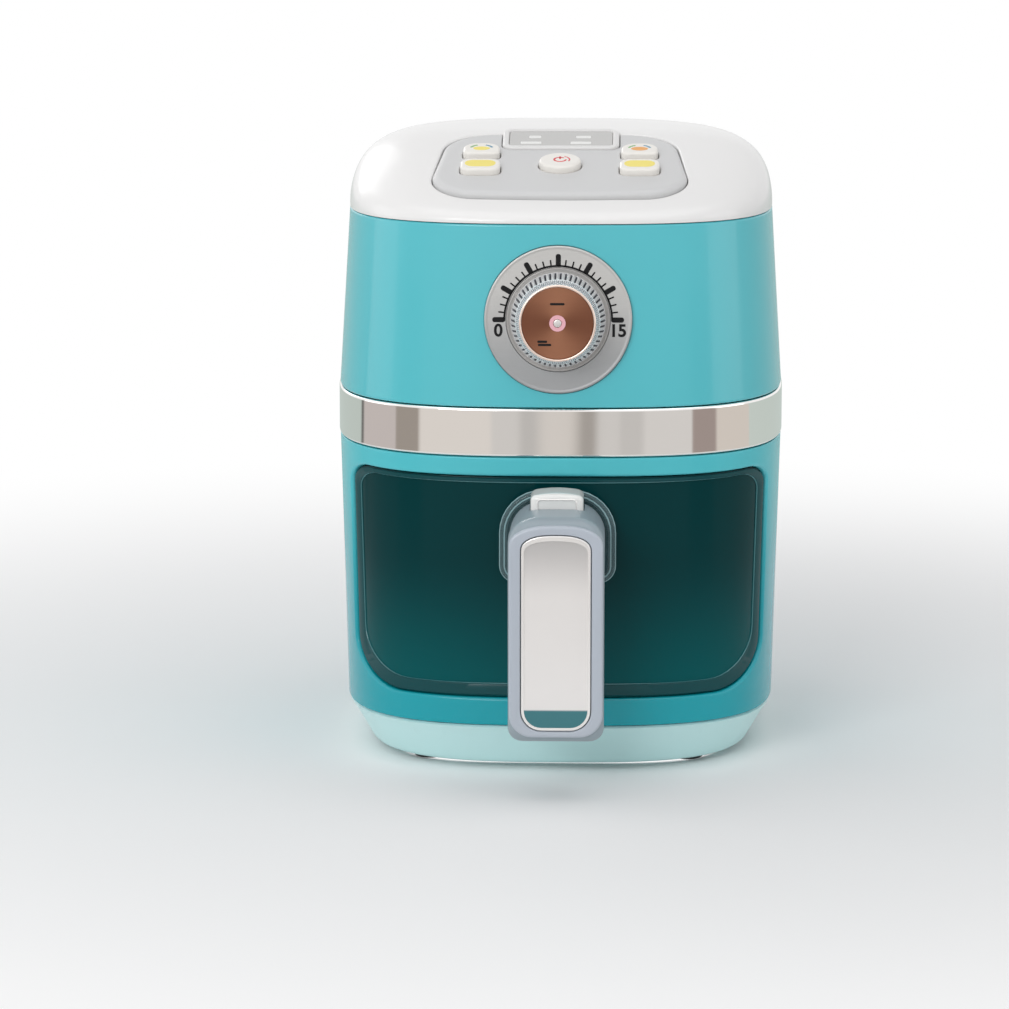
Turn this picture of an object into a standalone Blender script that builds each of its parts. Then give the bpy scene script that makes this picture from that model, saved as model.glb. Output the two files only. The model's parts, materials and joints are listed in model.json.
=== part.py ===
"""Toy air fryer: a battery toy with a pull-out drawer, a clicking dial, a sloped button panel and a switch.

Lengths are in metres, +Z is up and -Y is the front, where the drawer's handle is. The origin is on the floor,
under the middle of the whole toy. Everything is placed from the upright axis of the body, which is a rounded
square in plan.
Run it with: blender --background --python part.py
"""

import math

import bmesh
import bpy
import numpy as np
from mathutils import Matrix

# Fits and cutters
GAP = 0.0003
SLIDE_GAP = 0.0020
OVERRUN = 0.0020
FINE_EDGE = 0.0006

# Body: a superellipse in plan, so that its sides bulge and its corners are round
SQUARENESS = 3.0
BODY_SEGMENTS = 48
BODY_HALF = 0.0800
BAND_STEP = 0.0003
LOWER_TAPER = 0.0028
BASE_TAPER = 0.0085
UPPER_TAPER = 0.0042
SHELL_WALL = 0.0024
SHELL_EDGE = 0.0007

# Heights, each piece standing on the one below with one gap between
FOOT_PROUD = 0.0020
BASE_HEIGHT = 0.0153
LOWER_HEIGHT = 0.0961
BAND_HEIGHT = 0.0170
UPPER_HEIGHT = 0.0634
LID_RISE = 0.0255

BASE_BOTTOM = FOOT_PROUD
BASE_TOP = BASE_BOTTOM + BASE_HEIGHT
LOWER_BOTTOM = BASE_TOP + GAP
LOWER_TOP = LOWER_BOTTOM + LOWER_HEIGHT
BAND_BOTTOM = LOWER_TOP + GAP
BAND_TOP = BAND_BOTTOM + BAND_HEIGHT
UPPER_BOTTOM = BAND_TOP + GAP
UPPER_TOP = UPPER_BOTTOM + UPPER_HEIGHT
LID_BOTTOM = UPPER_TOP + GAP

LOWER_TOP_HALF = BODY_HALF - BAND_STEP
LOWER_BOTTOM_HALF = BODY_HALF - LOWER_TAPER
BASE_TOP_HALF = LOWER_BOTTOM_HALF - BAND_STEP
BASE_BOTTOM_HALF = BASE_TOP_HALF - BASE_TAPER
UPPER_BOTTOM_HALF = BODY_HALF - BAND_STEP
UPPER_TOP_HALF = BODY_HALF - UPPER_TAPER

# Base tub, battery box and what is screwed or pressed into the floor
BASE_WALL = 0.0022
BASE_EDGE = 0.0015
CELL_COUNT = 3
CELL_DIAMETER = 0.0145
CELL_LENGTH = 0.0505
CELL_NUB_LENGTH = 0.0010
CELL_NUB_RADIUS = 0.0027
CELL_SPACE = 0.0005
CONTACT_THICKNESS = 0.0005
CONTACT_HEIGHT = 0.0110
BOX_WALL = 0.0016
BOX_CEILING = 0.0015
DOOR_THICKNESS = 0.0020
DOOR_THUMB_RADIUS = 0.0060
DOOR_THUMB_DEPTH = 0.0006
DOOR_THUMB_MARGIN = 0.0100
DOOR_LAP = 0.0030
DOOR_TONGUE = 0.0085
DOOR_RIM = 0.0022
FOOT_RADIUS = 0.0060
FOOT_RECESS = 0.0012
FOOT_SIDE_MARGIN = 0.0224
FOOT_END_MARGIN = 0.0204
SCREW_HEAD_RADIUS = 0.0027
SCREW_HEAD_HEIGHT = 0.0017
SCREW_SHANK_RADIUS = 0.0014
SCREW_WELL_RADIUS = 0.0048
SCREW_WELL_HEIGHT = 0.0060
SCREW_WELL_RECESS = 0.0030
BASE_SCREW_LENGTH = 0.0130
BASE_SCREW_MARGIN = 0.0164
BASE_SCREW_FRONT_MARGIN = 0.0614
BASE_SCREW_REAR_MARGIN = 0.0384
DOOR_SCREW_LENGTH = 0.0070
DOOR_BOSS_HEIGHT = 0.0110
SWITCH_SPACE = 0.0126
SWITCH_TRAVEL = 0.0040
SWITCH_TAB_WIDTH = 0.0040
SWITCH_TAB_DEPTH = 0.0034
SWITCH_TAB_SUNK = 0.0010
SWITCH_PLATE_WIDTH = 0.0140
SWITCH_PLATE_DEPTH = 0.0056
SWITCH_PLATE_THICKNESS = 0.0008
SWITCH_BODY_WIDTH = 0.0190
SWITCH_BODY_DEPTH = 0.0090
SWITCH_BODY_HEIGHT = 0.0045

# Drawer bay behind the split plane, and the deck over it
SPLIT_DEPTH = 0.0640
BASKET_SQUARENESS = 4.0
BASKET_SEGMENTS = 32
BASKET_SIDE_MARGIN = 0.0182
BASKET_FRONT_MARGIN = 0.0072
BASKET_REAR_MARGIN = 0.0192
BASKET_HEAD_MARGIN = 0.0257
BASKET_WALL = 0.0018
BASKET_EDGE = 0.0050
BASKET_EDGE_SHARE = 0.3
RUNNER_HEIGHT = 0.0009
RUNNER_WIDTH = 0.0050
RUNNER_SIDE_MARGIN = 0.0240
RUNNER_REAR_MARGIN = 0.0180
RUNNER_FRONT_MARGIN = 0.0080
LINER_WALL = 0.0018
LINER_SPACE = 0.0011
LINER_HEAD_MARGIN = 0.0019
DECK_THICKNESS = 0.0022
POST_RADIUS = 0.0040
POST_SIDE_MARGIN = 0.0190
POST_FRONT_MARGIN = 0.0160
POST_REAR_MARGIN = 0.0180
BAND_WALL = 0.0020
LIGHT_RADIUS = 0.0025
LIGHT_FLANGE = 0.0045
LIGHT_FLANGE_THICKNESS = 0.0012
LIGHT_DROP = 0.0028
LIGHT_HEIGHT = 0.0050
LIGHT_PLACE = 0.0200

# Drawer front, window and the plate behind it
FRONT_WALL = 0.0030
WINDOW_SUNK = 0.0012
WINDOW_SIDE_MARGIN = 0.0067
WINDOW_SILL = 0.0099
WINDOW_HEAD = 0.0067
WINDOW_TOP_RADIUS = 0.0040
WINDOW_BOTTOM_RADIUS = 0.0130
CARRIER_THICKNESS = 0.0018
CARRIER_LAP = 0.0035
CARRIER_BOSS_RADIUS = 0.0050
FRONT_DEPTH_MARGIN = 0.0080

# Handle, with its collar, inlay, release button and screws
HANDLE_REACH = 0.0386
HANDLE_WIDTH = 0.0330
HANDLE_LOW_MARGIN = 0.0024
HANDLE_HEAD_MARGIN = 0.0147
GRIP_THICKNESS = 0.0150
NECK_HEIGHT = 0.0210
NECK_CORNER = 0.0115
GRIP_FRONT_CORNER = 0.0035
FACE_RISE = 0.0010
FACE_OVERLAP = 0.0020
FACE_SIDE_MARGIN = 0.0004
FACE_TOP_MARGIN = 0.0034
FACE_BOTTOM_MARGIN = 0.0024
FACE_TOP_RADIUS = 0.0090
FACE_BOTTOM_RADIUS = 0.0060
GRIP_BACK_CORNER = 0.0060
BEND_OUTER_RADIUS = 0.0040
BEND_INNER_RADIUS = 0.0080
GRIP_END_RADIUS = 0.0050
COLLAR_WIDTH = 0.0390
COLLAR_THICKNESS = 0.0045
COLLAR_RISE = 0.0030
COLLAR_HEIGHT = 0.0320
COLLAR_ARCH = 0.0150
COLLAR_FOOT = 0.0060
INLAY_WIDTH = 0.0238
INLAY_LOW_MARGIN = 0.0055
INLAY_SUNK = 0.0015
INLAY_TOP_MARGIN = 0.0055
INLAY_TOP_RADIUS = 0.0100
INLAY_BOTTOM_RADIUS = 0.0070
RELEASE_WIDTH = 0.0183
RELEASE_DEPTH = 0.0150
RELEASE_PROUD = 0.0053
RELEASE_SUNK = 0.0055
RELEASE_TRAVEL = 0.0025
RELEASE_EDGE = 0.0022
RELEASE_PANEL_DEPTH = 0.0007
RELEASE_PANEL_MARGIN = 0.0026
HANDLE_SCREW_SPACING = 0.0160
HANDLE_SCREW_DROP = 0.0160
HANDLE_SCREW_GRIP = 0.0120

# Grill tray, loose in the basket
TRAY_CLEARANCE = 0.0025
TRAY_THICKNESS = 0.0018
TRAY_RIM_HEIGHT = 0.0030
TRAY_RIM_WALL = 0.0016
TRAY_FOOT_HEIGHT = 0.0035
TRAY_FOOT_RADIUS = 0.0040
TRAY_FOOT_SPACING = 0.0800
SLOT_WIDTH = 0.0045
SLOT_LENGTH = 0.0340
SLOT_PITCH = 0.0115
SLOT_COLUMNS = 5
SLOT_ROWS = 2

# Dial on the leaning front, along its own axis
DIAL_DROP = 0.0010
BEZEL_RADIUS = 0.0250
BEZEL_SEAT = 0.0012
BEZEL_FACE = 0.0010
BEZEL_RIM_PROUD = 0.0016
BEZEL_RIM_WIDTH = 0.0012
BEZEL_STEP_OUTER = 0.0178
BEZEL_STEP_INNER = 0.0160
BEZEL_STEP_DEPTH = 0.0005
BEZEL_BORE = 0.0045
KNOB_BASE_RADIUS = 0.0155
KNOB_FRONT_RADIUS = 0.0132
KNOB_LENGTH = 0.0157
KNOB_COLLAR = 0.0018
KNOB_FLUTES = 30
KNOB_FLUTE_DEPTH = 0.0006
KNOB_LIP = 0.0010
CAP_THICKNESS = 0.0012
CAP_SEAT_DEPTH = 0.0015
CAP_BOSS_RADIUS = 0.0028
CAP_BOSS_PROUD = 0.0004
SHAFT_RADIUS = 0.0030
SHAFT_GRIP = 0.0100
DIAL_BOSS_RADIUS = 0.0265
DIAL_BOSS_DEPTH = 0.0026
WHEEL_TEETH = 24
WHEEL_RADIUS = 0.0090
WHEEL_TOOTH = 0.0011
WHEEL_THICKNESS = 0.0030
BRACKET_WIDTH = 0.0420
BRACKET_HEIGHT = 0.0340
BRACKET_THICKNESS = 0.0020
BRACKET_POST_RADIUS = 0.0030
BRACKET_POST_SPACING = 0.0320
BRACKET_SPACE = 0.0060
SPRING_THICKNESS = 0.0008
SPRING_REACH = 0.0110
SPRING_OFFSET = 0.0120
SPRING_TIP = 0.0010
SPRING_WIDTH = 0.0024
SPRING_ANCHOR = 0.0040

# Lid: shoulders fall away towards the seam, and the crown rises from the front to a level top
LID_WALL = 0.0022
SHOULDER_POWER = 6.0
SHOULDER_ROOT = 2.6
CROWN_FRONT = 0.0090
CROWN_FRONT_MARGIN = 0.0140
CROWN_SLOPE_SHARE = 0.2679
CROWN_BLEND = 0.0010
LID_RING_SHARES = (1.0, 0.985, 0.95, 0.88, 0.75, 0.50, 0.20)
CAVITY_RING_SHARES = (1.0, 0.96, 0.84, 0.50)

# Control panel on its sloped plane; places on it are measured up the slope from its front edge
PANEL_FRONT_MARGIN = 0.0140
PANEL_FRONT_PROUD = 0.0025
PANEL_TILT = math.radians(14.3)
PANEL_LENGTH = 0.0604
PANEL_SIDE_MARGIN = 0.0345
PANEL_NARROWING = 0.0068
PANEL_FRONT_CORNER = 0.0150
PANEL_BACK_CORNER = 0.0140
PANEL_BOW = 0.0034
PANEL_BOW_STEPS = 6
PANEL_EDGE = 0.0018
PANEL_PLATE = 0.0022
PANEL_SKIRT = 0.0018
PANEL_DEPTH = 0.0057
LEDGE_THICKNESS = 0.0016
LEDGE_WIDTH = 0.0060
LEDGE_CORNER = 0.0025
WELL_WALL = 0.0016
BOARD_THICKNESS = 0.0016
BOARD_LAP = 0.0025
TACT_SIZE = 0.0045
TACT_HEIGHT = 0.0014
TACT_PLUNGER_RADIUS = 0.0017
DISPLAY_SIDE_SPACE = 0.00065
DISPLAY_LENGTH = 0.0200
DISPLAY_SETBACK = 0.0070
DISPLAY_RADIUS = 0.0034
DISPLAY_PROUD = 0.0009
DISPLAY_RIM = 0.0023
LENS_SUNK = 0.0004
LENS_THICKNESS = 0.0016
BUTTON_PROUD = 0.0024
BUTTON_FLANGE = 0.0010
BUTTON_FLANGE_THICKNESS = 0.0010
BUTTON_TRAVEL = 0.0015
BUTTON_EDGE = 0.0006
START_RADIUS = 0.0074
START_PLACE_SHARE = 0.4437
BUTTON_COLUMN_SHARE = 0.7235
FRONT_BUTTON_WIDTH_SHARE = 0.1809
FRONT_BUTTON_LENGTH = 0.0110
FRONT_BUTTON_PLACE_SHARE = 0.3758
FRONT_BUTTON_RADIUS = 0.0035
BACK_BUTTON_WIDTH_SHARE = 0.1680
BACK_BUTTON_LENGTH = 0.0108
BACK_BUTTON_PLACE_SHARE = 0.6424
BACK_BUTTON_FRONT_RADIUS_SHARE = 0.1923
BACK_BUTTON_BACK_RADIUS_SHARE = 0.4

# Speaker behind slots at the rear
SPEAKER_RADIUS = 0.0140
SPEAKER_FLANGE = 0.0015
SPEAKER_CONE_DEPTH = 0.0050
SPEAKER_MAGNET_RADIUS = 0.0080
SPEAKER_MAGNET_DEPTH = 0.0040
SPEAKER_RAISE = 0.0020
SPEAKER_SLOTS = 5
SPEAKER_SLOT_WIDTH = 0.0200
SPEAKER_SLOT_HEIGHT = 0.0016
SPEAKER_SLOT_PITCH = 0.0038

# Facets of round pieces
ROUND_STEPS = 24
SMALL_STEPS = 10
ARC_STEPS = 3

# The whole toy is centred over the origin, so its body stands back by half the handle's reach
BODY_AXIS_Y = HANDLE_REACH / 2

COLOURS = {
    "mint": (0.62, 0.80, 0.78, 0.45, 0.0),
    "teal": (0.13, 0.55, 0.58, 0.30, 0.0),
    "white": (0.93, 0.93, 0.92, 0.35, 0.0),
    "panel_grey": (0.66, 0.66, 0.66, 0.45, 0.0),
    "lens_grey": (0.55, 0.55, 0.54, 0.20, 0.0),
    "silver": (0.58, 0.56, 0.55, 0.35, 0.6),
    "chrome": (0.80, 0.78, 0.76, 0.08, 1.0),
    "copper": (0.27, 0.12, 0.06, 0.30, 0.6),
    "smoke": (0.02, 0.09, 0.10, 0.12, 0.0),
    "clear_smoke": (0.10, 0.22, 0.24, 0.10, 0.0),
    "handle_grey": (0.42, 0.46, 0.50, 0.40, 0.0),
    "inlay": (0.72, 0.70, 0.68, 0.15, 0.3),
    "dark": (0.04, 0.05, 0.05, 0.55, 0.0),
    "liner": (0.08, 0.09, 0.09, 0.60, 0.0),
    "steel": (0.55, 0.55, 0.54, 0.30, 1.0),
    "rubber": (0.05, 0.05, 0.05, 0.85, 0.0),
    "button_white": (0.95, 0.94, 0.91, 0.35, 0.0),
    "cell": (0.16, 0.17, 0.19, 0.35, 0.2),
    "board": (0.03, 0.22, 0.10, 0.50, 0.0),
}


def clear_scene():
    """Empty the scene, and drop the meshes and materials that nothing uses any more."""
    for thing in list(bpy.data.objects):
        bpy.data.objects.remove(thing, do_unlink=True)
    for group in (bpy.data.meshes, bpy.data.curves, bpy.data.materials):
        for block in list(group):
            group.remove(block)


clear_scene()
PART = bpy.data.collections.new("toy_air_fryer")
CUTTERS = bpy.data.collections.new("cutters")
bpy.context.scene.collection.children.link(PART)
bpy.context.scene.collection.children.link(CUTTERS)


def material(name):
    """A plain Principled material from the colour table: red, green, blue, roughness, metallic."""
    found = bpy.data.materials.get(name)
    if found:
        return found
    red, green, blue, roughness, metallic = COLOURS[name]
    made = bpy.data.materials.new(name)
    made.use_nodes = True
    shader = made.node_tree.nodes["Principled BSDF"]
    shader.inputs["Base Color"].default_value = (red, green, blue, 1.0)
    shader.inputs["Roughness"].default_value = roughness
    shader.inputs["Metallic"].default_value = metallic
    made.diffuse_color = (red, green, blue, 1.0)
    return made


def frame(name, place, tilt=0.0, parent=None):
    """An empty that carries pieces: placed, then turned about the X axis."""
    empty = bpy.data.objects.new(name, None)
    PART.objects.link(empty)
    empty.location = place
    empty.rotation_euler = (tilt, 0.0, 0.0)
    empty.parent = parent
    return empty


def register(name, mesh, finish, parent, place=(0.0, 0.0, 0.0), turn=(0.0, 0.0, 0.0)):
    """Make an object of a mesh: a piece when it has a finish, and otherwise a hidden cutter."""
    made = bpy.data.objects.new(name, mesh)
    made.location = place
    made.rotation_euler = turn
    made.parent = parent
    if finish is None:
        CUTTERS.objects.link(made)
        made.hide_render = True
        made.display_type = "WIRE"
        return made
    PART.objects.link(made)
    mesh.materials.clear()
    mesh.materials.append(material(finish))
    mesh.shade_smooth()
    mesh.set_sharp_from_angle(angle=math.radians(35.0))
    return made


def combine(target, tool, operation):
    """Add a Boolean modifier: DIFFERENCE cuts out, UNION joins on and INTERSECT keeps the overlap."""
    modifier = target.modifiers.new(operation.lower(), "BOOLEAN")
    modifier.operation = operation
    modifier.object = tool
    modifier.solver = "EXACT"
    return target


def cut(target, *tools):
    """Cut each tool out of the target."""
    for tool in tools:
        combine(target, tool, "DIFFERENCE")
    return target


def join(target, *tools):
    """Join each tool onto the target."""
    for tool in tools:
        combine(target, tool, "UNION")
    return target


def mesh_of(name, points, faces):
    """A mesh of triangles from points and faces, with its faces turned outwards."""
    mesh = bpy.data.meshes.new(name)
    mesh.from_pydata([tuple(point) for point in points], [], [tuple(face) for face in faces])
    work = bmesh.new()
    work.from_mesh(mesh)
    bmesh.ops.triangulate(work, faces=work.faces)
    bmesh.ops.recalc_face_normals(work, faces=work.faces)
    work.to_mesh(mesh)
    work.free()
    return mesh


def loft(name, rings, finish=None, parent=None, closed=False, place=(0.0, 0.0, 0.0), turn=(0.0, 0.0, 0.0)):
    """Join rings of equally many points by quads; an open loft has its two end rings filled."""
    count = len(rings[0])
    points = np.concatenate(rings)
    spans = len(rings) if closed else len(rings) - 1
    faces = []
    for level in range(spans):
        low, high = level * count, (level + 1) % len(rings) * count
        for step in range(count):
            after = (step + 1) % count
            faces.append((low + step, low + after, high + after, high + step))
    if not closed:
        faces.append(tuple(range(count))[::-1])
        faces.append(tuple(range(len(points) - count, len(points))))
    return register(name, mesh_of(name, points, faces), finish, parent, place, turn)


def ring(half_width, level, half_depth=None, centre=0.0, squareness=SQUARENESS, segments=BODY_SEGMENTS):
    """A level superellipse: |x/a|^n + |y/b|^n = 1, at equal steps of angle."""
    half_depth = half_width if half_depth is None else half_depth
    angle = np.linspace(0.0, math.tau, segments, endpoint=False)
    reach = (np.abs(np.cos(angle)) ** squareness + np.abs(np.sin(angle)) ** squareness) ** (-1.0 / squareness)
    across = half_width * reach * np.cos(angle)
    along = centre + half_depth * reach * np.sin(angle)
    return np.column_stack((across, along, np.full(segments, level)))


def body_rings(profile):
    """Rings of the body's plan for a profile of (half width, height) pairs."""
    return [ring(half, level) for half, level in profile]


def lower_half(level):
    """Half width of the lower shell's outside at a height."""
    share = (level - LOWER_BOTTOM) / LOWER_HEIGHT
    return LOWER_BOTTOM_HALF + share * (LOWER_TOP_HALF - LOWER_BOTTOM_HALF)


def upper_half(level):
    """Half width of the upper shell's outside at a height."""
    share = (level - UPPER_BOTTOM) / UPPER_HEIGHT
    return UPPER_BOTTOM_HALF + share * (UPPER_TOP_HALF - UPPER_BOTTOM_HALF)


def wall_profile(outside, low, high, outer_inset, inner_inset, edge):
    """Closed profile of a wall that follows the outside from low to high, with its outer edges chamfered."""
    return [
        (outside(low) - outer_inset - edge, low),
        (outside(low + edge) - outer_inset, low + edge),
        (outside(high - edge) - outer_inset, high - edge),
        (outside(high) - outer_inset - edge, high),
        (outside(high) - inner_inset, high),
        (outside(low) - inner_inset, low),
    ]


def turned(
        name, profile, finish=None, parent=None, place=(0.0, 0.0, 0.0), turn=(0.0, 0.0, 0.0),
        steps=ROUND_STEPS):
    """A turned solid: a Screw modifier on (radius, height) points that run down the outer side.

    A profile that starts and ends on the axis is left open there; any other is closed, for a bore.
    """
    mesh = bpy.data.meshes.new(name)
    links = [(index, index + 1) for index in range(len(profile) - 1)]
    if profile[0][0] > 0.0 and profile[-1][0] > 0.0:
        links.append((len(profile) - 1, 0))
    mesh.from_pydata([(radius, 0.0, height) for radius, height in profile], links, [])
    made = register(name, mesh, finish, parent, place, turn)
    screw = made.modifiers.new("turn", "SCREW")
    screw.angle = math.tau
    screw.axis = "Z"
    screw.steps = steps
    screw.render_steps = steps
    screw.use_merge_vertices = True
    screw.merge_threshold = 0.00001
    screw.use_smooth_shade = finish is not None
    return made


def cylinder(name, radius, bottom, top, finish=None, parent=None, place=(0.0, 0.0), steps=SMALL_STEPS):
    """A round bar between two heights of its parent's frame."""
    mesh = bpy.data.meshes.new(name)
    work = bmesh.new()
    bmesh.ops.create_cone(
        work, cap_ends=True, segments=steps, radius1=radius, radius2=radius, depth=top - bottom,
        matrix=Matrix.Translation((0.0, 0.0, (top + bottom) / 2)),
    )
    work.to_mesh(mesh)
    work.free()
    return register(name, mesh, finish, parent, (place[0], place[1], 0.0))


def box(name, low, high, finish=None, parent=None, edge=0.0, fineness=1):
    """A box between two corners of its parent's frame, its edges bevelled on request."""
    low, high = np.array(low), np.array(high)
    mesh = bpy.data.meshes.new(name)
    work = bmesh.new()
    bmesh.ops.create_cube(work, size=1.0)
    bmesh.ops.scale(work, vec=tuple(high - low), verts=work.verts)
    bmesh.ops.translate(work, vec=tuple((high + low) / 2), verts=work.verts)
    work.to_mesh(mesh)
    work.free()
    made = register(name, mesh, finish, parent)
    if edge:
        bevel = made.modifiers.new("edges", "BEVEL")
        bevel.width = edge
        bevel.segments = fineness
    return made


def rounded_outline(corners, radii, steps=ARC_STEPS):
    """Points round a polygon that runs anticlockwise, each corner replaced by an arc of its radius."""
    points = []
    count = len(corners)
    for index, corner in enumerate(corners):
        here = np.array(corner)
        back = np.array(corners[index - 1]) - here
        ahead = np.array(corners[(index + 1) % count]) - here
        back = back / np.linalg.norm(back)
        ahead = ahead / np.linalg.norm(ahead)
        half = math.acos(float(np.clip(back @ ahead, -1.0, 1.0))) / 2
        radius = radii[index]
        middle = back + ahead
        centre = here + middle / np.linalg.norm(middle) * radius / math.sin(half)
        start = here + back * radius / math.tan(half) - centre
        sweep = math.pi - 2 * half
        for step in range(steps + 1):
            angle = sweep * step / steps
            turn = np.array(((math.cos(angle), -math.sin(angle)), (math.sin(angle), math.cos(angle))))
            points.append(tuple(centre + turn @ start))
    return points


def rectangle(width, height, radii, centre=(0.0, 0.0), grow=0.0, steps=ARC_STEPS):
    """Outline of a rounded rectangle, grown evenly; its radii run from the low left corner anticlockwise."""
    x, y = width / 2 + grow, height / 2 + grow
    corners = [(-x, -y), (x, -y), (x, y), (-x, y)]
    corners = [(centre[0] + px, centre[1] + py) for px, py in corners]
    return rounded_outline(corners, [radius + grow for radius in radii], steps)


def circle(radius, centre=(0.0, 0.0), steps=SMALL_STEPS):
    """Outline of a circle."""
    angle = np.linspace(0.0, math.tau, steps, endpoint=False)
    return [(centre[0] + radius * math.cos(a), centre[1] + radius * math.sin(a)) for a in angle]


def plate(name, outline, bottom, top, finish=None, parent=None, edge=0.0, turn=(0.0, 0.0, 0.0), fineness=0):
    """A flat outline as a filled 2D curve with thickness, made a mesh; its edges are rounded on request."""
    curve = bpy.data.curves.new(name, "CURVE")
    curve.dimensions = "2D"
    curve.fill_mode = "BOTH"
    curve.extrude = (top - bottom) / 2 - edge
    curve.bevel_depth = edge
    curve.bevel_resolution = fineness
    curve.offset = -edge
    spline = curve.splines.new("POLY")
    spline.points.add(len(outline) - 1)
    for point, (x, y) in zip(spline.points, outline):
        point.co = (x, y, 0.0, 1.0)
    spline.use_cyclic_u = True
    flat = bpy.data.objects.new(name + "_curve", curve)
    bpy.context.scene.collection.objects.link(flat)
    depsgraph = bpy.context.evaluated_depsgraph_get()
    mesh = bpy.data.meshes.new_from_object(flat.evaluated_get(depsgraph))
    bpy.data.objects.remove(flat, do_unlink=True)
    bpy.data.curves.remove(curve)
    mesh.name = name
    mesh.transform(Matrix.Translation((0.0, 0.0, (top + bottom) / 2)))
    work = bmesh.new()
    work.from_mesh(mesh)
    bmesh.ops.remove_doubles(work, verts=work.verts, dist=0.000001)
    bmesh.ops.recalc_face_normals(work, faces=work.faces)
    work.to_mesh(mesh)
    work.free()
    return register(name, mesh, finish, parent, (0.0, 0.0, 0.0), turn)


def screw(name, length, parent, place, turn):
    """A pan-head screw whose head's top is at the frame's origin and whose shank points down."""
    profile = [
        (0.0, 0.0),
        (SCREW_HEAD_RADIUS - FINE_EDGE, 0.0),
        (SCREW_HEAD_RADIUS, -FINE_EDGE),
        (SCREW_HEAD_RADIUS, -SCREW_HEAD_HEIGHT),
        (SCREW_SHANK_RADIUS, -SCREW_HEAD_HEIGHT),
        (SCREW_SHANK_RADIUS, SCREW_SHANK_RADIUS - SCREW_HEAD_HEIGHT - length),
        (0.0, -SCREW_HEAD_HEIGHT - length),
    ]
    return turned(name, profile, "steel", parent, place, turn, steps=SMALL_STEPS)


BODY = frame("body_axis", (0.0, BODY_AXIS_Y, 0.0))
UPSIDE_DOWN = (math.pi, 0.0, 0.0)
FORWARD = (math.pi / 2, 0.0, 0.0)

# The battery pocket's sizes follow from the cells
CELL_PITCH = CELL_DIAMETER + CELL_SPACE
POCKET_HALF_WIDTH = CELL_COUNT * CELL_PITCH / 2 + GAP
POCKET_HALF_LENGTH = CELL_LENGTH / 2 + CONTACT_THICKNESS + 2 * GAP
DOOR_TOP = BASE_BOTTOM + DOOR_THICKNESS
CELL_AXIS = DOOR_TOP + GAP + CELL_DIAMETER / 2
POCKET_TOP = CELL_AXIS + CELL_DIAMETER / 2 + GAP
DOOR_RECESS_HALF_WIDTH = POCKET_HALF_WIDTH + DOOR_LAP
DOOR_RECESS_FRONT = -POCKET_HALF_LENGTH - DOOR_LAP
DOOR_RECESS_REAR = POCKET_HALF_LENGTH + DOOR_TONGUE
DOOR_SCREW_PLACE = (0.0, POCKET_HALF_LENGTH + DOOR_TONGUE / 2)
BASE_FLOOR = BASE_BOTTOM + BASE_WALL
HOLE_RADIUS = SCREW_SHANK_RADIUS + GAP
HEAD_HOLE_RADIUS = SCREW_HEAD_RADIUS + GAP
BASE_SCREW_X = BASE_BOTTOM_HALF - BASE_SCREW_MARGIN
BASE_SCREW_PLACES = [
    (side * BASE_SCREW_X, along) for side in (-1, 1)
    for along in (BASE_SCREW_FRONT_MARGIN - BASE_BOTTOM_HALF, BASE_BOTTOM_HALF - BASE_SCREW_REAR_MARGIN)
]
FOOT_X = BASE_BOTTOM_HALF - FOOT_SIDE_MARGIN
FOOT_Y = BASE_BOTTOM_HALF - FOOT_END_MARGIN
FOOT_PLACES = [(side * FOOT_X, end * FOOT_Y) for side in (-1, 1) for end in (-1, 1)]
SWITCH_PLACE = DOOR_RECESS_FRONT - BOX_WALL - SWITCH_SPACE - SWITCH_BODY_DEPTH / 2
SCREW_WELL_TOP = BASE_BOTTOM + SCREW_WELL_HEIGHT
SCREW_SEAT = BASE_BOTTOM + SCREW_WELL_RECESS


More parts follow.
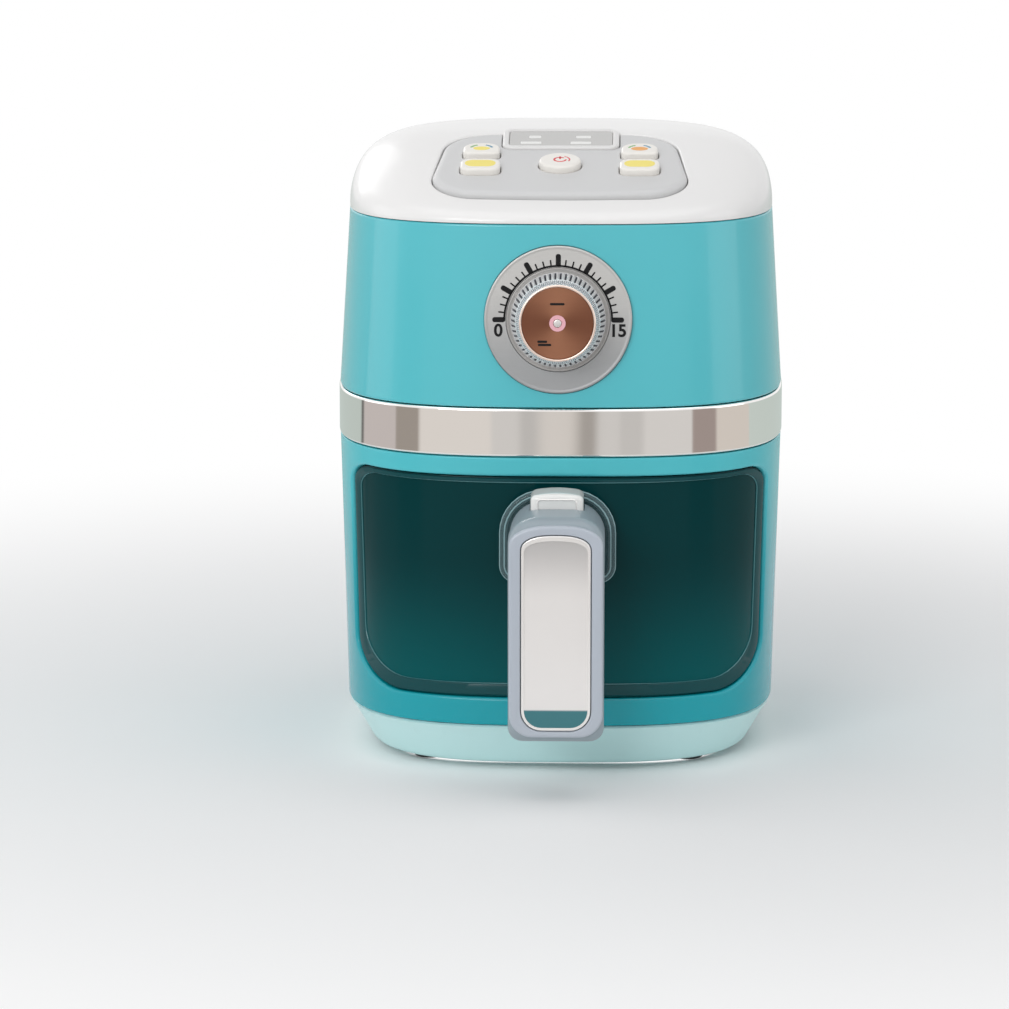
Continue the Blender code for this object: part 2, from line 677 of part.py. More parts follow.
def make_base():
    """The mint tub, with its battery box, screw wells and the recesses in its floor."""
    profile = [
        (BASE_BOTTOM_HALF - BASE_EDGE, BASE_BOTTOM),
        (BASE_BOTTOM_HALF, BASE_BOTTOM + BASE_EDGE),
        (BASE_TOP_HALF, BASE_TOP - SHELL_EDGE),
        (BASE_TOP_HALF - SHELL_EDGE, BASE_TOP),
        (BASE_TOP_HALF - BASE_WALL, BASE_TOP),
        (BASE_BOTTOM_HALF - BASE_WALL, BASE_FLOOR),
    ]
    base = loft("base", body_rings(profile), "mint", BODY)
    rim_top = DOOR_TOP + DOOR_RIM
    rim = box(
        "door_rim",
        (-DOOR_RECESS_HALF_WIDTH - BOX_WALL, DOOR_RECESS_FRONT - BOX_WALL, BASE_BOTTOM + FINE_EDGE),
        (DOOR_RECESS_HALF_WIDTH + BOX_WALL, DOOR_RECESS_REAR + BOX_WALL, rim_top), parent=BODY)
    walls = box(
        "battery_walls",
        (-POCKET_HALF_WIDTH - BOX_WALL, -POCKET_HALF_LENGTH - BOX_WALL, BASE_BOTTOM + 2 * FINE_EDGE),
        (POCKET_HALF_WIDTH + BOX_WALL, POCKET_HALF_LENGTH + BOX_WALL, POCKET_TOP + BOX_CEILING),
        parent=BODY)
    boss = cylinder(
        "door_boss", SCREW_WELL_RADIUS - FINE_EDGE, BASE_BOTTOM + FINE_EDGE, BASE_BOTTOM + DOOR_BOSS_HEIGHT,
        parent=BODY, place=DOOR_SCREW_PLACE)
    join(base, rim, walls, boss)
    for index, place in enumerate(BASE_SCREW_PLACES, 1):
        well = cylinder(
            f"screw_well_{index}", SCREW_WELL_RADIUS, BASE_BOTTOM + FINE_EDGE, SCREW_WELL_TOP,
            parent=BODY, place=place)
        join(base, well)
    door_recess = box(
        "door_recess",
        (-DOOR_RECESS_HALF_WIDTH, DOOR_RECESS_FRONT, BASE_BOTTOM - OVERRUN),
        (DOOR_RECESS_HALF_WIDTH, DOOR_RECESS_REAR, DOOR_TOP + GAP), parent=BODY)
    pocket = box(
        "battery_pocket",
        (-POCKET_HALF_WIDTH, -POCKET_HALF_LENGTH, BASE_BOTTOM - OVERRUN),
        (POCKET_HALF_WIDTH, POCKET_HALF_LENGTH, POCKET_TOP), parent=BODY)
    pilot = cylinder(
        "door_pilot", HOLE_RADIUS, BASE_BOTTOM - OVERRUN, DOOR_TOP + DOOR_SCREW_LENGTH + GAP,
        parent=BODY, place=DOOR_SCREW_PLACE)
    slot_half = (SWITCH_TAB_WIDTH + SWITCH_TRAVEL) / 2 + GAP
    slot = box(
        "switch_slot",
        (-slot_half, SWITCH_PLACE - SWITCH_TAB_DEPTH / 2 - GAP, BASE_BOTTOM - OVERRUN),
        (slot_half, SWITCH_PLACE + SWITCH_TAB_DEPTH / 2 + GAP, BASE_FLOOR + OVERRUN), parent=BODY)
    cut(base, door_recess, pocket, pilot, slot)
    for index, place in enumerate(BASE_SCREW_PLACES, 1):
        head = cylinder(
            f"screw_recess_{index}", HEAD_HOLE_RADIUS, BASE_BOTTOM - OVERRUN, SCREW_SEAT + SCREW_HEAD_HEIGHT,
            parent=BODY, place=place)
        hole = cylinder(
            f"screw_hole_{index}", HOLE_RADIUS, BASE_BOTTOM - OVERRUN, SCREW_WELL_TOP + OVERRUN,
            parent=BODY, place=place)
        cut(base, head, hole)
    for index, place in enumerate(FOOT_PLACES, 1):
        recess = cylinder(
            f"foot_recess_{index}", FOOT_RADIUS + GAP, BASE_BOTTOM - OVERRUN, BASE_BOTTOM + FOOT_RECESS,
            parent=BODY, place=place)
        cut(base, recess)
    return base


def make_feet():
    """Rubber feet pressed into the recesses, their rims chamfered."""
    top = BASE_BOTTOM + FOOT_RECESS - GAP
    for index, (x, y) in enumerate(FOOT_PLACES, 1):
        profile = [
            (0.0, top),
            (FOOT_RADIUS, top),
            (FOOT_RADIUS, FINE_EDGE),
            (FOOT_RADIUS - FINE_EDGE, 0.0),
            (0.0, 0.0),
        ]
        turned(f"foot_{index}", profile, "rubber", BODY, (x, y, 0.0), steps=SMALL_STEPS)


def make_batteries():
    """The door, its screw, the cells with alternate ends forward, and the contact plates."""
    outline = rectangle(
        2 * (DOOR_RECESS_HALF_WIDTH - GAP), DOOR_RECESS_REAR - DOOR_RECESS_FRONT - 2 * GAP, [FINE_EDGE] * 4,
        (0.0, (DOOR_RECESS_REAR + DOOR_RECESS_FRONT) / 2), steps=1)
    door = plate("battery_door", outline, BASE_BOTTOM, DOOR_TOP, "mint", BODY)
    x, y = DOOR_SCREW_PLACE
    hole = cylinder(
        "door_hole", HOLE_RADIUS, BASE_BOTTOM - OVERRUN, DOOR_TOP + OVERRUN, parent=BODY, place=(x, y))
    seat = cylinder(
        "door_screw_seat", HEAD_HOLE_RADIUS, BASE_BOTTOM - OVERRUN, BASE_BOTTOM + DOOR_THICKNESS / 2,
        parent=BODY, place=(x, y))
    thumb = cylinder(
        "door_thumb_rest", DOOR_THUMB_RADIUS, BASE_BOTTOM - OVERRUN, BASE_BOTTOM + DOOR_THUMB_DEPTH,
        parent=BODY, place=(x, DOOR_RECESS_FRONT + DOOR_THUMB_MARGIN), steps=ROUND_STEPS)
    cut(door, hole, seat, thumb)
    head_top = BASE_BOTTOM + DOOR_THICKNESS / 2 - GAP - SCREW_HEAD_HEIGHT
    screw("battery_door_screw", DOOR_SCREW_LENGTH - OVERRUN, BODY, (x, y, head_top), UPSIDE_DOWN)
    radius = CELL_DIAMETER / 2
    for index in range(CELL_COUNT):
        half = CELL_LENGTH / 2
        profile = [
            (0.0, half),
            (CELL_NUB_RADIUS, half),
            (CELL_NUB_RADIUS, half - CELL_NUB_LENGTH),
            (radius - FINE_EDGE, half - CELL_NUB_LENGTH),
            (radius, half - CELL_NUB_LENGTH - FINE_EDGE),
            (radius, FINE_EDGE - half),
            (radius - FINE_EDGE, -half),
            (0.0, -half),
        ]
        across = (index - (CELL_COUNT - 1) / 2) * CELL_PITCH
        direction = 1 if index % 2 else -1
        turned(
            f"battery_{index + 1}", profile, "cell", BODY, (across, 0.0, CELL_AXIS),
            (direction * math.pi / 2, 0.0, 0.0), steps=SMALL_STEPS)
    for name, side in (("battery_contact_front", -1), ("battery_contact_rear", 1)):
        outer = side * (CELL_LENGTH / 2 + GAP + CONTACT_THICKNESS)
        inner = side * (CELL_LENGTH / 2 + GAP)
        box(
            name,
            (GAP - POCKET_HALF_WIDTH, min(outer, inner), CELL_AXIS - CONTACT_HEIGHT / 2),
            (POCKET_HALF_WIDTH - GAP, max(outer, inner), CELL_AXIS + CONTACT_HEIGHT / 2), "steel", BODY)


def make_power_switch():
    """A slide switch: a tab through the floor under a plate, and the switch body over it; it rests at off."""
    off = -SWITCH_TRAVEL / 2
    plate_low = BASE_FLOOR + GAP
    plate_high = plate_low + SWITCH_PLATE_THICKNESS
    slider = box(
        "power_switch",
        (off - SWITCH_PLATE_WIDTH / 2, SWITCH_PLACE - SWITCH_PLATE_DEPTH / 2, plate_low),
        (off + SWITCH_PLATE_WIDTH / 2, SWITCH_PLACE + SWITCH_PLATE_DEPTH / 2, plate_high), "dark", BODY)
    tab = box(
        "switch_tab",
        (off - SWITCH_TAB_WIDTH / 2, SWITCH_PLACE - SWITCH_TAB_DEPTH / 2, BASE_BOTTOM - SWITCH_TAB_SUNK),
        (off + SWITCH_TAB_WIDTH / 2, SWITCH_PLACE + SWITCH_TAB_DEPTH / 2, plate_high - FINE_EDGE / 2),
        parent=BODY)
    join(slider, tab)
    body_low = plate_high + GAP
    box(
        "power_switch_body",
        (-SWITCH_BODY_WIDTH / 2, SWITCH_PLACE - SWITCH_BODY_DEPTH / 2, body_low),
        (SWITCH_BODY_WIDTH / 2, SWITCH_PLACE + SWITCH_BODY_DEPTH / 2, body_low + SWITCH_BODY_HEIGHT),
        "steel", BODY, edge=FINE_EDGE)


def make_base_screws():
    """Four screws up through the wells into the legs of the bay liner."""
    for index, (x, y) in enumerate(BASE_SCREW_PLACES, 1):
        top = SCREW_SEAT + SCREW_HEAD_HEIGHT - GAP - SCREW_HEAD_HEIGHT
        screw(f"base_screw_{index}", BASE_SCREW_LENGTH, BODY, (x, y, top), UPSIDE_DOWN)


# The bay stands over the battery box, and the basket fills it within its margins
SPLIT_PLANE = SPLIT_DEPTH - BODY_HALF
LINER_BOTTOM = POCKET_TOP + BOX_CEILING + LINER_SPACE
LINER_FLOOR = LINER_BOTTOM + LINER_WALL
LINER_TOP = LOWER_TOP - LINER_HEAD_MARGIN
LINER_ROOF = LINER_TOP - LINER_WALL
RUNNER_TOP = LINER_FLOOR + GAP + RUNNER_HEIGHT
BASKET_BOTTOM = RUNNER_TOP + GAP
BASKET_TOP = LOWER_TOP - BASKET_HEAD_MARGIN
BASKET_FRONT = BASKET_FRONT_MARGIN - LOWER_BOTTOM_HALF
BASKET_REAR = LOWER_BOTTOM_HALF - BASKET_REAR_MARGIN
BASKET_CENTRE = (BASKET_REAR + BASKET_FRONT) / 2
BASKET_HALF_DEPTH = (BASKET_REAR - BASKET_FRONT) / 2
BASKET_HALF_WIDTH = LOWER_BOTTOM_HALF - BASKET_SIDE_MARGIN
DECK_BOTTOM = LOWER_TOP + GAP
DECK_TOP = DECK_BOTTOM + DECK_THICKNESS
POST_X = BASKET_HALF_WIDTH - POST_SIDE_MARGIN
POST_PLACES = [
    (side * POST_X, along)
    for side in (-1, 1) for along in (SPLIT_PLANE + POST_FRONT_MARGIN, BASKET_REAR - POST_REAR_MARGIN)
]


def basket_rings(profile):
    """Rings of the basket's plan for (inset, height) pairs."""
    return [
        ring(BASKET_HALF_WIDTH - inset, level, BASKET_HALF_DEPTH - inset, BASKET_CENTRE, BASKET_SQUARENESS,
             BASKET_SEGMENTS)
        for inset, level in profile
    ]


def make_lower_shell():
    """The teal wall behind the split plane, open at the front for the drawer."""
    profile = wall_profile(lower_half, LOWER_BOTTOM, LOWER_TOP, 0.0, SHELL_WALL, SHELL_EDGE)
    shell = loft("lower_shell", body_rings(profile), "teal", BODY, closed=True)
    front = box(
        "drawer_front_space",
        (-BODY_HALF - OVERRUN, -BODY_HALF - OVERRUN, LOWER_BOTTOM - OVERRUN),
        (BODY_HALF + OVERRUN, SPLIT_PLANE, LOWER_TOP + OVERRUN), parent=BODY)
    return cut(shell, front)


def make_bay_liner():
    """The dark box that the basket slides in, with a flange that fills the shell's front."""
    plane = SPLIT_PLANE + GAP
    liner = loft(
        "bay_liner",
        basket_rings([(-SLIDE_GAP - LINER_WALL, LINER_BOTTOM), (-SLIDE_GAP - LINER_WALL, LINER_TOP)]),
        "liner", BODY)
    inside = [(lower_half(level) - SHELL_WALL - GAP, level) for level in (LINER_BOTTOM, LOWER_TOP - GAP)]
    flange = loft("liner_flange", body_rings(inside), parent=BODY)
    slab = box(
        "flange_slab",
        (-BODY_HALF, plane - OVERRUN, LINER_BOTTOM - OVERRUN),
        (BODY_HALF, plane + LINER_WALL, LOWER_TOP + OVERRUN), parent=BODY)
    combine(flange, slab, "INTERSECT")
    join(liner, flange)
    for index, place in enumerate(BASE_SCREW_PLACES, 1):
        leg = cylinder(
            f"liner_leg_{index}", SCREW_WELL_RADIUS, SCREW_WELL_TOP + GAP, LINER_BOTTOM + LINER_WALL / 2,
            parent=BODY, place=place)
        join(liner, leg)
    for index, place in enumerate(POST_PLACES, 1):
        post = cylinder(
            f"deck_post_{index}", POST_RADIUS, LINER_TOP - LINER_WALL / 2, DECK_BOTTOM - GAP,
            parent=BODY, place=place)
        join(liner, post)
    front = box(
        "liner_front_trim",
        (-BODY_HALF, -BODY_HALF - OVERRUN, -OVERRUN),
        (BODY_HALF, plane, BAND_TOP), parent=BODY)
    bay = loft("bay_space", basket_rings([(-SLIDE_GAP, LINER_FLOOR), (-SLIDE_GAP, LINER_ROOF)]), parent=BODY)
    cut(liner, front, bay)
    for index, place in enumerate(BASE_SCREW_PLACES, 1):
        pilot = cylinder(
            f"leg_pilot_{index}", HOLE_RADIUS, SCREW_WELL_TOP - OVERRUN, LINER_BOTTOM - FINE_EDGE,
            parent=BODY, place=place)
        cut(liner, pilot)
    light_hole = cylinder(
        "light_hole", LIGHT_RADIUS + GAP, LINER_ROOF - OVERRUN, LINER_TOP + OVERRUN, parent=BODY,
        place=(0.0, LIGHT_PLACE))
    return cut(liner, light_hole)


def make_runners():
    """Two low strips on the bay's floor that carry the basket."""
    for name, side in (("runner_left", -1), ("runner_right", 1)):
        x = side * (BASKET_HALF_WIDTH - RUNNER_SIDE_MARGIN)
        box(
            name,
            (x - RUNNER_WIDTH / 2, SPLIT_PLANE + RUNNER_FRONT_MARGIN, LINER_FLOOR + GAP),
            (x + RUNNER_WIDTH / 2, BASKET_REAR - RUNNER_REAR_MARGIN, RUNNER_TOP), "steel", BODY)


def make_deck_and_band():
    """The deck that closes the lower half, the drawer's light through it, and the chrome band round it."""
    deck_half = BODY_HALF - BAND_STEP - BAND_WALL - GAP
    deck = loft("mid_deck", body_rings([(deck_half, DECK_BOTTOM), (deck_half, DECK_TOP)]), "liner", BODY)
    hole = cylinder(
        "deck_light_hole", LIGHT_FLANGE + GAP, DECK_BOTTOM - OVERRUN, DECK_TOP + OVERRUN, parent=BODY,
        place=(0.0, LIGHT_PLACE))
    cut(deck, hole)
    seat = LINER_TOP + GAP
    profile = [
        (0.0, seat + LIGHT_HEIGHT),
        (LIGHT_RADIUS, seat + LIGHT_HEIGHT),
        (LIGHT_RADIUS, seat + LIGHT_FLANGE_THICKNESS),
        (LIGHT_FLANGE, seat + LIGHT_FLANGE_THICKNESS),
        (LIGHT_FLANGE, seat),
        (LIGHT_RADIUS, seat),
        (LIGHT_RADIUS, LINER_ROOF - LIGHT_DROP + LIGHT_RADIUS / 2),
        (LIGHT_RADIUS / 2, LINER_ROOF - LIGHT_DROP),
        (0.0, LINER_ROOF - LIGHT_DROP),
    ]
    turned("drawer_light", profile, "white", BODY, (0.0, LIGHT_PLACE, 0.0), steps=SMALL_STEPS)

    def outside(level):
        return BODY_HALF - (level - BAND_BOTTOM) / BAND_HEIGHT * BAND_STEP

    profile = wall_profile(outside, BAND_BOTTOM, BAND_TOP, 0.0, BAND_WALL, SHELL_EDGE)
    loft("chrome_band", body_rings(profile), "chrome", BODY, closed=True)


# The dial and the speaker sit square to the leaning faces of the upper shell
UPPER_LEAN = math.atan((UPPER_BOTTOM_HALF - UPPER_TOP_HALF) / UPPER_HEIGHT)
DIAL_HEIGHT = UPPER_BOTTOM + UPPER_HEIGHT / 2 - DIAL_DROP
SPEAKER_HEIGHT = UPPER_BOTTOM + UPPER_HEIGHT / 2 + SPEAKER_RAISE
DIAL = frame("dial_axis", (0.0, -upper_half(DIAL_HEIGHT), DIAL_HEIGHT), math.pi / 2 - UPPER_LEAN, BODY)
REAR = frame(
    "speaker_axis", (0.0, upper_half(SPEAKER_HEIGHT), SPEAKER_HEIGHT), UPPER_LEAN - math.pi / 2, BODY)
BOSS_BACK = -SHELL_WALL - DIAL_BOSS_DEPTH
WHEEL_FRONT = BOSS_BACK - FINE_EDGE
WHEEL_BACK = WHEEL_FRONT - WHEEL_THICKNESS
BRACKET_FRONT = BOSS_BACK - BRACKET_SPACE
BRACKET_BACK = BRACKET_FRONT - BRACKET_THICKNESS
KNOB_BACK = BEZEL_FACE + GAP
KNOB_FRONT = KNOB_BACK + KNOB_LENGTH
CAP_BACK = KNOB_FRONT - CAP_SEAT_DEPTH + GAP
CAP_RADIUS = KNOB_FRONT_RADIUS - KNOB_LIP
SHAFT_FRONT = KNOB_BACK + SHAFT_GRIP
SHAFT_HOLE = SHAFT_RADIUS + GAP


def make_upper_shell():
    """The teal upper wall, with a boss and a round seat for the dial and slots for the speaker."""
    profile = wall_profile(upper_half, UPPER_BOTTOM, UPPER_TOP, 0.0, SHELL_WALL, SHELL_EDGE)
    shell = loft("upper_shell", body_rings(profile), "teal", BODY, closed=True)
    boss = cylinder(
        "dial_boss", DIAL_BOSS_RADIUS, BOSS_BACK, -SHELL_WALL / 2 - BEZEL_SEAT / 2,
        parent=DIAL, steps=ROUND_STEPS)
    join(shell, boss)
    seat = cylinder(
        "bezel_seat", BEZEL_RADIUS + GAP, -BEZEL_SEAT, BEZEL_SEAT + OVERRUN, parent=DIAL, steps=ROUND_STEPS)
    hole = cylinder("shaft_hole", SHAFT_HOLE, BOSS_BACK - OVERRUN, OVERRUN, parent=DIAL)
    cut(shell, seat, hole)
    for index in range(SPEAKER_SLOTS):
        rise = (index - (SPEAKER_SLOTS - 1) / 2) * SPEAKER_SLOT_PITCH
        slot = box(
            f"speaker_slot_{index + 1}",
            (-SPEAKER_SLOT_WIDTH / 2, rise - SPEAKER_SLOT_HEIGHT / 2, -SHELL_WALL - OVERRUN),
            (SPEAKER_SLOT_WIDTH / 2, rise + SPEAKER_SLOT_HEIGHT / 2, OVERRUN), parent=REAR)
        cut(shell, slot)
    return shell


def make_speaker():
    """A small speaker against the inside of the rear wall: flange, cone basket and magnet."""
    front = -SHELL_WALL - 2 * GAP
    cone = front - SPEAKER_FLANGE - SPEAKER_CONE_DEPTH
    profile = [
        (0.0, front),
        (SPEAKER_RADIUS, front),
        (SPEAKER_RADIUS, front - SPEAKER_FLANGE),
        (SPEAKER_RADIUS - SPEAKER_FLANGE, front - SPEAKER_FLANGE),
        (SPEAKER_MAGNET_RADIUS, cone),
        (SPEAKER_MAGNET_RADIUS, cone - SPEAKER_MAGNET_DEPTH),
        (0.0, cone - SPEAKER_MAGNET_DEPTH),
    ]
    turned("speaker", profile, "dark", REAR, steps=SMALL_STEPS)


def fluted_ring(radius, depth, level):
    """A circle whose radius steps in at every second point, for the grip's flutes."""
    count = 2 * KNOB_FLUTES
    angle = np.linspace(0.0, math.tau, count, endpoint=False)
    reach = radius - depth * (np.arange(count) % 2)
    return np.column_stack((reach * np.cos(angle), reach * np.sin(angle), np.full(count, level)))


def toothed_outline(teeth, radius, depth):
    """Outline of a wheel with pointed teeth and a gap at the lowest point."""
    step = math.tau / teeth
    points = []
    for tooth in range(teeth):
        root = tooth * step - math.pi / 2
        for angle, reach in ((root, radius - depth), (root + step / 2, radius)):
            points.append((reach * math.cos(angle), reach * math.sin(angle)))
    return points


def make_dial():
    """The dial and its click mechanism: bezel, knob, cap, shaft, toothed wheel, leaf spring and bracket."""
    bezel = [
        (BEZEL_RADIUS - FINE_EDGE, BEZEL_RIM_PROUD),
        (BEZEL_RADIUS, BEZEL_RIM_PROUD - FINE_EDGE),
        (BEZEL_RADIUS, GAP - BEZEL_SEAT),
        (BEZEL_BORE, GAP - BEZEL_SEAT),
        (BEZEL_BORE, BEZEL_FACE - BEZEL_STEP_DEPTH),
        (BEZEL_STEP_INNER, BEZEL_FACE - BEZEL_STEP_DEPTH),
        (BEZEL_STEP_INNER + BEZEL_STEP_DEPTH, BEZEL_FACE),
        (BEZEL_RADIUS - BEZEL_RIM_WIDTH - FINE_EDGE, BEZEL_FACE),
        (BEZEL_RADIUS - BEZEL_RIM_WIDTH, BEZEL_RIM_PROUD),
    ]
    turned("dial_bezel", bezel, "silver", DIAL)
    knob = loft("dial_knob", [
        fluted_ring(KNOB_BASE_RADIUS, 0.0, KNOB_BACK),
        fluted_ring(KNOB_BASE_RADIUS, 0.0, KNOB_BACK + KNOB_COLLAR),
        fluted_ring(KNOB_BASE_RADIUS - KNOB_COLLAR / 2, KNOB_FLUTE_DEPTH, KNOB_BACK + 2 * KNOB_COLLAR),
        fluted_ring(KNOB_FRONT_RADIUS + KNOB_FLUTE_DEPTH, KNOB_FLUTE_DEPTH, KNOB_FRONT - 2 * KNOB_LIP),
        fluted_ring(KNOB_FRONT_RADIUS, 0.0, KNOB_FRONT),
    ], "chrome", DIAL)
    seat = cylinder(
        "cap_seat", CAP_RADIUS + GAP, KNOB_FRONT - CAP_SEAT_DEPTH, KNOB_FRONT + OVERRUN,
        parent=DIAL, steps=ROUND_STEPS)
    bore = cylinder("knob_bore", SHAFT_HOLE, KNOB_BACK - OVERRUN, SHAFT_FRONT + GAP, parent=DIAL)
    cut(knob, seat, bore)
    top = CAP_BACK + CAP_THICKNESS
    cap = [
        (0.0, top + CAP_BOSS_PROUD),
        (CAP_BOSS_RADIUS, top + CAP_BOSS_PROUD),
        (CAP_BOSS_RADIUS, top),
        (CAP_RADIUS - FINE_EDGE, top),
        (CAP_RADIUS, top - FINE_EDGE),
        (CAP_RADIUS, CAP_BACK),
        (0.0, CAP_BACK),
    ]
    turned("dial_cap", cap, "copper", DIAL)
    shaft_back = BRACKET_BACK - OVERRUN
    cylinder("dial_shaft", SHAFT_RADIUS, shaft_back, SHAFT_FRONT, "steel", DIAL)
    wheel = plate(
        "detent_wheel", toothed_outline(WHEEL_TEETH, WHEEL_RADIUS, WHEEL_TOOTH), WHEEL_BACK, WHEEL_FRONT,
        "white", DIAL)
    wheel_bore = cylinder("wheel_bore", SHAFT_HOLE, WHEEL_BACK - OVERRUN, WHEEL_FRONT + OVERRUN, parent=DIAL)
    cut(wheel, wheel_bore)
    bracket = plate(
        "dial_bracket", rectangle(BRACKET_WIDTH, BRACKET_HEIGHT, [POST_RADIUS] * 4, steps=2),
        BRACKET_BACK, BRACKET_FRONT,
        "liner", DIAL)
    bracket_bore = cylinder(
        "bracket_bore", SHAFT_HOLE, BRACKET_BACK - OVERRUN, BRACKET_FRONT + OVERRUN, parent=DIAL)
    for name, side in (("bracket_post_left", -1), ("bracket_post_right", 1)):
        post = cylinder(
            name, BRACKET_POST_RADIUS, BRACKET_FRONT - BRACKET_THICKNESS / 2, BOSS_BACK - GAP, parent=DIAL,
            place=(side * BRACKET_POST_SPACING / 2, 0.0))
        join(bracket, post)
    cut(bracket, bracket_bore)
    low = -SPRING_OFFSET - SPRING_THICKNESS
    high = -SPRING_OFFSET
    tip = -WHEEL_RADIUS - GAP
    leaf = [
        (-SPRING_REACH, low), (-SPRING_TIP, low), (0.0, tip - SPRING_THICKNESS), (SPRING_TIP, low),
        (SPRING_REACH, low), (SPRING_REACH, high), (SPRING_TIP + SPRING_THICKNESS, high), (0.0, tip),
        (-SPRING_TIP - SPRING_THICKNESS, high),
        (-SPRING_REACH, high),
    ]
    middle = (WHEEL_FRONT + WHEEL_BACK) / 2
    spring = plate("detent_spring", leaf, middle - SPRING_WIDTH / 2, middle + SPRING_WIDTH / 2, "steel", DIAL)
    for name, side in (("spring_anchor_left", -1), ("spring_anchor_right", 1)):
        x = side * (SPRING_REACH - SPRING_ANCHOR / 2)
        anchor = box(
            name,
            (x - SPRING_ANCHOR / 2 + FINE_EDGE, -SPRING_OFFSET - SPRING_ANCHOR, BRACKET_FRONT + GAP),
            (x + SPRING_ANCHOR / 2 - FINE_EDGE, -SPRING_OFFSET - SPRING_THICKNESS / 2,
             middle + SPRING_WIDTH / 4),
            parent=DIAL)
        join(spring, anchor)


# The sloped plane of the panel starts at its front edge, a little proud of the lid
CROWN_FRONT_PLACE = CROWN_FRONT_MARGIN - BODY_HALF
PANEL_FRONT = PANEL_FRONT_MARGIN - BODY_HALF
PANEL_FRONT_HALF = BODY_HALF - PANEL_SIDE_MARGIN
PANEL_BACK_HALF = PANEL_FRONT_HALF - PANEL_NARROWING
BUTTON_COLUMN = BUTTON_COLUMN_SHARE * PANEL_BACK_HALF
FRONT_BUTTON_WIDTH = 2 * PANEL_BACK_HALF * FRONT_BUTTON_WIDTH_SHARE
BACK_BUTTON_WIDTH = 2 * PANEL_BACK_HALF * BACK_BUTTON_WIDTH_SHARE
DISPLAY_WIDTH = 2 * (BUTTON_COLUMN - BACK_BUTTON_WIDTH / 2 - DISPLAY_SIDE_SPACE)
DISPLAY_PLACE = PANEL_LENGTH - DISPLAY_SETBACK


def lid_height(x, y, half=UPPER_TOP_HALF, inset=0.0):
    """Height of the dome over its seam: shoulders (1 - r^6)^(1/2.6) times a crown that levels off."""
    reach = (np.abs(x / half) ** SQUARENESS + np.abs(y / half) ** SQUARENESS) ** (1.0 / SQUARENESS)
    shoulder = np.clip(1.0 - reach ** SHOULDER_POWER, 0.0, 1.0) ** (1.0 / SHOULDER_ROOT)
    rising = CROWN_FRONT + CROWN_SLOPE_SHARE * (y - CROWN_FRONT_PLACE)
    level = LID_RISE
    crown = level - CROWN_BLEND * np.logaddexp(0.0, (level - rising) / CROWN_BLEND)
    return shoulder * (crown - inset)


PANEL_FRONT_HEIGHT = LID_BOTTOM + float(lid_height(0.0, PANEL_FRONT)) + PANEL_FRONT_PROUD
PANEL = frame("panel_plane", (0.0, PANEL_FRONT, PANEL_FRONT_HEIGHT), PANEL_TILT, BODY)
LEDGE_TOP = -PANEL_DEPTH - GAP
LEDGE_BOTTOM = LEDGE_TOP - LEDGE_THICKNESS
WELL_REACH = LID_RISE
BUTTON_BOTTOM = -PANEL_PLATE - GAP - BUTTON_FLANGE_THICKNESS
PLUNGER_TOP = BUTTON_BOTTOM - BUTTON_TRAVEL - GAP
BOARD_TOP = LEDGE_BOTTOM - GAP


def panel_outline(grow=0.0):
    """The panel's outline: a tapered rectangle with large corners, whose front edge bows forward.

    Its sides fall back by PANEL_BOW times (x / half width)^2, fading out up the slope.
    """
    front, back = PANEL_FRONT_HALF + grow, PANEL_BACK_HALF + grow
    corners = [(-front, -grow), (front, -grow), (back, PANEL_LENGTH + grow), (-back, PANEL_LENGTH + grow)]
    radii = [PANEL_FRONT_CORNER + grow] * 2 + [PANEL_BACK_CORNER + grow] * 2
    points = rounded_outline(corners, radii)
    shares = np.linspace(0.0, 1.0, PANEL_BOW_STEPS + 1)[1:-1]
    left, right = points[ARC_STEPS], points[ARC_STEPS + 1]
    edge = [(left[0] + share * (right[0] - left[0]), -grow) for share in shares]
    points = points[:ARC_STEPS + 1] + edge + points[ARC_STEPS + 1:]
    bowed = []
    for x, along in points:
        fall = PANEL_BOW * (x / PANEL_FRONT_HALF) ** 2
        bowed.append((x, along + fall * (1.0 - along / PANEL_LENGTH)))
    return bowed


def display_outline(grow=0.0):
    """The display frame's outline, across the panel's back edge."""
    return rectangle(DISPLAY_WIDTH, DISPLAY_LENGTH, [DISPLAY_RADIUS] * 4, (0.0, DISPLAY_PLACE), grow)


def dome_rings(half, base, inset, shares):
    """Rings of the dome from its seam to near its top, with one ring at its foot."""
    rim = ring(half, base)
    rings = [rim]
    for share in shares:
        level = ring(half * share, base)
        level[:, 2] = base + lid_height(level[:, 0], level[:, 1], half, inset)
        if share == 1.0:
            level[:, 2] = base + FINE_EDGE
        rings.append(level)
    return rings


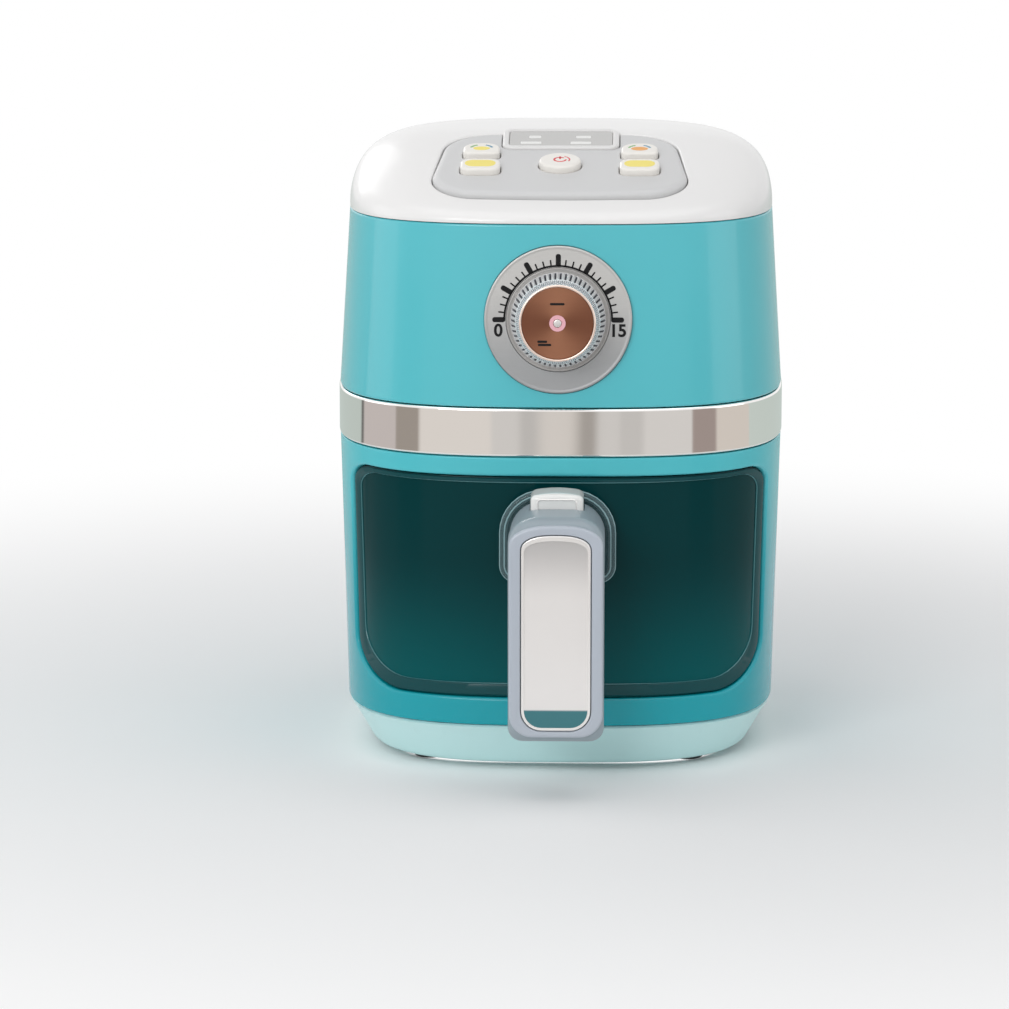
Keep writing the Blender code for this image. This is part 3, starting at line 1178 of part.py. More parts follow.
def make_lid():
    """The white dome, hollow below, with a sloped well whose ledge carries the panel and the display."""
    lid = loft("top_lid", dome_rings(UPPER_TOP_HALF, LID_BOTTOM, 0.0, LID_RING_SHARES), "white", BODY)
    inside = dome_rings(
        UPPER_TOP_HALF - LID_WALL, LID_BOTTOM - OVERRUN, LID_WALL - OVERRUN, CAVITY_RING_SHARES)
    cavity = loft("lid_cavity", inside, parent=BODY)
    wall = GAP + WELL_WALL
    panel_well = plate("panel_well", panel_outline(wall), LEDGE_BOTTOM, WELL_REACH, parent=PANEL)
    display_well = plate(
        "display_well", display_outline(wall), LEDGE_BOTTOM - FINE_EDGE, WELL_REACH + OVERRUN, parent=PANEL)
    cut(cavity, panel_well, display_well)
    panel_pocket = plate("panel_pocket", panel_outline(GAP), LEDGE_TOP, WELL_REACH, parent=PANEL)
    display_pocket = plate(
        "display_pocket", display_outline(GAP), LEDGE_TOP - GAP, WELL_REACH + OVERRUN, parent=PANEL)
    inner_width = 2 * (PANEL_BACK_HALF - LEDGE_WIDTH)
    inner_back = DISPLAY_PLACE - DISPLAY_LENGTH / 2 - WELL_WALL
    opening = plate(
        "ledge_opening",
        rectangle(
            inner_width, inner_back - LEDGE_WIDTH, [LEDGE_CORNER] * 4, (0.0, (inner_back + LEDGE_WIDTH) / 2)),
        LEDGE_BOTTOM - OVERRUN, LEDGE_TOP + OVERRUN, parent=PANEL)
    return cut(lid, cavity, panel_pocket, display_pocket, opening)


BUTTON_OUTLINES = {
    "button_start": (0.0, START_PLACE_SHARE * PANEL_LENGTH, None),
    "button_left_front": (-BUTTON_COLUMN, FRONT_BUTTON_PLACE_SHARE * PANEL_LENGTH, "front"),
    "button_left_back": (-BUTTON_COLUMN, BACK_BUTTON_PLACE_SHARE * PANEL_LENGTH, "back"),
    "button_right_front": (BUTTON_COLUMN, FRONT_BUTTON_PLACE_SHARE * PANEL_LENGTH, "front"),
    "button_right_back": (BUTTON_COLUMN, BACK_BUTTON_PLACE_SHARE * PANEL_LENGTH, "back"),
}


def button_outline(name, grow=0.0):
    """Outline of one button on the panel, grown evenly."""
    x, along, kind = BUTTON_OUTLINES[name]
    if kind is None:
        return circle(START_RADIUS + grow, (x, along), ROUND_STEPS)
    if kind == "front":
        return rectangle(
            FRONT_BUTTON_WIDTH, FRONT_BUTTON_LENGTH, [FRONT_BUTTON_RADIUS] * 4, (x, along), grow)
    front = BACK_BUTTON_WIDTH * BACK_BUTTON_FRONT_RADIUS_SHARE
    back = BACK_BUTTON_WIDTH * BACK_BUTTON_BACK_RADIUS_SHARE
    radii = [front, front, back, back]
    return rectangle(BACK_BUTTON_WIDTH, BACK_BUTTON_LENGTH, radii, (x, along), grow)


def make_panel():
    """The grey panel with a skirt, the holes of the buttons and the notch of the display."""
    panel = plate(
        "control_panel", panel_outline(), -PANEL_DEPTH, 0.0, "panel_grey", PANEL, edge=PANEL_EDGE, fineness=1)
    under = plate(
        "panel_underside", panel_outline(-PANEL_SKIRT), -PANEL_DEPTH - OVERRUN, -PANEL_PLATE, parent=PANEL)
    notch = plate("display_notch", display_outline(GAP), -PANEL_DEPTH - OVERRUN, OVERRUN, parent=PANEL)
    cut(panel, under, notch)
    for name in BUTTON_OUTLINES:
        hole = plate(name + "_hole", button_outline(name, GAP), -PANEL_PLATE - OVERRUN, OVERRUN, parent=PANEL)
        cut(panel, hole)


def make_display():
    """The white display frame, standing on the ledge, and the grey lens let into it."""
    block = plate(
        "display_frame", display_outline(), -PANEL_DEPTH, DISPLAY_PROUD, "white", PANEL, edge=FINE_EDGE)
    lens_top = DISPLAY_PROUD - LENS_SUNK
    lens_bottom = lens_top - LENS_THICKNESS
    pocket = plate("lens_pocket", display_outline(-DISPLAY_RIM), lens_bottom - GAP, OVERRUN, parent=PANEL)
    cut(block, pocket)
    plate("display_lens", display_outline(-DISPLAY_RIM - GAP), lens_bottom, lens_top, "lens_grey", PANEL)


def make_buttons():
    """Five push buttons, each held under the panel by a flange."""
    for name in BUTTON_OUTLINES:
        button = plate(
            name, button_outline(name), BUTTON_BOTTOM + FINE_EDGE / 2, BUTTON_PROUD, "button_white", PANEL,
            edge=BUTTON_EDGE)
        flange = plate(
            name + "_flange", button_outline(name, BUTTON_FLANGE), BUTTON_BOTTOM, -PANEL_PLATE - GAP,
            parent=PANEL)
        join(button, flange)


def make_circuit_board():
    """The board under the ledge, with a tact switch below each button."""
    width = 2 * (PANEL_BACK_HALF - LEDGE_WIDTH + BOARD_LAP)
    front = LEDGE_WIDTH - BOARD_LAP
    back = DISPLAY_PLACE - DISPLAY_LENGTH / 2 - WELL_WALL - 2 * GAP
    board = plate(
        "circuit_board",
        rectangle(width, back - front, [BOARD_LAP] * 4, (0.0, (back + front) / 2), steps=1),
        BOARD_TOP - BOARD_THICKNESS, BOARD_TOP, "board", PANEL)
    for name, (x, along, _) in BUTTON_OUTLINES.items():
        case = box(
            name + "_switch",
            (x - TACT_SIZE / 2, along - TACT_SIZE / 2, BOARD_TOP - FINE_EDGE),
            (x + TACT_SIZE / 2, along + TACT_SIZE / 2, BOARD_TOP + TACT_HEIGHT), parent=PANEL)
        plunger = cylinder(
            name + "_plunger", TACT_PLUNGER_RADIUS, BOARD_TOP, PLUNGER_TOP, parent=PANEL, place=(x, along))
        join(board, case, plunger)


# The drawer's front is the lower shell's wall ahead of the split plane
FRONT_BACK = SPLIT_PLANE - GAP
WINDOW_HALF_WIDTH = LOWER_TOP_HALF - WINDOW_SIDE_MARGIN
WINDOW_BOTTOM = LOWER_BOTTOM + WINDOW_SILL
WINDOW_TOP = LOWER_TOP - WINDOW_HEAD
CARRIER_INSET = FRONT_WALL + GAP
CARRIER_BOTTOM = WINDOW_BOTTOM - CARRIER_LAP
CARRIER_TOP = WINDOW_TOP + CARRIER_LAP
CARRIER_HALF_WIDTH = WINDOW_HALF_WIDTH - GAP
HANDLE_FRONT = -BODY_HALF - HANDLE_REACH
GRIP_FRONT = HANDLE_FRONT + FACE_RISE
HANDLE_TOP = LOWER_TOP - HANDLE_HEAD_MARGIN
HANDLE_BOTTOM = LOWER_BOTTOM + HANDLE_LOW_MARGIN
COLLAR_FRONT = -lower_half(HANDLE_TOP) + WINDOW_SUNK - COLLAR_THICKNESS
NECK_BACK = COLLAR_FRONT - GAP
SCREW_HEIGHT = HANDLE_TOP - HANDLE_SCREW_DROP
HANDLE_SCREWS = [(side * HANDLE_SCREW_SPACING / 2, SCREW_HEIGHT) for side in (-1, 1)]


def window_outline(grow=0.0):
    """The window's outline seen from the front, grown evenly."""
    radii = [WINDOW_BOTTOM_RADIUS] * 2 + [WINDOW_TOP_RADIUS] * 2
    middle = (WINDOW_TOP + WINDOW_BOTTOM) / 2
    return rectangle(2 * WINDOW_HALF_WIDTH, WINDOW_TOP - WINDOW_BOTTOM, radii, (0.0, middle), grow)


def front_plate(name, outline, back, front):
    """An upright plate between two depths, back and front, both as distances ahead of the body's axis."""
    return plate(name, outline, back, front, parent=BODY, turn=FORWARD)


def handle_screw_holes(target, name, radius, back, front):
    """Cut the two holes of the handle's screws between two depths ahead of the body's axis."""
    for index, place in enumerate(HANDLE_SCREWS, 1):
        hole = front_plate(f"{name}_screw_hole_{index}", circle(radius, place), back, front)
        cut(target, hole)
    return target


def make_drawer_front():
    """The teal frame, the smoked window in its opening and the dark plate that traps it from behind."""
    profile = wall_profile(lower_half, LOWER_BOTTOM, LOWER_TOP, 0.0, FRONT_WALL, SHELL_EDGE)
    front = loft("drawer_front", body_rings(profile), "teal", BODY, closed=True)
    behind = box(
        "shell_space",
        (-BODY_HALF - OVERRUN, FRONT_BACK, LOWER_BOTTOM - OVERRUN),
        (BODY_HALF + OVERRUN, BODY_HALF + OVERRUN, LOWER_TOP + OVERRUN), parent=BODY)
    near, far = -FRONT_BACK + FRONT_DEPTH_MARGIN, BODY_HALF + OVERRUN
    opening = front_plate("window_opening", window_outline(), near, far)
    cut(front, behind, opening)

    window = loft("drawer_window", body_rings([
        (lower_half(CARRIER_BOTTOM) - WINDOW_SUNK, CARRIER_BOTTOM),
        (lower_half(CARRIER_TOP) - WINDOW_SUNK, CARRIER_TOP),
        (lower_half(CARRIER_TOP) - FRONT_WALL, CARRIER_TOP),
        (lower_half(CARRIER_BOTTOM) - FRONT_WALL, CARRIER_BOTTOM),
    ]), "smoke", BODY, closed=True)
    combine(window, front_plate("window_trim", window_outline(-GAP), near, far), "INTERSECT")
    handle_screw_holes(window, "window", HOLE_RADIUS, near, far)

    inner = CARRIER_INSET + CARRIER_THICKNESS
    carrier = loft("front_carrier", body_rings([
        (lower_half(CARRIER_BOTTOM) - CARRIER_INSET, CARRIER_BOTTOM),
        (lower_half(CARRIER_TOP) - CARRIER_INSET, CARRIER_TOP),
        (lower_half(CARRIER_TOP) - inner, CARRIER_TOP),
        (lower_half(CARRIER_BOTTOM) - inner, CARRIER_BOTTOM),
    ]), "dark", BODY, closed=True)
    outline = rectangle(
        2 * CARRIER_HALF_WIDTH, CARRIER_TOP - CARRIER_BOTTOM + OVERRUN, [FINE_EDGE] * 4,
        (0.0, (CARRIER_TOP + CARRIER_BOTTOM) / 2))
    combine(carrier, front_plate("carrier_trim", outline, near, far), "INTERSECT")
    boss_front = lower_half(SCREW_HEIGHT) - CARRIER_INSET - CARRIER_THICKNESS / 2
    for index, place in enumerate(HANDLE_SCREWS, 1):
        boss = front_plate(
            f"carrier_boss_{index}", circle(CARRIER_BOSS_RADIUS, place), -BASKET_FRONT + GAP, boss_front)
        join(carrier, boss)
    handle_screw_holes(carrier, "carrier", HOLE_RADIUS, -BASKET_FRONT - OVERRUN, far)


def make_basket():
    """The basket: a tub with rounded corners, screwed to the front's bosses."""
    top = BASKET_TOP
    floor = BASKET_BOTTOM + BASKET_WALL
    bulge = BASKET_EDGE * BASKET_EDGE_SHARE
    basket = loft("basket", basket_rings([
        (BASKET_EDGE, BASKET_BOTTOM),
        (bulge, BASKET_BOTTOM + bulge),
        (0.0, BASKET_BOTTOM + BASKET_EDGE),
        (0.0, top),
        (BASKET_WALL, top),
        (BASKET_WALL, floor + BASKET_EDGE),
        (BASKET_WALL + bulge, floor + bulge),
        (BASKET_WALL + BASKET_EDGE, floor),
    ]), "dark", BODY)
    handle_screw_holes(
        basket, "basket", HOLE_RADIUS, -BASKET_FRONT - BASKET_WALL - OVERRUN, -BASKET_FRONT + OVERRUN)


def make_tray():
    """The loose grill tray: a slotted plate with a raised rim and four feet."""
    bottom = BASKET_BOTTOM + BASKET_WALL + GAP + TRAY_FOOT_HEIGHT
    top = bottom + TRAY_THICKNESS
    inset = BASKET_WALL + TRAY_CLEARANCE
    tray = loft("grill_tray", basket_rings([
        (inset + TRAY_RIM_WALL, bottom),
        (inset, bottom + TRAY_RIM_WALL),
        (inset, top + TRAY_RIM_HEIGHT),
        (inset + TRAY_RIM_WALL, top + TRAY_RIM_HEIGHT),
        (inset + TRAY_RIM_WALL, top),
    ]), "steel", BODY)
    number = 0
    for side in (-1, 1):
        for end in (-1, 1):
            number += 1
            place = (side * TRAY_FOOT_SPACING / 2, BASKET_CENTRE + end * TRAY_FOOT_SPACING / 2)
            foot = cylinder(
                f"tray_foot_{number}", TRAY_FOOT_RADIUS, bottom - TRAY_FOOT_HEIGHT, top - FINE_EDGE,
                parent=BODY, place=place)
            join(tray, foot)
    for row in range(SLOT_ROWS):
        along = BASKET_CENTRE + (row - (SLOT_ROWS - 1) / 2) * (SLOT_LENGTH + SLOT_PITCH / 2)
        for column in range(SLOT_COLUMNS):
            across = (column - (SLOT_COLUMNS - 1) / 2) * SLOT_PITCH
            slot = plate(
                f"tray_slot_{row + 1}_{column + 1}",
                rectangle(SLOT_WIDTH, SLOT_LENGTH, [SLOT_WIDTH / 2 - GAP] * 4, (across, along), steps=1),
                bottom - OVERRUN, top + OVERRUN, parent=BODY)
            cut(tray, slot)


def handle_section(outer, inner, half_width, outer_radius, inner_radius):
    """One section of the handle: a rounded rectangle between its outer and inner middle points (y, z)."""
    outer, inner = np.array(outer), np.array(inner)
    depth = float(np.linalg.norm(outer - inner))
    direction = (outer - inner) / depth
    flat = rounded_outline(
        [(-half_width, 0.0), (half_width, 0.0), (half_width, depth), (-half_width, depth)],
        [inner_radius, inner_radius, outer_radius, outer_radius])
    return np.array([(x, inner[0] + rise * direction[0], inner[1] + rise * direction[1]) for x, rise in flat])


def handle_rings():
    """Sections from the neck's back end, round the bend and down the grip to its rounded end."""
    half = HANDLE_WIDTH / 2
    grip_back = HANDLE_FRONT + GRIP_THICKNESS
    under = HANDLE_TOP - NECK_HEIGHT
    outer, inner = BEND_OUTER_RADIUS, BEND_INNER_RADIUS
    outer_centre = (GRIP_FRONT + outer, HANDLE_TOP - outer)
    inner_centre = (grip_back + inner, under - inner)
    rings = [handle_section((NECK_BACK, HANDLE_TOP), (NECK_BACK, under), half, NECK_CORNER, GRIP_BACK_CORNER)]
    for step in range(ARC_STEPS + 1):
        share = step / ARC_STEPS
        back, rise = math.sin(share * math.pi / 2), math.cos(share * math.pi / 2)
        corner = NECK_CORNER + share * (GRIP_FRONT_CORNER - NECK_CORNER) / 2
        rings.append(handle_section(
            (outer_centre[0] - outer * back, outer_centre[1] + outer * rise),
            (inner_centre[0] - inner * back, inner_centre[1] + inner * rise), half, corner, GRIP_BACK_CORNER))
    below = inner_centre[1] - inner
    rings.append(handle_section(
        (GRIP_FRONT, below), (grip_back, below), half, GRIP_FRONT_CORNER, GRIP_BACK_CORNER))
    for step in range(ARC_STEPS):
        angle = step / ARC_STEPS * math.pi / 2
        pull = GRIP_END_RADIUS * (1.0 - math.cos(angle))
        level = HANDLE_BOTTOM + GRIP_END_RADIUS * (1.0 - math.sin(angle))
        rings.append(handle_section(
            (GRIP_FRONT + pull, level), (grip_back - pull, level), half - pull, GRIP_FRONT_CORNER,
            GRIP_BACK_CORNER / 2))
    return rings


RELEASE_BACK = NECK_BACK - GAP
RELEASE_FRONT = RELEASE_BACK - RELEASE_DEPTH
RELEASE_TOP = HANDLE_TOP + RELEASE_PROUD
RELEASE_BOTTOM = HANDLE_TOP - RELEASE_SUNK
INLAY_TOP = HANDLE_TOP - INLAY_TOP_MARGIN
INLAY_BOTTOM = HANDLE_BOTTOM + INLAY_LOW_MARGIN


def inlay_outline(grow=0.0):
    """The inlay's outline: an arched top and rounded bottom corners."""
    radii = [INLAY_BOTTOM_RADIUS] * 2 + [INLAY_TOP_RADIUS] * 2
    middle = (INLAY_TOP + INLAY_BOTTOM) / 2
    return rectangle(INLAY_WIDTH, INLAY_TOP - INLAY_BOTTOM, radii, (0.0, middle), grow)


def make_handle():
    """The handle with its face, the inlay, the collar behind it, the release button and the screws."""
    handle = loft("handle", handle_rings(), "handle_grey", BODY)
    face_top, face_bottom = HANDLE_TOP - FACE_TOP_MARGIN, HANDLE_BOTTOM + FACE_BOTTOM_MARGIN
    radii = [FACE_BOTTOM_RADIUS] * 2 + [FACE_TOP_RADIUS] * 2
    face = plate(
        "handle_face",
        rectangle(
            HANDLE_WIDTH - 2 * FACE_SIDE_MARGIN, face_top - face_bottom, radii,
            (0.0, (face_top + face_bottom) / 2)),
        -HANDLE_FRONT - FACE_OVERLAP, -HANDLE_FRONT, parent=BODY, turn=FORWARD, edge=FINE_EDGE)
    join(handle, face)
    pocket = front_plate(
        "inlay_pocket", inlay_outline(GAP), -HANDLE_FRONT - INLAY_SUNK - GAP, -HANDLE_FRONT + OVERRUN)
    slot_bottom = RELEASE_BOTTOM - RELEASE_TRAVEL - GAP
    slot = box(
        "release_slot",
        (-RELEASE_WIDTH / 2 - GAP, RELEASE_FRONT - GAP, slot_bottom),
        (RELEASE_WIDTH / 2 + GAP, NECK_BACK + OVERRUN, RELEASE_TOP), parent=BODY)
    cut(handle, pocket, slot)
    handle_screw_holes(
        handle, "handle", HOLE_RADIUS, -NECK_BACK - OVERRUN, -NECK_BACK + HANDLE_SCREW_GRIP + GAP)

    plate(
        "handle_inlay", inlay_outline(), -HANDLE_FRONT - INLAY_SUNK, -HANDLE_FRONT, "inlay", BODY,
        turn=FORWARD, edge=FINE_EDGE / 2)

    collar_top = HANDLE_TOP + COLLAR_RISE
    radii = [COLLAR_FOOT] * 2 + [COLLAR_ARCH] * 2
    outline = rectangle(COLLAR_WIDTH, COLLAR_HEIGHT, radii, (0.0, collar_top - COLLAR_HEIGHT / 2))
    collar = plate(
        "handle_collar", outline, -COLLAR_FRONT - 2 * COLLAR_THICKNESS, -COLLAR_FRONT, "clear_smoke", BODY,
        edge=FINE_EDGE, turn=FORWARD)
    seat = loft("collar_seat", body_rings([
        (lower_half(level) - WINDOW_SUNK + GAP, level) for level in (WINDOW_BOTTOM, LOWER_TOP)
    ]), parent=BODY)
    cut(collar, seat)
    handle_screw_holes(
        collar, "collar", HOLE_RADIUS, -COLLAR_FRONT - 2 * COLLAR_THICKNESS - OVERRUN,
        -COLLAR_FRONT + OVERRUN)

    button = box(
        "release_button",
        (-RELEASE_WIDTH / 2, RELEASE_FRONT, RELEASE_BOTTOM),
        (RELEASE_WIDTH / 2, RELEASE_BACK, RELEASE_TOP), "silver", BODY, edge=RELEASE_EDGE, fineness=2)
    middle = HANDLE_TOP + RELEASE_PROUD / 2
    face = front_plate(
        "release_panel",
        rectangle(
            RELEASE_WIDTH - 2 * RELEASE_PANEL_MARGIN, RELEASE_PROUD - RELEASE_PANEL_MARGIN, [FINE_EDGE] * 4,
            (0.0, middle)),
        -RELEASE_FRONT - RELEASE_PANEL_DEPTH, -RELEASE_FRONT + OVERRUN)
    cut(button, face)

    head = BASKET_FRONT + BASKET_WALL + GAP + SCREW_HEAD_HEIGHT
    length = head - SCREW_HEAD_HEIGHT - (NECK_BACK - HANDLE_SCREW_GRIP)
    for index, (x, level) in enumerate(HANDLE_SCREWS, 1):
        screw(f"handle_screw_{index}", length, BODY, (x, head, level), (-math.pi / 2, 0.0, 0.0))


make_base()
make_feet()
make_batteries()
make_power_switch()
make_base_screws()
make_lower_shell()
make_bay_liner()
make_runners()
make_deck_and_band()
make_upper_shell()
make_speaker()
make_dial()
make_lid()
make_panel()
make_display()
make_buttons()
make_circuit_board()
make_drawer_front()
make_basket()
make_tray()
make_handle()
bpy.context.view_layer.update()
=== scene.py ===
"""Looks of the toy air fryer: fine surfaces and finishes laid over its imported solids."""

import json
import math

import bmesh
import bpy
import numpy as np
from mathutils import Matrix, Vector


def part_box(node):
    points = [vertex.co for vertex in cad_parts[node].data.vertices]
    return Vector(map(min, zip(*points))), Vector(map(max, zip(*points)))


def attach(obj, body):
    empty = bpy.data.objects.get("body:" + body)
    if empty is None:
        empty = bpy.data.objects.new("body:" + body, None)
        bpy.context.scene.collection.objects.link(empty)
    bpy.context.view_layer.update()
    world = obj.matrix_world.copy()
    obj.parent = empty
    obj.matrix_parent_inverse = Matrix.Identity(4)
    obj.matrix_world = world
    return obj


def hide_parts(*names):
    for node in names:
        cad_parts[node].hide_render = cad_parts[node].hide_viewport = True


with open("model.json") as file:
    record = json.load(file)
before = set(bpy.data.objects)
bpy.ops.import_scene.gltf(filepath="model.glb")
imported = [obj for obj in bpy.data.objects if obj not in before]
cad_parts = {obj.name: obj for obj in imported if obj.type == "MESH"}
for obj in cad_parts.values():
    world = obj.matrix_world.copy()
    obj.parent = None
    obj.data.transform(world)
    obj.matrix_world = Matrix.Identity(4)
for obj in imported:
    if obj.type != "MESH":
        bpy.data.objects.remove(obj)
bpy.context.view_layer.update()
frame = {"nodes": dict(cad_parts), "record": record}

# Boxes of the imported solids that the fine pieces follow
BAND_LOW, BAND_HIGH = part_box("chrome_band")
UPPER_LOW, UPPER_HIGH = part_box("upper_shell")
LOWER_LOW, LOWER_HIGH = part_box("lower_shell")
BASE_LOW, BASE_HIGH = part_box("base")
LID_LOW, LID_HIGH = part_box("top_lid")
SPEAKER_LOW, SPEAKER_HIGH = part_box("speaker")
BASKET_LOW, BASKET_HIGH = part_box("basket")
TRAY_LOW, TRAY_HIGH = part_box("grill_tray")
HANDLE_LOW, HANDLE_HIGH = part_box("handle")
INLAY_LOW, INLAY_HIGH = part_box("handle_inlay")
COLLAR_LOW, COLLAR_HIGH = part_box("handle_collar")
RELEASE_LOW, RELEASE_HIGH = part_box("release_button")
JOINTS = {joint["name"]: joint for joint in frame["record"]["behaviour"]["joints"]}

# What many pieces share: clearances, the spacing of points along walls, and shading
GAP = 0.0003
PRINT = 0.00004
FINE_STEP = 0.0015
WALL_STEP = 0.0030
COARSE_STEP = 0.0040
SIGHT_STEP = 0.0003
MERGE_REACH = 1e-7
SHARP_ANGLE = 35.0

# The body's plan and walls
AXIS_Y = (BAND_LOW.y + BAND_HIGH.y) / 2
BODY_HALF = BAND_HIGH.x
UPPER_TOP_HALF = LID_HIGH.x
LOWER_BOTTOM_HALF = BASE_HIGH.x + GAP
SPLIT_PLACE = LOWER_LOW.y - AXIS_Y
SQUARENESS = 3.0
BODY_COLUMNS = 384
SHELL_WALL = 0.0024
SHELL_EDGE = 0.0007


# Numbers, angles and outlines
def turns(steps):
    """Equal steps of angle round a full turn."""
    return np.linspace(0.0, math.tau, steps, endpoint=False)


def quarter(steps):
    """Equal steps of angle from nothing to a right angle."""
    return np.linspace(0.0, math.pi / 2, steps + 1)


def compass(angles):
    """The directions (cos a, sin a) of angles."""
    return np.column_stack((np.cos(angles), np.sin(angles)))


def between(first, last, share):
    """What lies a share of the way from one value to another."""
    return first + (last - first) * share


def ramp(value, start, length):
    """A share that runs from nothing at a start to one a length further on."""
    return np.clip((value - start) / length, 0.0, 1.0)


def plan_reach(angles, power=SQUARENESS):
    """Distance from the centre to the curve |x|^p + |y|^p = 1 along each angle."""
    return (np.abs(np.cos(angles)) ** power + np.abs(np.sin(angles)) ** power) ** (-1.0 / power)


def rounded(corners, radii, steps=6, support=0.4):
    """A closed outline whose corners are arcs: each arc turns about a point at its radius from both sides.

    A further point on either side, at a share of the radius, keeps the straight runs flat in the shading."""
    corners = np.asarray(corners, float)
    neighbours = np.roll(corners, 1, axis=0), np.roll(corners, -1, axis=0)
    pieces = []
    for corner, last, following, radius in zip(corners, *neighbours, radii):
        if radius <= 0.0:
            pieces.append(corner[None])
            continue
        before, after = last - corner, following - corner
        room = min(np.linalg.norm(before), np.linalg.norm(after)) / 2
        before, after = before / np.linalg.norm(before), after / np.linalg.norm(after)
        opening = math.acos(float(np.clip(before @ after, -1.0, 1.0)))
        reach = radius / math.tan(opening / 2)
        inward = (before + after) / np.linalg.norm(before + after)
        centre = corner + inward * radius / math.sin(opening / 2)
        start, end = corner + before * reach - centre, corner + after * reach - centre
        sweep = math.pi - opening
        turn = sweep * np.linspace(0.0, 1.0, steps + 1)[:, None]
        arc = centre + (np.sin(turn[::-1]) * start + np.sin(turn) * end) / math.sin(sweep)
        if support > 0.0:
            extra = min(support * radius, max(room - reach, 0.0) / 2)
            arc = np.vstack((arc[0] + before * extra, arc, arc[-1] + after * extra))
        pieces.append(arc)
    return np.vstack(pieces)


def densified(points, most):
    """The same closed outline with further points, so that none are more than a distance apart."""
    after = np.roll(points, -1, axis=0)
    counts = np.maximum(1, np.ceil(np.linalg.norm(after - points, axis=1) / most)).astype(int)
    shares = [np.linspace(0.0, 1.0, count, endpoint=False)[:, None] for count in counts]
    return np.vstack([between(start, end, share) for start, end, share in zip(points, after, shares)])


def circle(radius, steps, centre=(0.0, 0.0)):
    """A circle's points."""
    return np.array(centre) + radius * compass(turns(steps))


def rectangle(width, height, radii, centre=(0.0, 0.0), grow=0.0, steps=8):
    """A rounded rectangle's points, grown evenly; its radii are one or four, from the low left corner on."""
    x, y = width / 2 + grow, height / 2 + grow
    corners = np.array([(-x, -y), (x, -y), (x, y), (-x, y)]) + np.array(centre)
    return rounded(corners, [radius + grow for radius in np.broadcast_to(radii, 4)], steps)


def ring_at(outline, grow, level):
    """A closed outline moved out by a distance, along the normals to its neighbours' chords, at a height."""
    chord = np.roll(outline, -1, axis=0) - np.roll(outline, 1, axis=0)
    normal = np.column_stack((chord[:, 1], -chord[:, 0])) / np.linalg.norm(chord, axis=1, keepdims=True)
    return np.column_stack((outline + normal * grow, np.full(len(outline), level)))


def polar_reach(outline, centre, angles):
    """Distance from a centre to an outline that it sees all round, along each angle."""
    offset = densified(outline, SIGHT_STEP) - np.array(centre)
    return np.interp(
        angles, np.arctan2(offset[:, 1], offset[:, 0]), np.linalg.norm(offset, axis=1), period=math.tau)


def seen_outline(outline, centre, angles, grow=0.0):
    """An outline's points along each angle from a centre that sees it all round, moved out by a distance."""
    return np.array(centre) + (polar_reach(outline, centre, angles) + grow)[:, None] * compass(angles)


OUTLINE_STEP = 0.0002


def even_angles(width, height, steps):
    """Angles that step evenly round a rectangle, so that its corners and long sides get like spacing."""
    outline = densified(rectangle(width, height, height / 8), OUTLINE_STEP)
    length = np.concatenate(([0.0], np.cumsum(np.linalg.norm(np.diff(outline, axis=0), axis=1))))
    share = np.linspace(0.0, length[-1], steps, endpoint=False)
    x, y = (np.interp(share, length, outline[:, axis]) for axis in (0, 1))
    return np.arctan2(y, x)


def edge_rows(radius, high, steps, flat=1.0):
    """Rows (inset, height) of a rounded upper edge: a quarter of an ellipse from the side to the top."""
    return [
        (-radius * flat * (1.0 - math.cos(a)), high - radius * (1.0 - math.sin(a))) for a in quarter(steps)]


def soft_profile(corners, radii):
    """A turned piece's open profile with rounded corners, whose ends lie on the axis."""
    first, last = corners[0][1], corners[-1][1]
    closed = rounded([(-corners[0][0] - GAP, first), *corners, (-GAP, last)], [0.0, *radii, 0.0])
    return np.vstack(([(0.0, first)], closed[closed[:, 0] > 0.0], [(0.0, last)]))


def wall_loop(low, high, wall, edge, most=WALL_STEP):
    """A wall's closed profile between two points (half width, height), thick inwards, with rounded edges."""
    corners = [low, high, (high[0] - wall, high[1]), (low[0] - wall, low[1])]
    return densified(rounded(corners, [edge, edge, edge / 2, edge / 2]), most)


# Meshes and pieces
def shaded(mesh, sharp=SHARP_ANGLE):
    """A mesh shaded smooth, with the edges sharp that turn by more than an angle."""
    mesh.shade_smooth()
    mesh.set_sharp_from_angle(angle=math.radians(sharp))
    return mesh


def cleaned(mesh, sharp=SHARP_ANGLE):
    """Merge doubled points, turn the faces outwards and shade."""
    work = bmesh.new()
    work.from_mesh(mesh)
    bmesh.ops.remove_doubles(work, verts=work.verts, dist=MERGE_REACH)
    bmesh.ops.recalc_face_normals(work, faces=work.faces)
    if work.calc_volume(signed=True) < 0.0:
        bmesh.ops.reverse_faces(work, faces=work.faces)
    work.to_mesh(mesh)
    work.free()
    return shaded(mesh, sharp)


def cad_copy(node):
    """A node's mesh with its loose triangles merged."""
    return cleaned(frame["nodes"][node].data.copy())


def grid_mesh(name, grid, rows_join=True, columns_join=True, caps=False, sharp=SHARP_ANGLE):
    """A mesh over a grid of points (row, column): rows and columns may join up, end rows may be filled."""
    rows, columns = grid.shape[:2]
    index = np.arange(rows * columns).reshape(rows, columns)
    cells = np.vstack((index, index[:1])) if rows_join else index
    cells = np.hstack((cells, cells[:, :1])) if columns_join else cells
    corners = (cells[:-1, :-1], cells[:-1, 1:], cells[1:, 1:], cells[1:, :-1])
    faces = np.stack(corners, axis=-1).reshape(-1, 4).tolist()
    if caps:
        faces += [index[0][::-1].tolist(), index[-1].tolist()]
    mesh = bpy.data.meshes.new(name)
    mesh.from_pydata(grid.reshape(-1, 3).tolist(), [], faces)
    return cleaned(mesh, sharp)


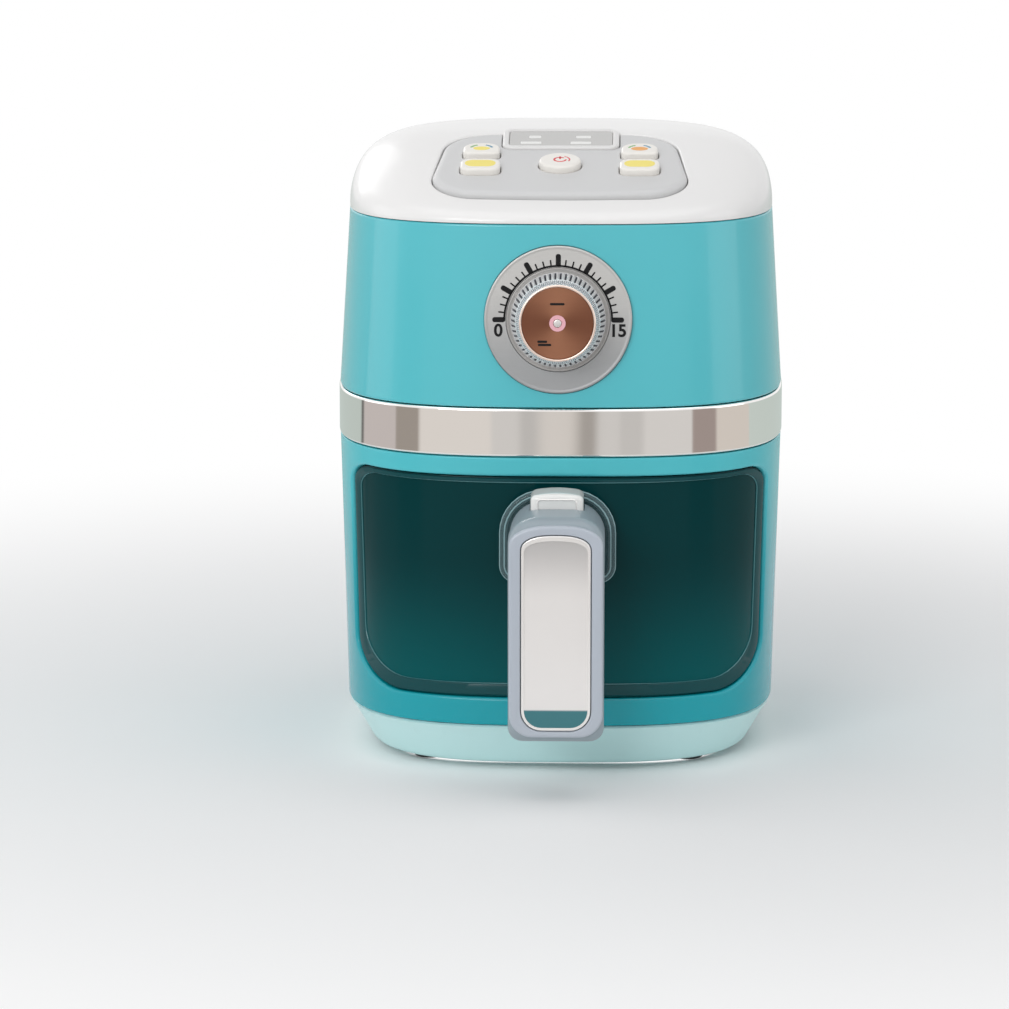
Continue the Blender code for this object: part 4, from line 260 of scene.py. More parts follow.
def placed(points, matrix):
    """Points carried by a 4 x 4 matrix."""
    return points @ np.array(matrix.to_3x3()).T + np.array(matrix.translation)


def add_object(name, data):
    """A new object in the scene."""
    made = bpy.data.objects.new(name, data)
    bpy.context.scene.collection.objects.link(made)
    return made


def merged(name, meshes):
    """Several meshes as one."""
    work = bmesh.new()
    for mesh in meshes:
        work.from_mesh(mesh)
        bpy.data.meshes.remove(mesh)
    joined = bpy.data.meshes.new(name)
    work.to_mesh(joined)
    work.free()
    return shaded(joined)


def carved(name, mesh, tools, operation="DIFFERENCE"):
    """The mesh after each tool is cut out of it, or joined to it."""
    target = add_object(name + "_blank", mesh)
    helpers = [add_object(name + "_tool", tool) for tool in tools]
    for helper in helpers:
        step = target.modifiers.new("carve", "BOOLEAN")
        step.operation, step.object, step.solver = operation, helper, "EXACT"
    graph = bpy.context.evaluated_depsgraph_get()
    result = bpy.data.meshes.new_from_object(target.evaluated_get(graph))
    result.name = name
    for item in [target] + helpers:
        data = item.data
        bpy.data.objects.remove(item)
        bpy.data.meshes.remove(data)
    result.materials.clear()
    return shaded(result)


def piece(name, mesh, body, slot, finish, *nodes):
    """A finished piece: it rides on a body, takes its finish and stands for the nodes that it replaces."""
    made = add_object(name, mesh)
    mesh.materials.clear()
    mesh.materials.append(finish)
    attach(made, body)
    if nodes:
        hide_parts(*nodes)
    return made


def body_wall(profile, steps=BODY_COLUMNS):
    """The body's plan carried along a profile of (half width h, height z): x = h r cos a, y = h r sin a."""
    angles = turns(steps)
    reach = plan_reach(angles)
    x = profile[:, :1] * reach * np.cos(angles)
    y = AXIS_Y + profile[:, :1] * reach * np.sin(angles)
    return np.stack((x, y, np.broadcast_to(profile[:, 1:], x.shape)), axis=-1)


FLARE_OVERRUN = 0.2


def prism(name, outline, low, high, matrix=Matrix(), chamfer=0.0):
    """A straight solid over an outline, which may flare by a chamfer where it comes through height 0."""
    centre = outline.mean(axis=0)
    reach = np.linalg.norm(outline - centre, axis=1, keepdims=True)
    rows = [(0.0, low), (0.0, high)]
    if chamfer:
        flare = (1.0 + FLARE_OVERRUN) * chamfer
        rows = [(0.0, low), (0.0, -chamfer), (flare, FLARE_OVERRUN * chamfer), (flare, high)]
    grid = np.stack([
        np.column_stack((centre + (outline - centre) * (1.0 + grow / reach), np.full(len(outline), level)))
        for grow, level in rows])
    return grid_mesh(name, placed(grid, matrix), rows_join=False, caps=True)


def spun(profile, steps):
    """A profile of (radius, height) carried round the local Z axis: x = r cos a, y = r sin a."""
    profile = np.asarray(profile)
    angles = turns(steps)
    return np.stack((
        profile[:, :1] * np.cos(angles), profile[:, :1] * np.sin(angles),
        np.broadcast_to(profile[:, 1:], (len(profile), steps))), axis=-1)


def turned(name, profile, matrix, steps, closed=False):
    """A mesh turned from a profile, which may close on itself."""
    return grid_mesh(name, placed(spun(profile, steps), matrix), rows_join=closed)


def stacked(name, outline, profile, matrix, poles=True):
    """Rings of one outline, each moved out by a distance, at a height; poles or flat caps close the ends."""
    rings = [ring_at(outline, grow, level) for grow, level in profile]
    if poles:
        x, y = outline.mean(axis=0)
        ends = [np.tile([x, y, profile[end][1]], (len(outline), 1)) for end in (0, -1)]
        rings = [ends[0]] + rings + [ends[1]]
    return grid_mesh(name, placed(np.stack(rings), matrix), rows_join=False, caps=not poles)


BEAD_SIDES = 10


def bead(name, outline, width, level, matrix):
    """A round bead along an outline: each point moves by w cos a along its normal and by w sin a up."""
    rings = [ring_at(outline, width * math.cos(a), level + width * math.sin(a)) for a in turns(BEAD_SIDES)]
    return grid_mesh(name, placed(np.stack(rings), matrix))


def annulus(radii, low, high, matrix, start=0.0, sweep=math.tau, steps=72, centre=(0.0, 0.0)):
    """A flat ring between two radii, or part of one."""
    inner, outer = radii
    whole = sweep >= math.tau
    angles = np.linspace(start, start + sweep, steps, endpoint=not whole)
    rows = [(inner, low), (outer, low), (outer, high), (inner, high)]
    grid = np.stack([
        np.column_stack((np.array(centre) + radius * compass(angles), np.full(len(angles), level)))
        for radius, level in rows])
    return grid_mesh("annulus", placed(np.swapaxes(grid, 0, 1), matrix), rows_join=whole, caps=not whole)


def frame_matrix(x_axis, y_axis, z_axis, origin):
    """A matrix from three axes and an origin."""
    matrix = Matrix((x_axis, y_axis, z_axis)).transposed().to_4x4()
    matrix.translation = Vector(origin)
    return matrix


# The lid's dome, and the frames of the sloped panel, the dial and the front
PANEL_FRONT = -0.0660
PANEL_FRONT_PROUD = 0.0025
CROWN_FRONT = 0.0090
CROWN_SLOPE = 0.2679
CROWN_BLEND = 0.0010
LID_BOTTOM = LID_LOW.z
LID_RISE = LID_HIGH.z - LID_LOW.z
SHOULDER_POWER = 6.0
SHOULDER_ROOT = 2.6


def lid_height(x, y, half=UPPER_TOP_HALF, inset=0.0):
    """Height of the dome over its seam: shoulders (1 - r^6)^(1/2.6) times a crown that rises, then levels."""
    reach = (np.abs(x / half) ** SQUARENESS + np.abs(y / half) ** SQUARENESS) ** (1.0 / SQUARENESS)
    shoulder = np.clip(1.0 - reach ** SHOULDER_POWER, 0.0, 1.0) ** (1.0 / SHOULDER_ROOT)
    rising = CROWN_FRONT + CROWN_SLOPE * (y - PANEL_FRONT)
    crown = LID_RISE - CROWN_BLEND * np.logaddexp(0.0, (LID_RISE - rising) / CROWN_BLEND)
    return shoulder * (crown - inset)


ACROSS = Vector((1.0, 0.0, 0.0))
NORMAL = -Vector(JOINTS["start_press"]["axis"]).normalized()
SLOPE = NORMAL.cross(ACROSS).normalized()
PANEL_HEIGHT = LID_BOTTOM + float(lid_height(0.0, PANEL_FRONT)) + PANEL_FRONT_PROUD
PANEL = frame_matrix(ACROSS, SLOPE, NORMAL, (0.0, AXIS_Y + PANEL_FRONT, PANEL_HEIGHT))
OUTWARD = Vector(JOINTS["dial_turn"]["axis"]).normalized()
DIAL_PLACE = JOINTS["dial_turn"]["pos_m"]
DIAL = frame_matrix(ACROSS, OUTWARD.cross(ACROSS), OUTWARD, DIAL_PLACE)
FORWARD = frame_matrix(ACROSS, (0.0, 0.0, 1.0), (0.0, -1.0, 0.0), (0.0, AXIS_Y, 0.0))


# Shader nodes that the finishes share
FLOAT, COLOUR, VECTOR = "NodeSocketFloat", "NodeSocketColor", "NodeSocketVector"
COAT_ROUGHNESS = 0.05
GLOSS_SWING = 0.02
DRIFT_SCALE = 14.0
GLOSS_SCALE = 60.0
GRAIN_HEIGHT = 0.0002
STREAK_HEIGHT = 0.00005
STREAK_STRETCH = (0.06, 1.0, 1.0)
STREAK_DETAIL = 4.0


def srgb(colour):
    """A colour as it shows on a screen, as the linear values that Blender reads, with full alpha."""
    return (*(((v + 0.055) / 1.055) ** 2.4 if v > 0.04045 else v / 12.92 for v in colour), 1.0)


def node_group(name, inputs, outputs):
    """A new group of shader nodes with named sockets, and its input and output nodes."""
    tree = bpy.data.node_groups.new(name, "ShaderNodeTree")
    for label, kind, value in inputs:
        tree.interface.new_socket(name=label, in_out="INPUT", socket_type=kind).default_value = value
    for label, kind in outputs:
        tree.interface.new_socket(name=label, in_out="OUTPUT", socket_type=kind)
    return tree, tree.nodes.new("NodeGroupInput").outputs, tree.nodes.new("NodeGroupOutput").inputs


def feed(tree, socket, value):
    """Link a socket to another one, or set its value."""
    if isinstance(value, bpy.types.NodeSocket):
        tree.links.new(value, socket)
    else:
        socket.default_value = value


def math_node(tree, operation, *values):
    """A math node with its sockets linked or set."""
    node = tree.nodes.new("ShaderNodeMath")
    node.operation = operation
    for socket, value in zip(node.inputs, values):
        feed(tree, socket, value)
    return node.outputs[0]


def mix_colours(tree, share, first, second):
    """A colour between two others."""
    node = tree.nodes.new("ShaderNodeMix")
    node.data_type = "RGBA"
    for name, value in (("Factor_Float", share), ("A_Color", first), ("B_Color", second)):
        feed(tree, next(item for item in node.inputs if item.identifier == name), value)
    return next(item for item in node.outputs if item.identifier == "Result_Color")


def smooth_share(tree, value, low, high):
    """A smooth share from nothing at a low value to one at a high value."""
    node = tree.nodes.new("ShaderNodeMapRange")
    node.interpolation_type = "SMOOTHSTEP"
    for label, given in (("Value", value), ("From Min", low), ("From Max", high)):
        feed(tree, node.inputs[label], given)
    return node.outputs["Result"]


def object_place(tree):
    """The place on the object."""
    return tree.nodes.new("ShaderNodeTexCoord").outputs["Object"]


def split(tree, vector):
    """A vector's three parts."""
    node = tree.nodes.new("ShaderNodeSeparateXYZ")
    tree.links.new(vector, node.inputs[0])
    return node.outputs


def noise(tree, vector, scale, detail=1.0):
    """Smooth noise over a place."""
    node = tree.nodes.new("ShaderNodeTexNoise")
    for label, value in (("Vector", vector), ("Scale", scale), ("Detail", detail)):
        feed(tree, node.inputs[label], value)
    return node.outputs["Fac"]


def swing(tree, value, amount):
    """An even swing about nothing, from a value about one half."""
    return math_node(tree, "MULTIPLY", math_node(tree, "SUBTRACT", value, 0.5), amount)


def brightened(tree, colour, amount):
    """A colour made lighter or darker by an amount about nothing."""
    node = tree.nodes.new("ShaderNodeHueSaturation")
    feed(tree, node.inputs["Color"], colour)
    feed(tree, node.inputs["Value"], math_node(tree, "ADD", amount, 1.0))
    return node.outputs["Color"]


def bumped(tree, strength, height, distance):
    """A normal that a height lifts."""
    node = tree.nodes.new("ShaderNodeBump")
    for label, value in (("Strength", strength), ("Height", height), ("Distance", distance)):
        feed(tree, node.inputs[label], value)
    return node.outputs["Normal"]


def make_moulding_group():
    """Moulded plastic: the colour drifts slowly, the gloss varies, and a fine grain lifts the surface."""
    tree, given, result = node_group(
        "moulded_surface",
        [("Colour", COLOUR, (0.8, 0.8, 0.8, 1.0)), ("Drift", FLOAT, 0.04), ("Roughness", FLOAT, 0.3),
         ("Grain size", FLOAT, 900.0), ("Grain depth", FLOAT, 0.02)],
        [("Colour", COLOUR), ("Roughness", FLOAT), ("Normal", VECTOR)])
    place = object_place(tree)
    drift = swing(tree, noise(tree, place, DRIFT_SCALE), given["Drift"])
    tree.links.new(brightened(tree, given["Colour"], drift), result["Colour"])
    gloss = math_node(tree, "SUBTRACT", noise(tree, place, GLOSS_SCALE), 0.5)
    varied = math_node(tree, "MULTIPLY_ADD", gloss, GLOSS_SWING, given["Roughness"])
    tree.links.new(varied, result["Roughness"])
    grain = noise(tree, place, given["Grain size"])
    tree.links.new(bumped(tree, given["Grain depth"], grain, GRAIN_HEIGHT), result["Normal"])
    return tree


def make_height_group():
    """A colour that runs from a low one to a high one between two heights."""
    tree, given, result = node_group(
        "height_fade",
        [("Low colour", COLOUR, (0.0, 0.0, 0.0, 1.0)), ("High colour", COLOUR, (1.0, 1.0, 1.0, 1.0)),
         ("Low", FLOAT, 0.0), ("High", FLOAT, 1.0)],
        [("Colour", COLOUR)])
    share = smooth_share(tree, split(tree, object_place(tree))["Z"], given["Low"], given["High"])
    tree.links.new(mix_colours(tree, share, given["Low colour"], given["High colour"]), result["Colour"])
    return tree


def make_streak_group():
    """Brushed or plated metal: fine streaks along X, with the gloss and the colour following them."""
    tree, given, result = node_group(
        "metal_streaks",
        [("Colour", COLOUR, (0.8, 0.8, 0.8, 1.0)), ("Roughness", FLOAT, 0.2), ("Streaks", FLOAT, 0.1),
         ("Fineness", FLOAT, 600.0)],
        [("Colour", COLOUR), ("Roughness", FLOAT), ("Normal", VECTOR)])
    stretch = tree.nodes.new("ShaderNodeMapping")
    stretch.inputs["Scale"].default_value = STREAK_STRETCH
    tree.links.new(object_place(tree), stretch.inputs["Vector"])
    streak = noise(tree, stretch.outputs["Vector"], given["Fineness"], STREAK_DETAIL)
    change = swing(tree, streak, given["Streaks"])
    tree.links.new(brightened(tree, given["Colour"], change), result["Colour"])
    tree.links.new(math_node(tree, "ADD", given["Roughness"], change), result["Roughness"])
    tree.links.new(bumped(tree, given["Streaks"], streak, STREAK_HEIGHT), result["Normal"])
    return tree


MOULDING = make_moulding_group()
HEIGHT_FADE = make_height_group()
STREAKS = make_streak_group()


def shader(name, **settings):
    """A new material, its tree and its Principled shader with the plain settings given."""
    made = bpy.data.materials.new(name)
    made.use_nodes = True
    principled = made.node_tree.nodes["Principled BSDF"]
    for label, value in settings.items():
        principled.inputs[label.replace("_", " ")].default_value = value
    return made, made.node_tree, principled


def place_group(tree, group, values):
    """A group placed in a material with its own values."""
    node = tree.nodes.new("ShaderNodeGroup")
    node.node_tree = group
    for label, value in values.items():
        feed(tree, node.inputs[label], value)
    return node.outputs


def lay_surface(tree, principled, group, values):
    """A group whose colour, roughness and normal feed a material's shader."""
    surface = place_group(tree, group, values)
    for label, socket in (("Colour", "Base Color"), ("Roughness", "Roughness"), ("Normal", "Normal")):
        tree.links.new(surface[label], principled.inputs[socket])


def faded_colour(tree, colour, fade):
    """A colour; each fade is (low colour, low height, high height) and runs up to the colour so far."""
    base = srgb(colour)
    for low, low_height, high_height in fade:
        base = place_group(tree, HEIGHT_FADE, {
            "Low colour": srgb(low), "High colour": base, "Low": low_height, "High": high_height})["Colour"]
    return base


def plastic(name, colour, roughness, drift=0.04, grain=350.0, depth=0.008, coat=0.0, fade=(), **settings):
    """A moulded plastic, with its fades."""
    made, tree, principled = shader(name, Coat_Weight=coat, Coat_Roughness=COAT_ROUGHNESS, **settings)
    lay_surface(tree, principled, MOULDING, {
        "Colour": faded_colour(tree, colour, fade), "Drift": drift, "Roughness": roughness,
        "Grain size": grain, "Grain depth": depth})
    return made


def metal(name, colour, roughness, streaks, fineness=600.0, metallic=1.0, fade=()):
    """A metal or plated finish, with its fades."""
    made, tree, principled = shader(name, Metallic=metallic)
    lay_surface(tree, principled, STREAKS, {
        "Colour": faded_colour(tree, colour, fade), "Roughness": roughness, "Streaks": streaks,
        "Fineness": fineness})
    return made


MINT = plastic("mint_plastic", (0.80, 0.94, 0.94), 0.34, depth=0.010)
TEAL = plastic("teal_plastic", (0.33, 0.76, 0.80), 0.24, drift=0.05, depth=0.004, coat=0.3)
# Painted shade: the frame's teal fades darker towards its foot, where less light falls on it.
FRAME_TEAL_PAINTED_SHADE = plastic(
    "frame_teal_plastic", (0.32, 0.77, 0.81), 0.26, drift=0.05, depth=0.004, coat=0.15,
    fade=[((0.06, 0.64, 0.69), 0.050, 0.112)], Specular_IOR_Level=0.35)
WHITE = plastic("white_plastic", (0.94, 0.935, 0.93), 0.28, drift=0.015, depth=0.002, coat=0.25)
PANEL_GREY = plastic("panel_plastic", (0.83, 0.83, 0.83), 0.42, drift=0.03, grain=1200.0, depth=0.02)
LENS_GREY = plastic("lens_plastic", (0.74, 0.735, 0.725), 0.18, drift=0.02, coat=0.5)
RIM_GREY = plastic("display_rim_plastic", (0.90, 0.895, 0.89), 0.32, drift=0.02)
LEGEND_PALE = plastic("legend_pale", (0.95, 0.95, 0.94), 0.5, drift=0.02)
KEY_WHITE = plastic("key_plastic", (0.95, 0.935, 0.91), 0.30, drift=0.02, coat=0.2)
YELLOW_PRINT = plastic("yellow_print", (0.97, 0.90, 0.45), 0.40, drift=0.06)
RED_PRINT = plastic("red_print", (0.85, 0.25, 0.27), 0.40)
BLUE_PRINT = plastic("blue_print", (0.38, 0.58, 0.68), 0.40)
GREEN_PRINT = plastic("green_print", (0.50, 0.70, 0.45), 0.40)
ORANGE_PRINT = plastic("orange_print", (0.93, 0.66, 0.35), 0.40)
BLACK_PRINT = plastic("black_print", (0.05, 0.05, 0.06), 0.45, Specular_IOR_Level=0.2)
PINK_PRINT = plastic("pink_print", (0.93, 0.70, 0.74), 0.40)
# Painted shade: the silver bezel fades darker towards its foot, where the knob shades it.
SILVER_PAINTED_SHADE = metal(
    "silver_paint", (0.76, 0.755, 0.745), 0.42, streaks=0.10, fineness=3000.0, metallic=0.55,
    fade=[((0.63, 0.635, 0.64), DIAL_PLACE[2] - 0.020, DIAL_PLACE[2] + 0.016)])
RING_GREY = metal("ring_paint", (0.68, 0.67, 0.66), 0.38, streaks=0.08, fineness=3000.0, metallic=0.5)
STUD_SILVER = metal("stud_plate", (0.86, 0.85, 0.84), 0.25, streaks=0.04, metallic=0.6)
CHROME = metal("chrome_plate", (0.95, 0.94, 0.93), 0.06, streaks=0.01, fineness=200.0)
KNOB_CHROME = metal("knob_chrome", (0.92, 0.925, 0.93), 0.30, streaks=0.06, fineness=2500.0, metallic=0.4)
# Painted shade: the darker grey given to the faces deep in the knob's grooves.
KNOB_GROOVE_PAINTED_SHADE = metal("knob_groove_painted_shade", (0.42, 0.43, 0.46), 0.35, streaks=0.30, fineness=1500.0, metallic=0.6)
LIP_COPPER = metal("lip_plate", (0.93, 0.84, 0.79), 0.18, streaks=0.04, metallic=0.7)
# Painted light: the smoked window is painted lighter towards its foot and darker at its head, as light falls
# on it.
SMOKE = plastic(
    "window_plastic", (0.0, 0.22, 0.23), 0.14, drift=0.06, depth=0.002,
    fade=[((0.0, 0.34, 0.35), 0.026, 0.080)], Specular_IOR_Level=0.10)
SMOKE_BORDER = plastic(
    "window_border_plastic", (0.05, 0.285, 0.30), 0.20, depth=0.002, Specular_IOR_Level=0.22)
# Painted highlight: the pale line along the window border's inner edge.
SMOKE_PAINTED_HIGHLIGHT = plastic("window_line_plastic", (0.26, 0.48, 0.50), 0.25, depth=0.0)
CLEAR_SMOKE = plastic(
    "collar_plastic", (0.42, 0.55, 0.57), 0.06, depth=0.002, Transmission_Weight=0.6, IOR=1.35)
COLLAR_EDGE = plastic("collar_edge_plastic", (0.54, 0.67, 0.69), 0.14, depth=0.0, coat=0.4)
# Painted light: the handle and its face ring are one grey moulding. The ring's grey is a lighter copy for the
# light on its front, and the handle's grey is darker and greener for the teal that its neck mirrors.
HANDLE_GREY = plastic("handle_plastic", (0.59, 0.64, 0.67), 0.36, drift=0.03, depth=0.015)
FACE_GREY_PAINTED_LIGHT = plastic("handle_face_plastic", (0.72, 0.75, 0.79), 0.32, drift=0.03, depth=0.010, coat=0.1)
# Painted reflections: the inlay is darker over its top, and a teal band at its foot stands for the teal that
# it mirrors.
INLAY_PAINTED_REFLECTIONS = plastic(
    "inlay_finish", (0.77, 0.76, 0.755), 0.14, drift=0.02, depth=0.002, coat=0.4,
    fade=[((0.94, 0.925, 0.915), 0.070, 0.094), ((0.20, 0.47, 0.50), 0.0322, 0.0330)], Metallic=0.2)
# Painted highlight: a bright silver for the beads that stand for the light on the inlay's edge and round the
# release button's sunk panel.
PAINTED_HIGHLIGHT_SILVER = metal("inlay_rim_painted_highlight", (0.96, 0.95, 0.94), 0.16, streaks=0.02, metallic=0.45)
RELEASE_GREY = plastic("release_plastic", (0.95, 0.95, 0.94), 0.22, drift=0.03, depth=0.003, coat=0.5)
DARK = plastic("dark_plastic", (0.16, 0.18, 0.19), 0.50, depth=0.06)
LINER = plastic("liner_plastic", (0.19, 0.21, 0.22), 0.42, depth=0.06)
STEEL = metal("steel", (0.68, 0.68, 0.69), 0.28, streaks=0.12, fineness=900.0)
TRAY_METAL = metal("tray_metal", (0.58, 0.58, 0.59), 0.38, streaks=0.10, fineness=500.0, metallic=0.8)
RUBBER = plastic("rubber", (0.20, 0.21, 0.22), 0.75, depth=0.10)
CELL = plastic("cell_jacket", (0.28, 0.30, 0.33), 0.35, coat=0.3)
BOARD = plastic("board_resin", (0.12, 0.38, 0.27), 0.40, depth=0.04)
LIGHT_CLEAR = plastic("light_plastic", (0.90, 0.88, 0.82), 0.15, Transmission_Weight=0.5)


# Painted sheen: the light and dark of the spun copper, in place of the light that a spun finish catches.
COPPER_PAINTED_SHADE, COPPER_PAINTED_SHEEN = (0.43, 0.24, 0.14), (0.59, 0.39, 0.28)
COPPER_SURFACE = {"Roughness": 0.38, "Streaks": 0.10, "Fineness": 900.0}
DIAL_CENTRE_SPREAD = 1e-8


def make_copper():
    """Spun copper with a painted sheen: light to dark round the cap as cos 2a, from its place on the dial."""
    made, tree, principled = shader("copper_finish", Metallic=0.35)
    local = tree.nodes.new("ShaderNodeMapping")
    local.vector_type = "TEXTURE"
    local.inputs["Location"].default_value = DIAL.translation
    local.inputs["Rotation"].default_value = DIAL.to_euler()
    tree.links.new(object_place(tree), local.inputs["Vector"])
    parts = split(tree, local.outputs["Vector"])
    across, along = (math_node(tree, "MULTIPLY", parts[axis], parts[axis]) for axis in ("X", "Y"))
    spread = math_node(tree, "MAXIMUM", math_node(tree, "ADD", across, along), DIAL_CENTRE_SPREAD)
    turn = math_node(tree, "DIVIDE", math_node(tree, "SUBTRACT", along, across), spread)
    share = math_node(tree, "MULTIPLY_ADD", turn, 0.5, 0.5)
    colour = mix_colours(tree, share, srgb(COPPER_PAINTED_SHADE), srgb(COPPER_PAINTED_SHEEN))
    lay_surface(tree, principled, STREAKS, {"Colour": colour, **COPPER_SURFACE})
    return made


COPPER = make_copper()


# Walls of the body
def lower_half(level):
    """Half width of the drawer's front and the lower shell at a height."""
    share = (level - LOWER_LOW.z) / (LOWER_HIGH.z - LOWER_LOW.z)
    return between(LOWER_BOTTOM_HALF, LOWER_HIGH.x, share)


BEZEL_RADIUS = 0.0256
BEZEL_SEAT = 0.0012
SHAFT_HOLE = 0.0042
SLOT_COUNT = 5
SLOT_SIZE = (0.0200, 0.0016)
SLOT_PITCH = 0.0038
ROUND_END_SHARE = 0.49
UPPER_COLUMNS = 512


def make_upper_wall():
    """The teal upper wall, with the dial's round seat and the sound slots at the back."""
    loop = wall_loop(
        (UPPER_HIGH.x, UPPER_LOW.z), (UPPER_TOP_HALF, UPPER_HIGH.z), SHELL_WALL, SHELL_EDGE, FINE_STEP)
    blank = grid_mesh("upper_wall_blank", body_wall(loop, UPPER_COLUMNS))
    seat = prism("seat", circle(BEZEL_RADIUS + GAP, 192), -BEZEL_SEAT, BEZEL_RADIUS, DIAL)
    hole = prism("hole", circle(SHAFT_HOLE, 48), -BEZEL_RADIUS, BEZEL_RADIUS, DIAL)
    lean = math.atan((UPPER_HIGH.x - UPPER_TOP_HALF) / (UPPER_HIGH.z - UPPER_LOW.z))
    back = frame_matrix(
        -ACROSS, (0.0, -math.sin(lean), math.cos(lean)), (0.0, math.cos(lean), math.sin(lean)),
        (0.0, UPPER_HIGH.y, (SPEAKER_LOW.z + SPEAKER_HIGH.z) / 2))
    slots = []
    for index in range(SLOT_COUNT):
        rise = (index - (SLOT_COUNT - 1) / 2) * SLOT_PITCH
        outline = rectangle(*SLOT_SIZE, SLOT_SIZE[1] * ROUND_END_SHARE, (0.0, rise), steps=5)
        slots.append(prism("slot", outline, -4 * SHELL_WALL, 2 * SHELL_WALL, back))
    mesh = carved("upper_wall", blank, [seat, hole] + slots)
    piece("upper_wall", mesh, "housing", "teal_plastic", TEAL, "upper_shell")


BAND_WALL = 0.0020
BAND_EDGE = 0.0009


def make_band():
    """The bright band, with soft edges that catch the light."""
    loop = wall_loop((BODY_HALF, BAND_LOW.z), (BODY_HALF, BAND_HIGH.z), BAND_WALL, BAND_EDGE, COARSE_STEP)
    mesh = grid_mesh("bright_band", body_wall(loop))
    piece("bright_band", mesh, "housing", "chrome", CHROME, "chrome_band")


LOWER_COLUMNS = 260


def make_lower_wall():
    """The teal wall behind the drawer: the body's plan from the split plane round the back."""
    loop = wall_loop((LOWER_BOTTOM_HALF, LOWER_LOW.z), (LOWER_HIGH.x, LOWER_HIGH.z), SHELL_WALL, SHELL_EDGE)
    reach = (1.0 - (abs(SPLIT_PLACE) / lower_half(LOWER_HIGH.z)) ** SQUARENESS) ** (1.0 / SQUARENESS)
    start = math.atan2(SPLIT_PLACE, lower_half(LOWER_HIGH.z) * reach)
    angles = np.linspace(start, math.pi - start, LOWER_COLUMNS)
    around = plan_reach(angles)
    x = loop[:, :1] * around * np.cos(angles)
    y = AXIS_Y + loop[:, :1] * around * np.sin(angles)
    grid = np.stack((x, np.maximum(y, LOWER_LOW.y), np.broadcast_to(loop[:, 1:], x.shape)), axis=-1)
    mesh = grid_mesh("lower_wall", np.swapaxes(grid, 0, 1), rows_join=False, caps=True)
    # The lower teal carries painted shade, darker towards its foot.
    piece("lower_wall", mesh, "housing", "teal_plastic", FRAME_TEAL_PAINTED_SHADE, "lower_shell")


SKIN = 0.0016
SKIN_DROP = 0.00002
BASE_TAPER = 0.0085
BASE_LAP = 0.0060
BASE_RADII = (0.0028, SHELL_EDGE, 0.0003, 0.0008, 0.0, 0.0)
FACE_WEIGHT = 100


def make_base_tub():
    """The mint tub: a fine outer skin joined to the moulding with its battery box, wells and recesses."""
    low_half, high_half = BASE_HIGH.x - BASE_TAPER, BASE_HIGH.x
    bottom, top = BASE_LOW.z - SKIN_DROP, LOWER_LOW.z - GAP
    corners = [
        (low_half, bottom), (high_half, top), (high_half - SKIN, top), (low_half - SKIN, bottom + SKIN),
        (low_half - BASE_LAP, bottom + SKIN), (low_half - BASE_LAP, bottom)]
    skin = grid_mesh("skin", body_wall(densified(rounded(corners, BASE_RADII), WALL_STEP)))
    mesh = carved("base_tub", cad_copy("base"), [skin], "UNION")
    tub = piece("base_tub", mesh, "housing", "mint_plastic", MINT, "base")
    even = tub.modifiers.new("even_shading", "WEIGHTED_NORMAL")
    even.weight, even.keep_sharp = FACE_WEIGHT, True


# Lid, panel and what sits on it
PANEL_LENGTH = 0.0604
PANEL_FRONT_HALF = 0.0463
PANEL_BACK_HALF = 0.0400
PANEL_BOW = 0.0034
PANEL_CORNER_FRONT = 0.0150
PANEL_CORNER_BACK = 0.0190
PANEL_STEP = 0.0006
PANEL_DEPTH = 0.0057
LEDGE = 0.0016
LEDGE_REACH = 0.0060
WELL_WALL = 0.0016
LID_WALL = 0.0022
LIP = 0.0008
LIP_STEPS = 6
SEAM_ROUND = 0.0006
DISPLAY_CENTRE = 0.0534
DISPLAY_SIZE = (0.0417, 0.0200)
DISPLAY_RADIUS = 0.0042
LID_COLUMNS = 720
LID_ROWS = 72
LID_INNER_ROWS = 16
LANDINGS = 8
HALVINGS = 40
VIEWPOINT = (0.0, 0.048)


def bowed(points):
    """Bow the panel's front: y moves back by the bow times (x / half)^2, less and less up the slope."""
    share = np.clip(1.0 - points[:, 1] / PANEL_LENGTH, 0.0, 1.0)
    back = PANEL_BOW * (points[:, 0] / PANEL_FRONT_HALF) ** 2 * share
    return points + np.column_stack((np.zeros(len(points)), back))


def panel_outline(grow=0.0):
    """The panel's outline on its plane: a tapered rectangle with large corners and a bowed front."""
    front, back = PANEL_FRONT_HALF + grow, PANEL_BACK_HALF + grow
    corners = [(-front, -grow), (front, -grow), (back, PANEL_LENGTH + grow), (-back, PANEL_LENGTH + grow)]
    radii = [PANEL_CORNER_FRONT + grow] * 2 + [PANEL_CORNER_BACK + grow] * 2
    return bowed(densified(rounded(corners, radii, 16, 0.0), PANEL_STEP))


def display_outline(grow=0.0):
    """The display's outline, across the panel's back edge."""
    return rectangle(*DISPLAY_SIZE, DISPLAY_RADIUS, (0.0, DISPLAY_CENTRE), grow)


def well_points(grow, angles):
    """Places on the panel's plane along the joint outline of the panel's well and the display's."""
    outlines = panel_outline(grow), display_outline(grow)
    reach = np.maximum(*(polar_reach(outline, VIEWPOINT, angles) for outline in outlines))
    return np.array(VIEWPOINT) + reach[:, None] * compass(angles)


def raised(places, depth):
    """Points over places on the panel's plane, each at its depth along the plane's normal."""
    return placed(np.column_stack((places, np.broadcast_to(depth, len(places)))), PANEL)


def on_dome(places, half, inset):
    """Points of the dome over places on the panel's plane: each moves along the normal until it meets."""
    depth = np.zeros(len(places))
    for _ in range(LANDINGS):
        points = raised(places, depth)
        height = LID_BOTTOM + lid_height(points[:, 0], points[:, 1] - AXIS_Y, half, inset)
        depth = depth + (height - points[:, 2]) / NORMAL.z
    return raised(places, depth)


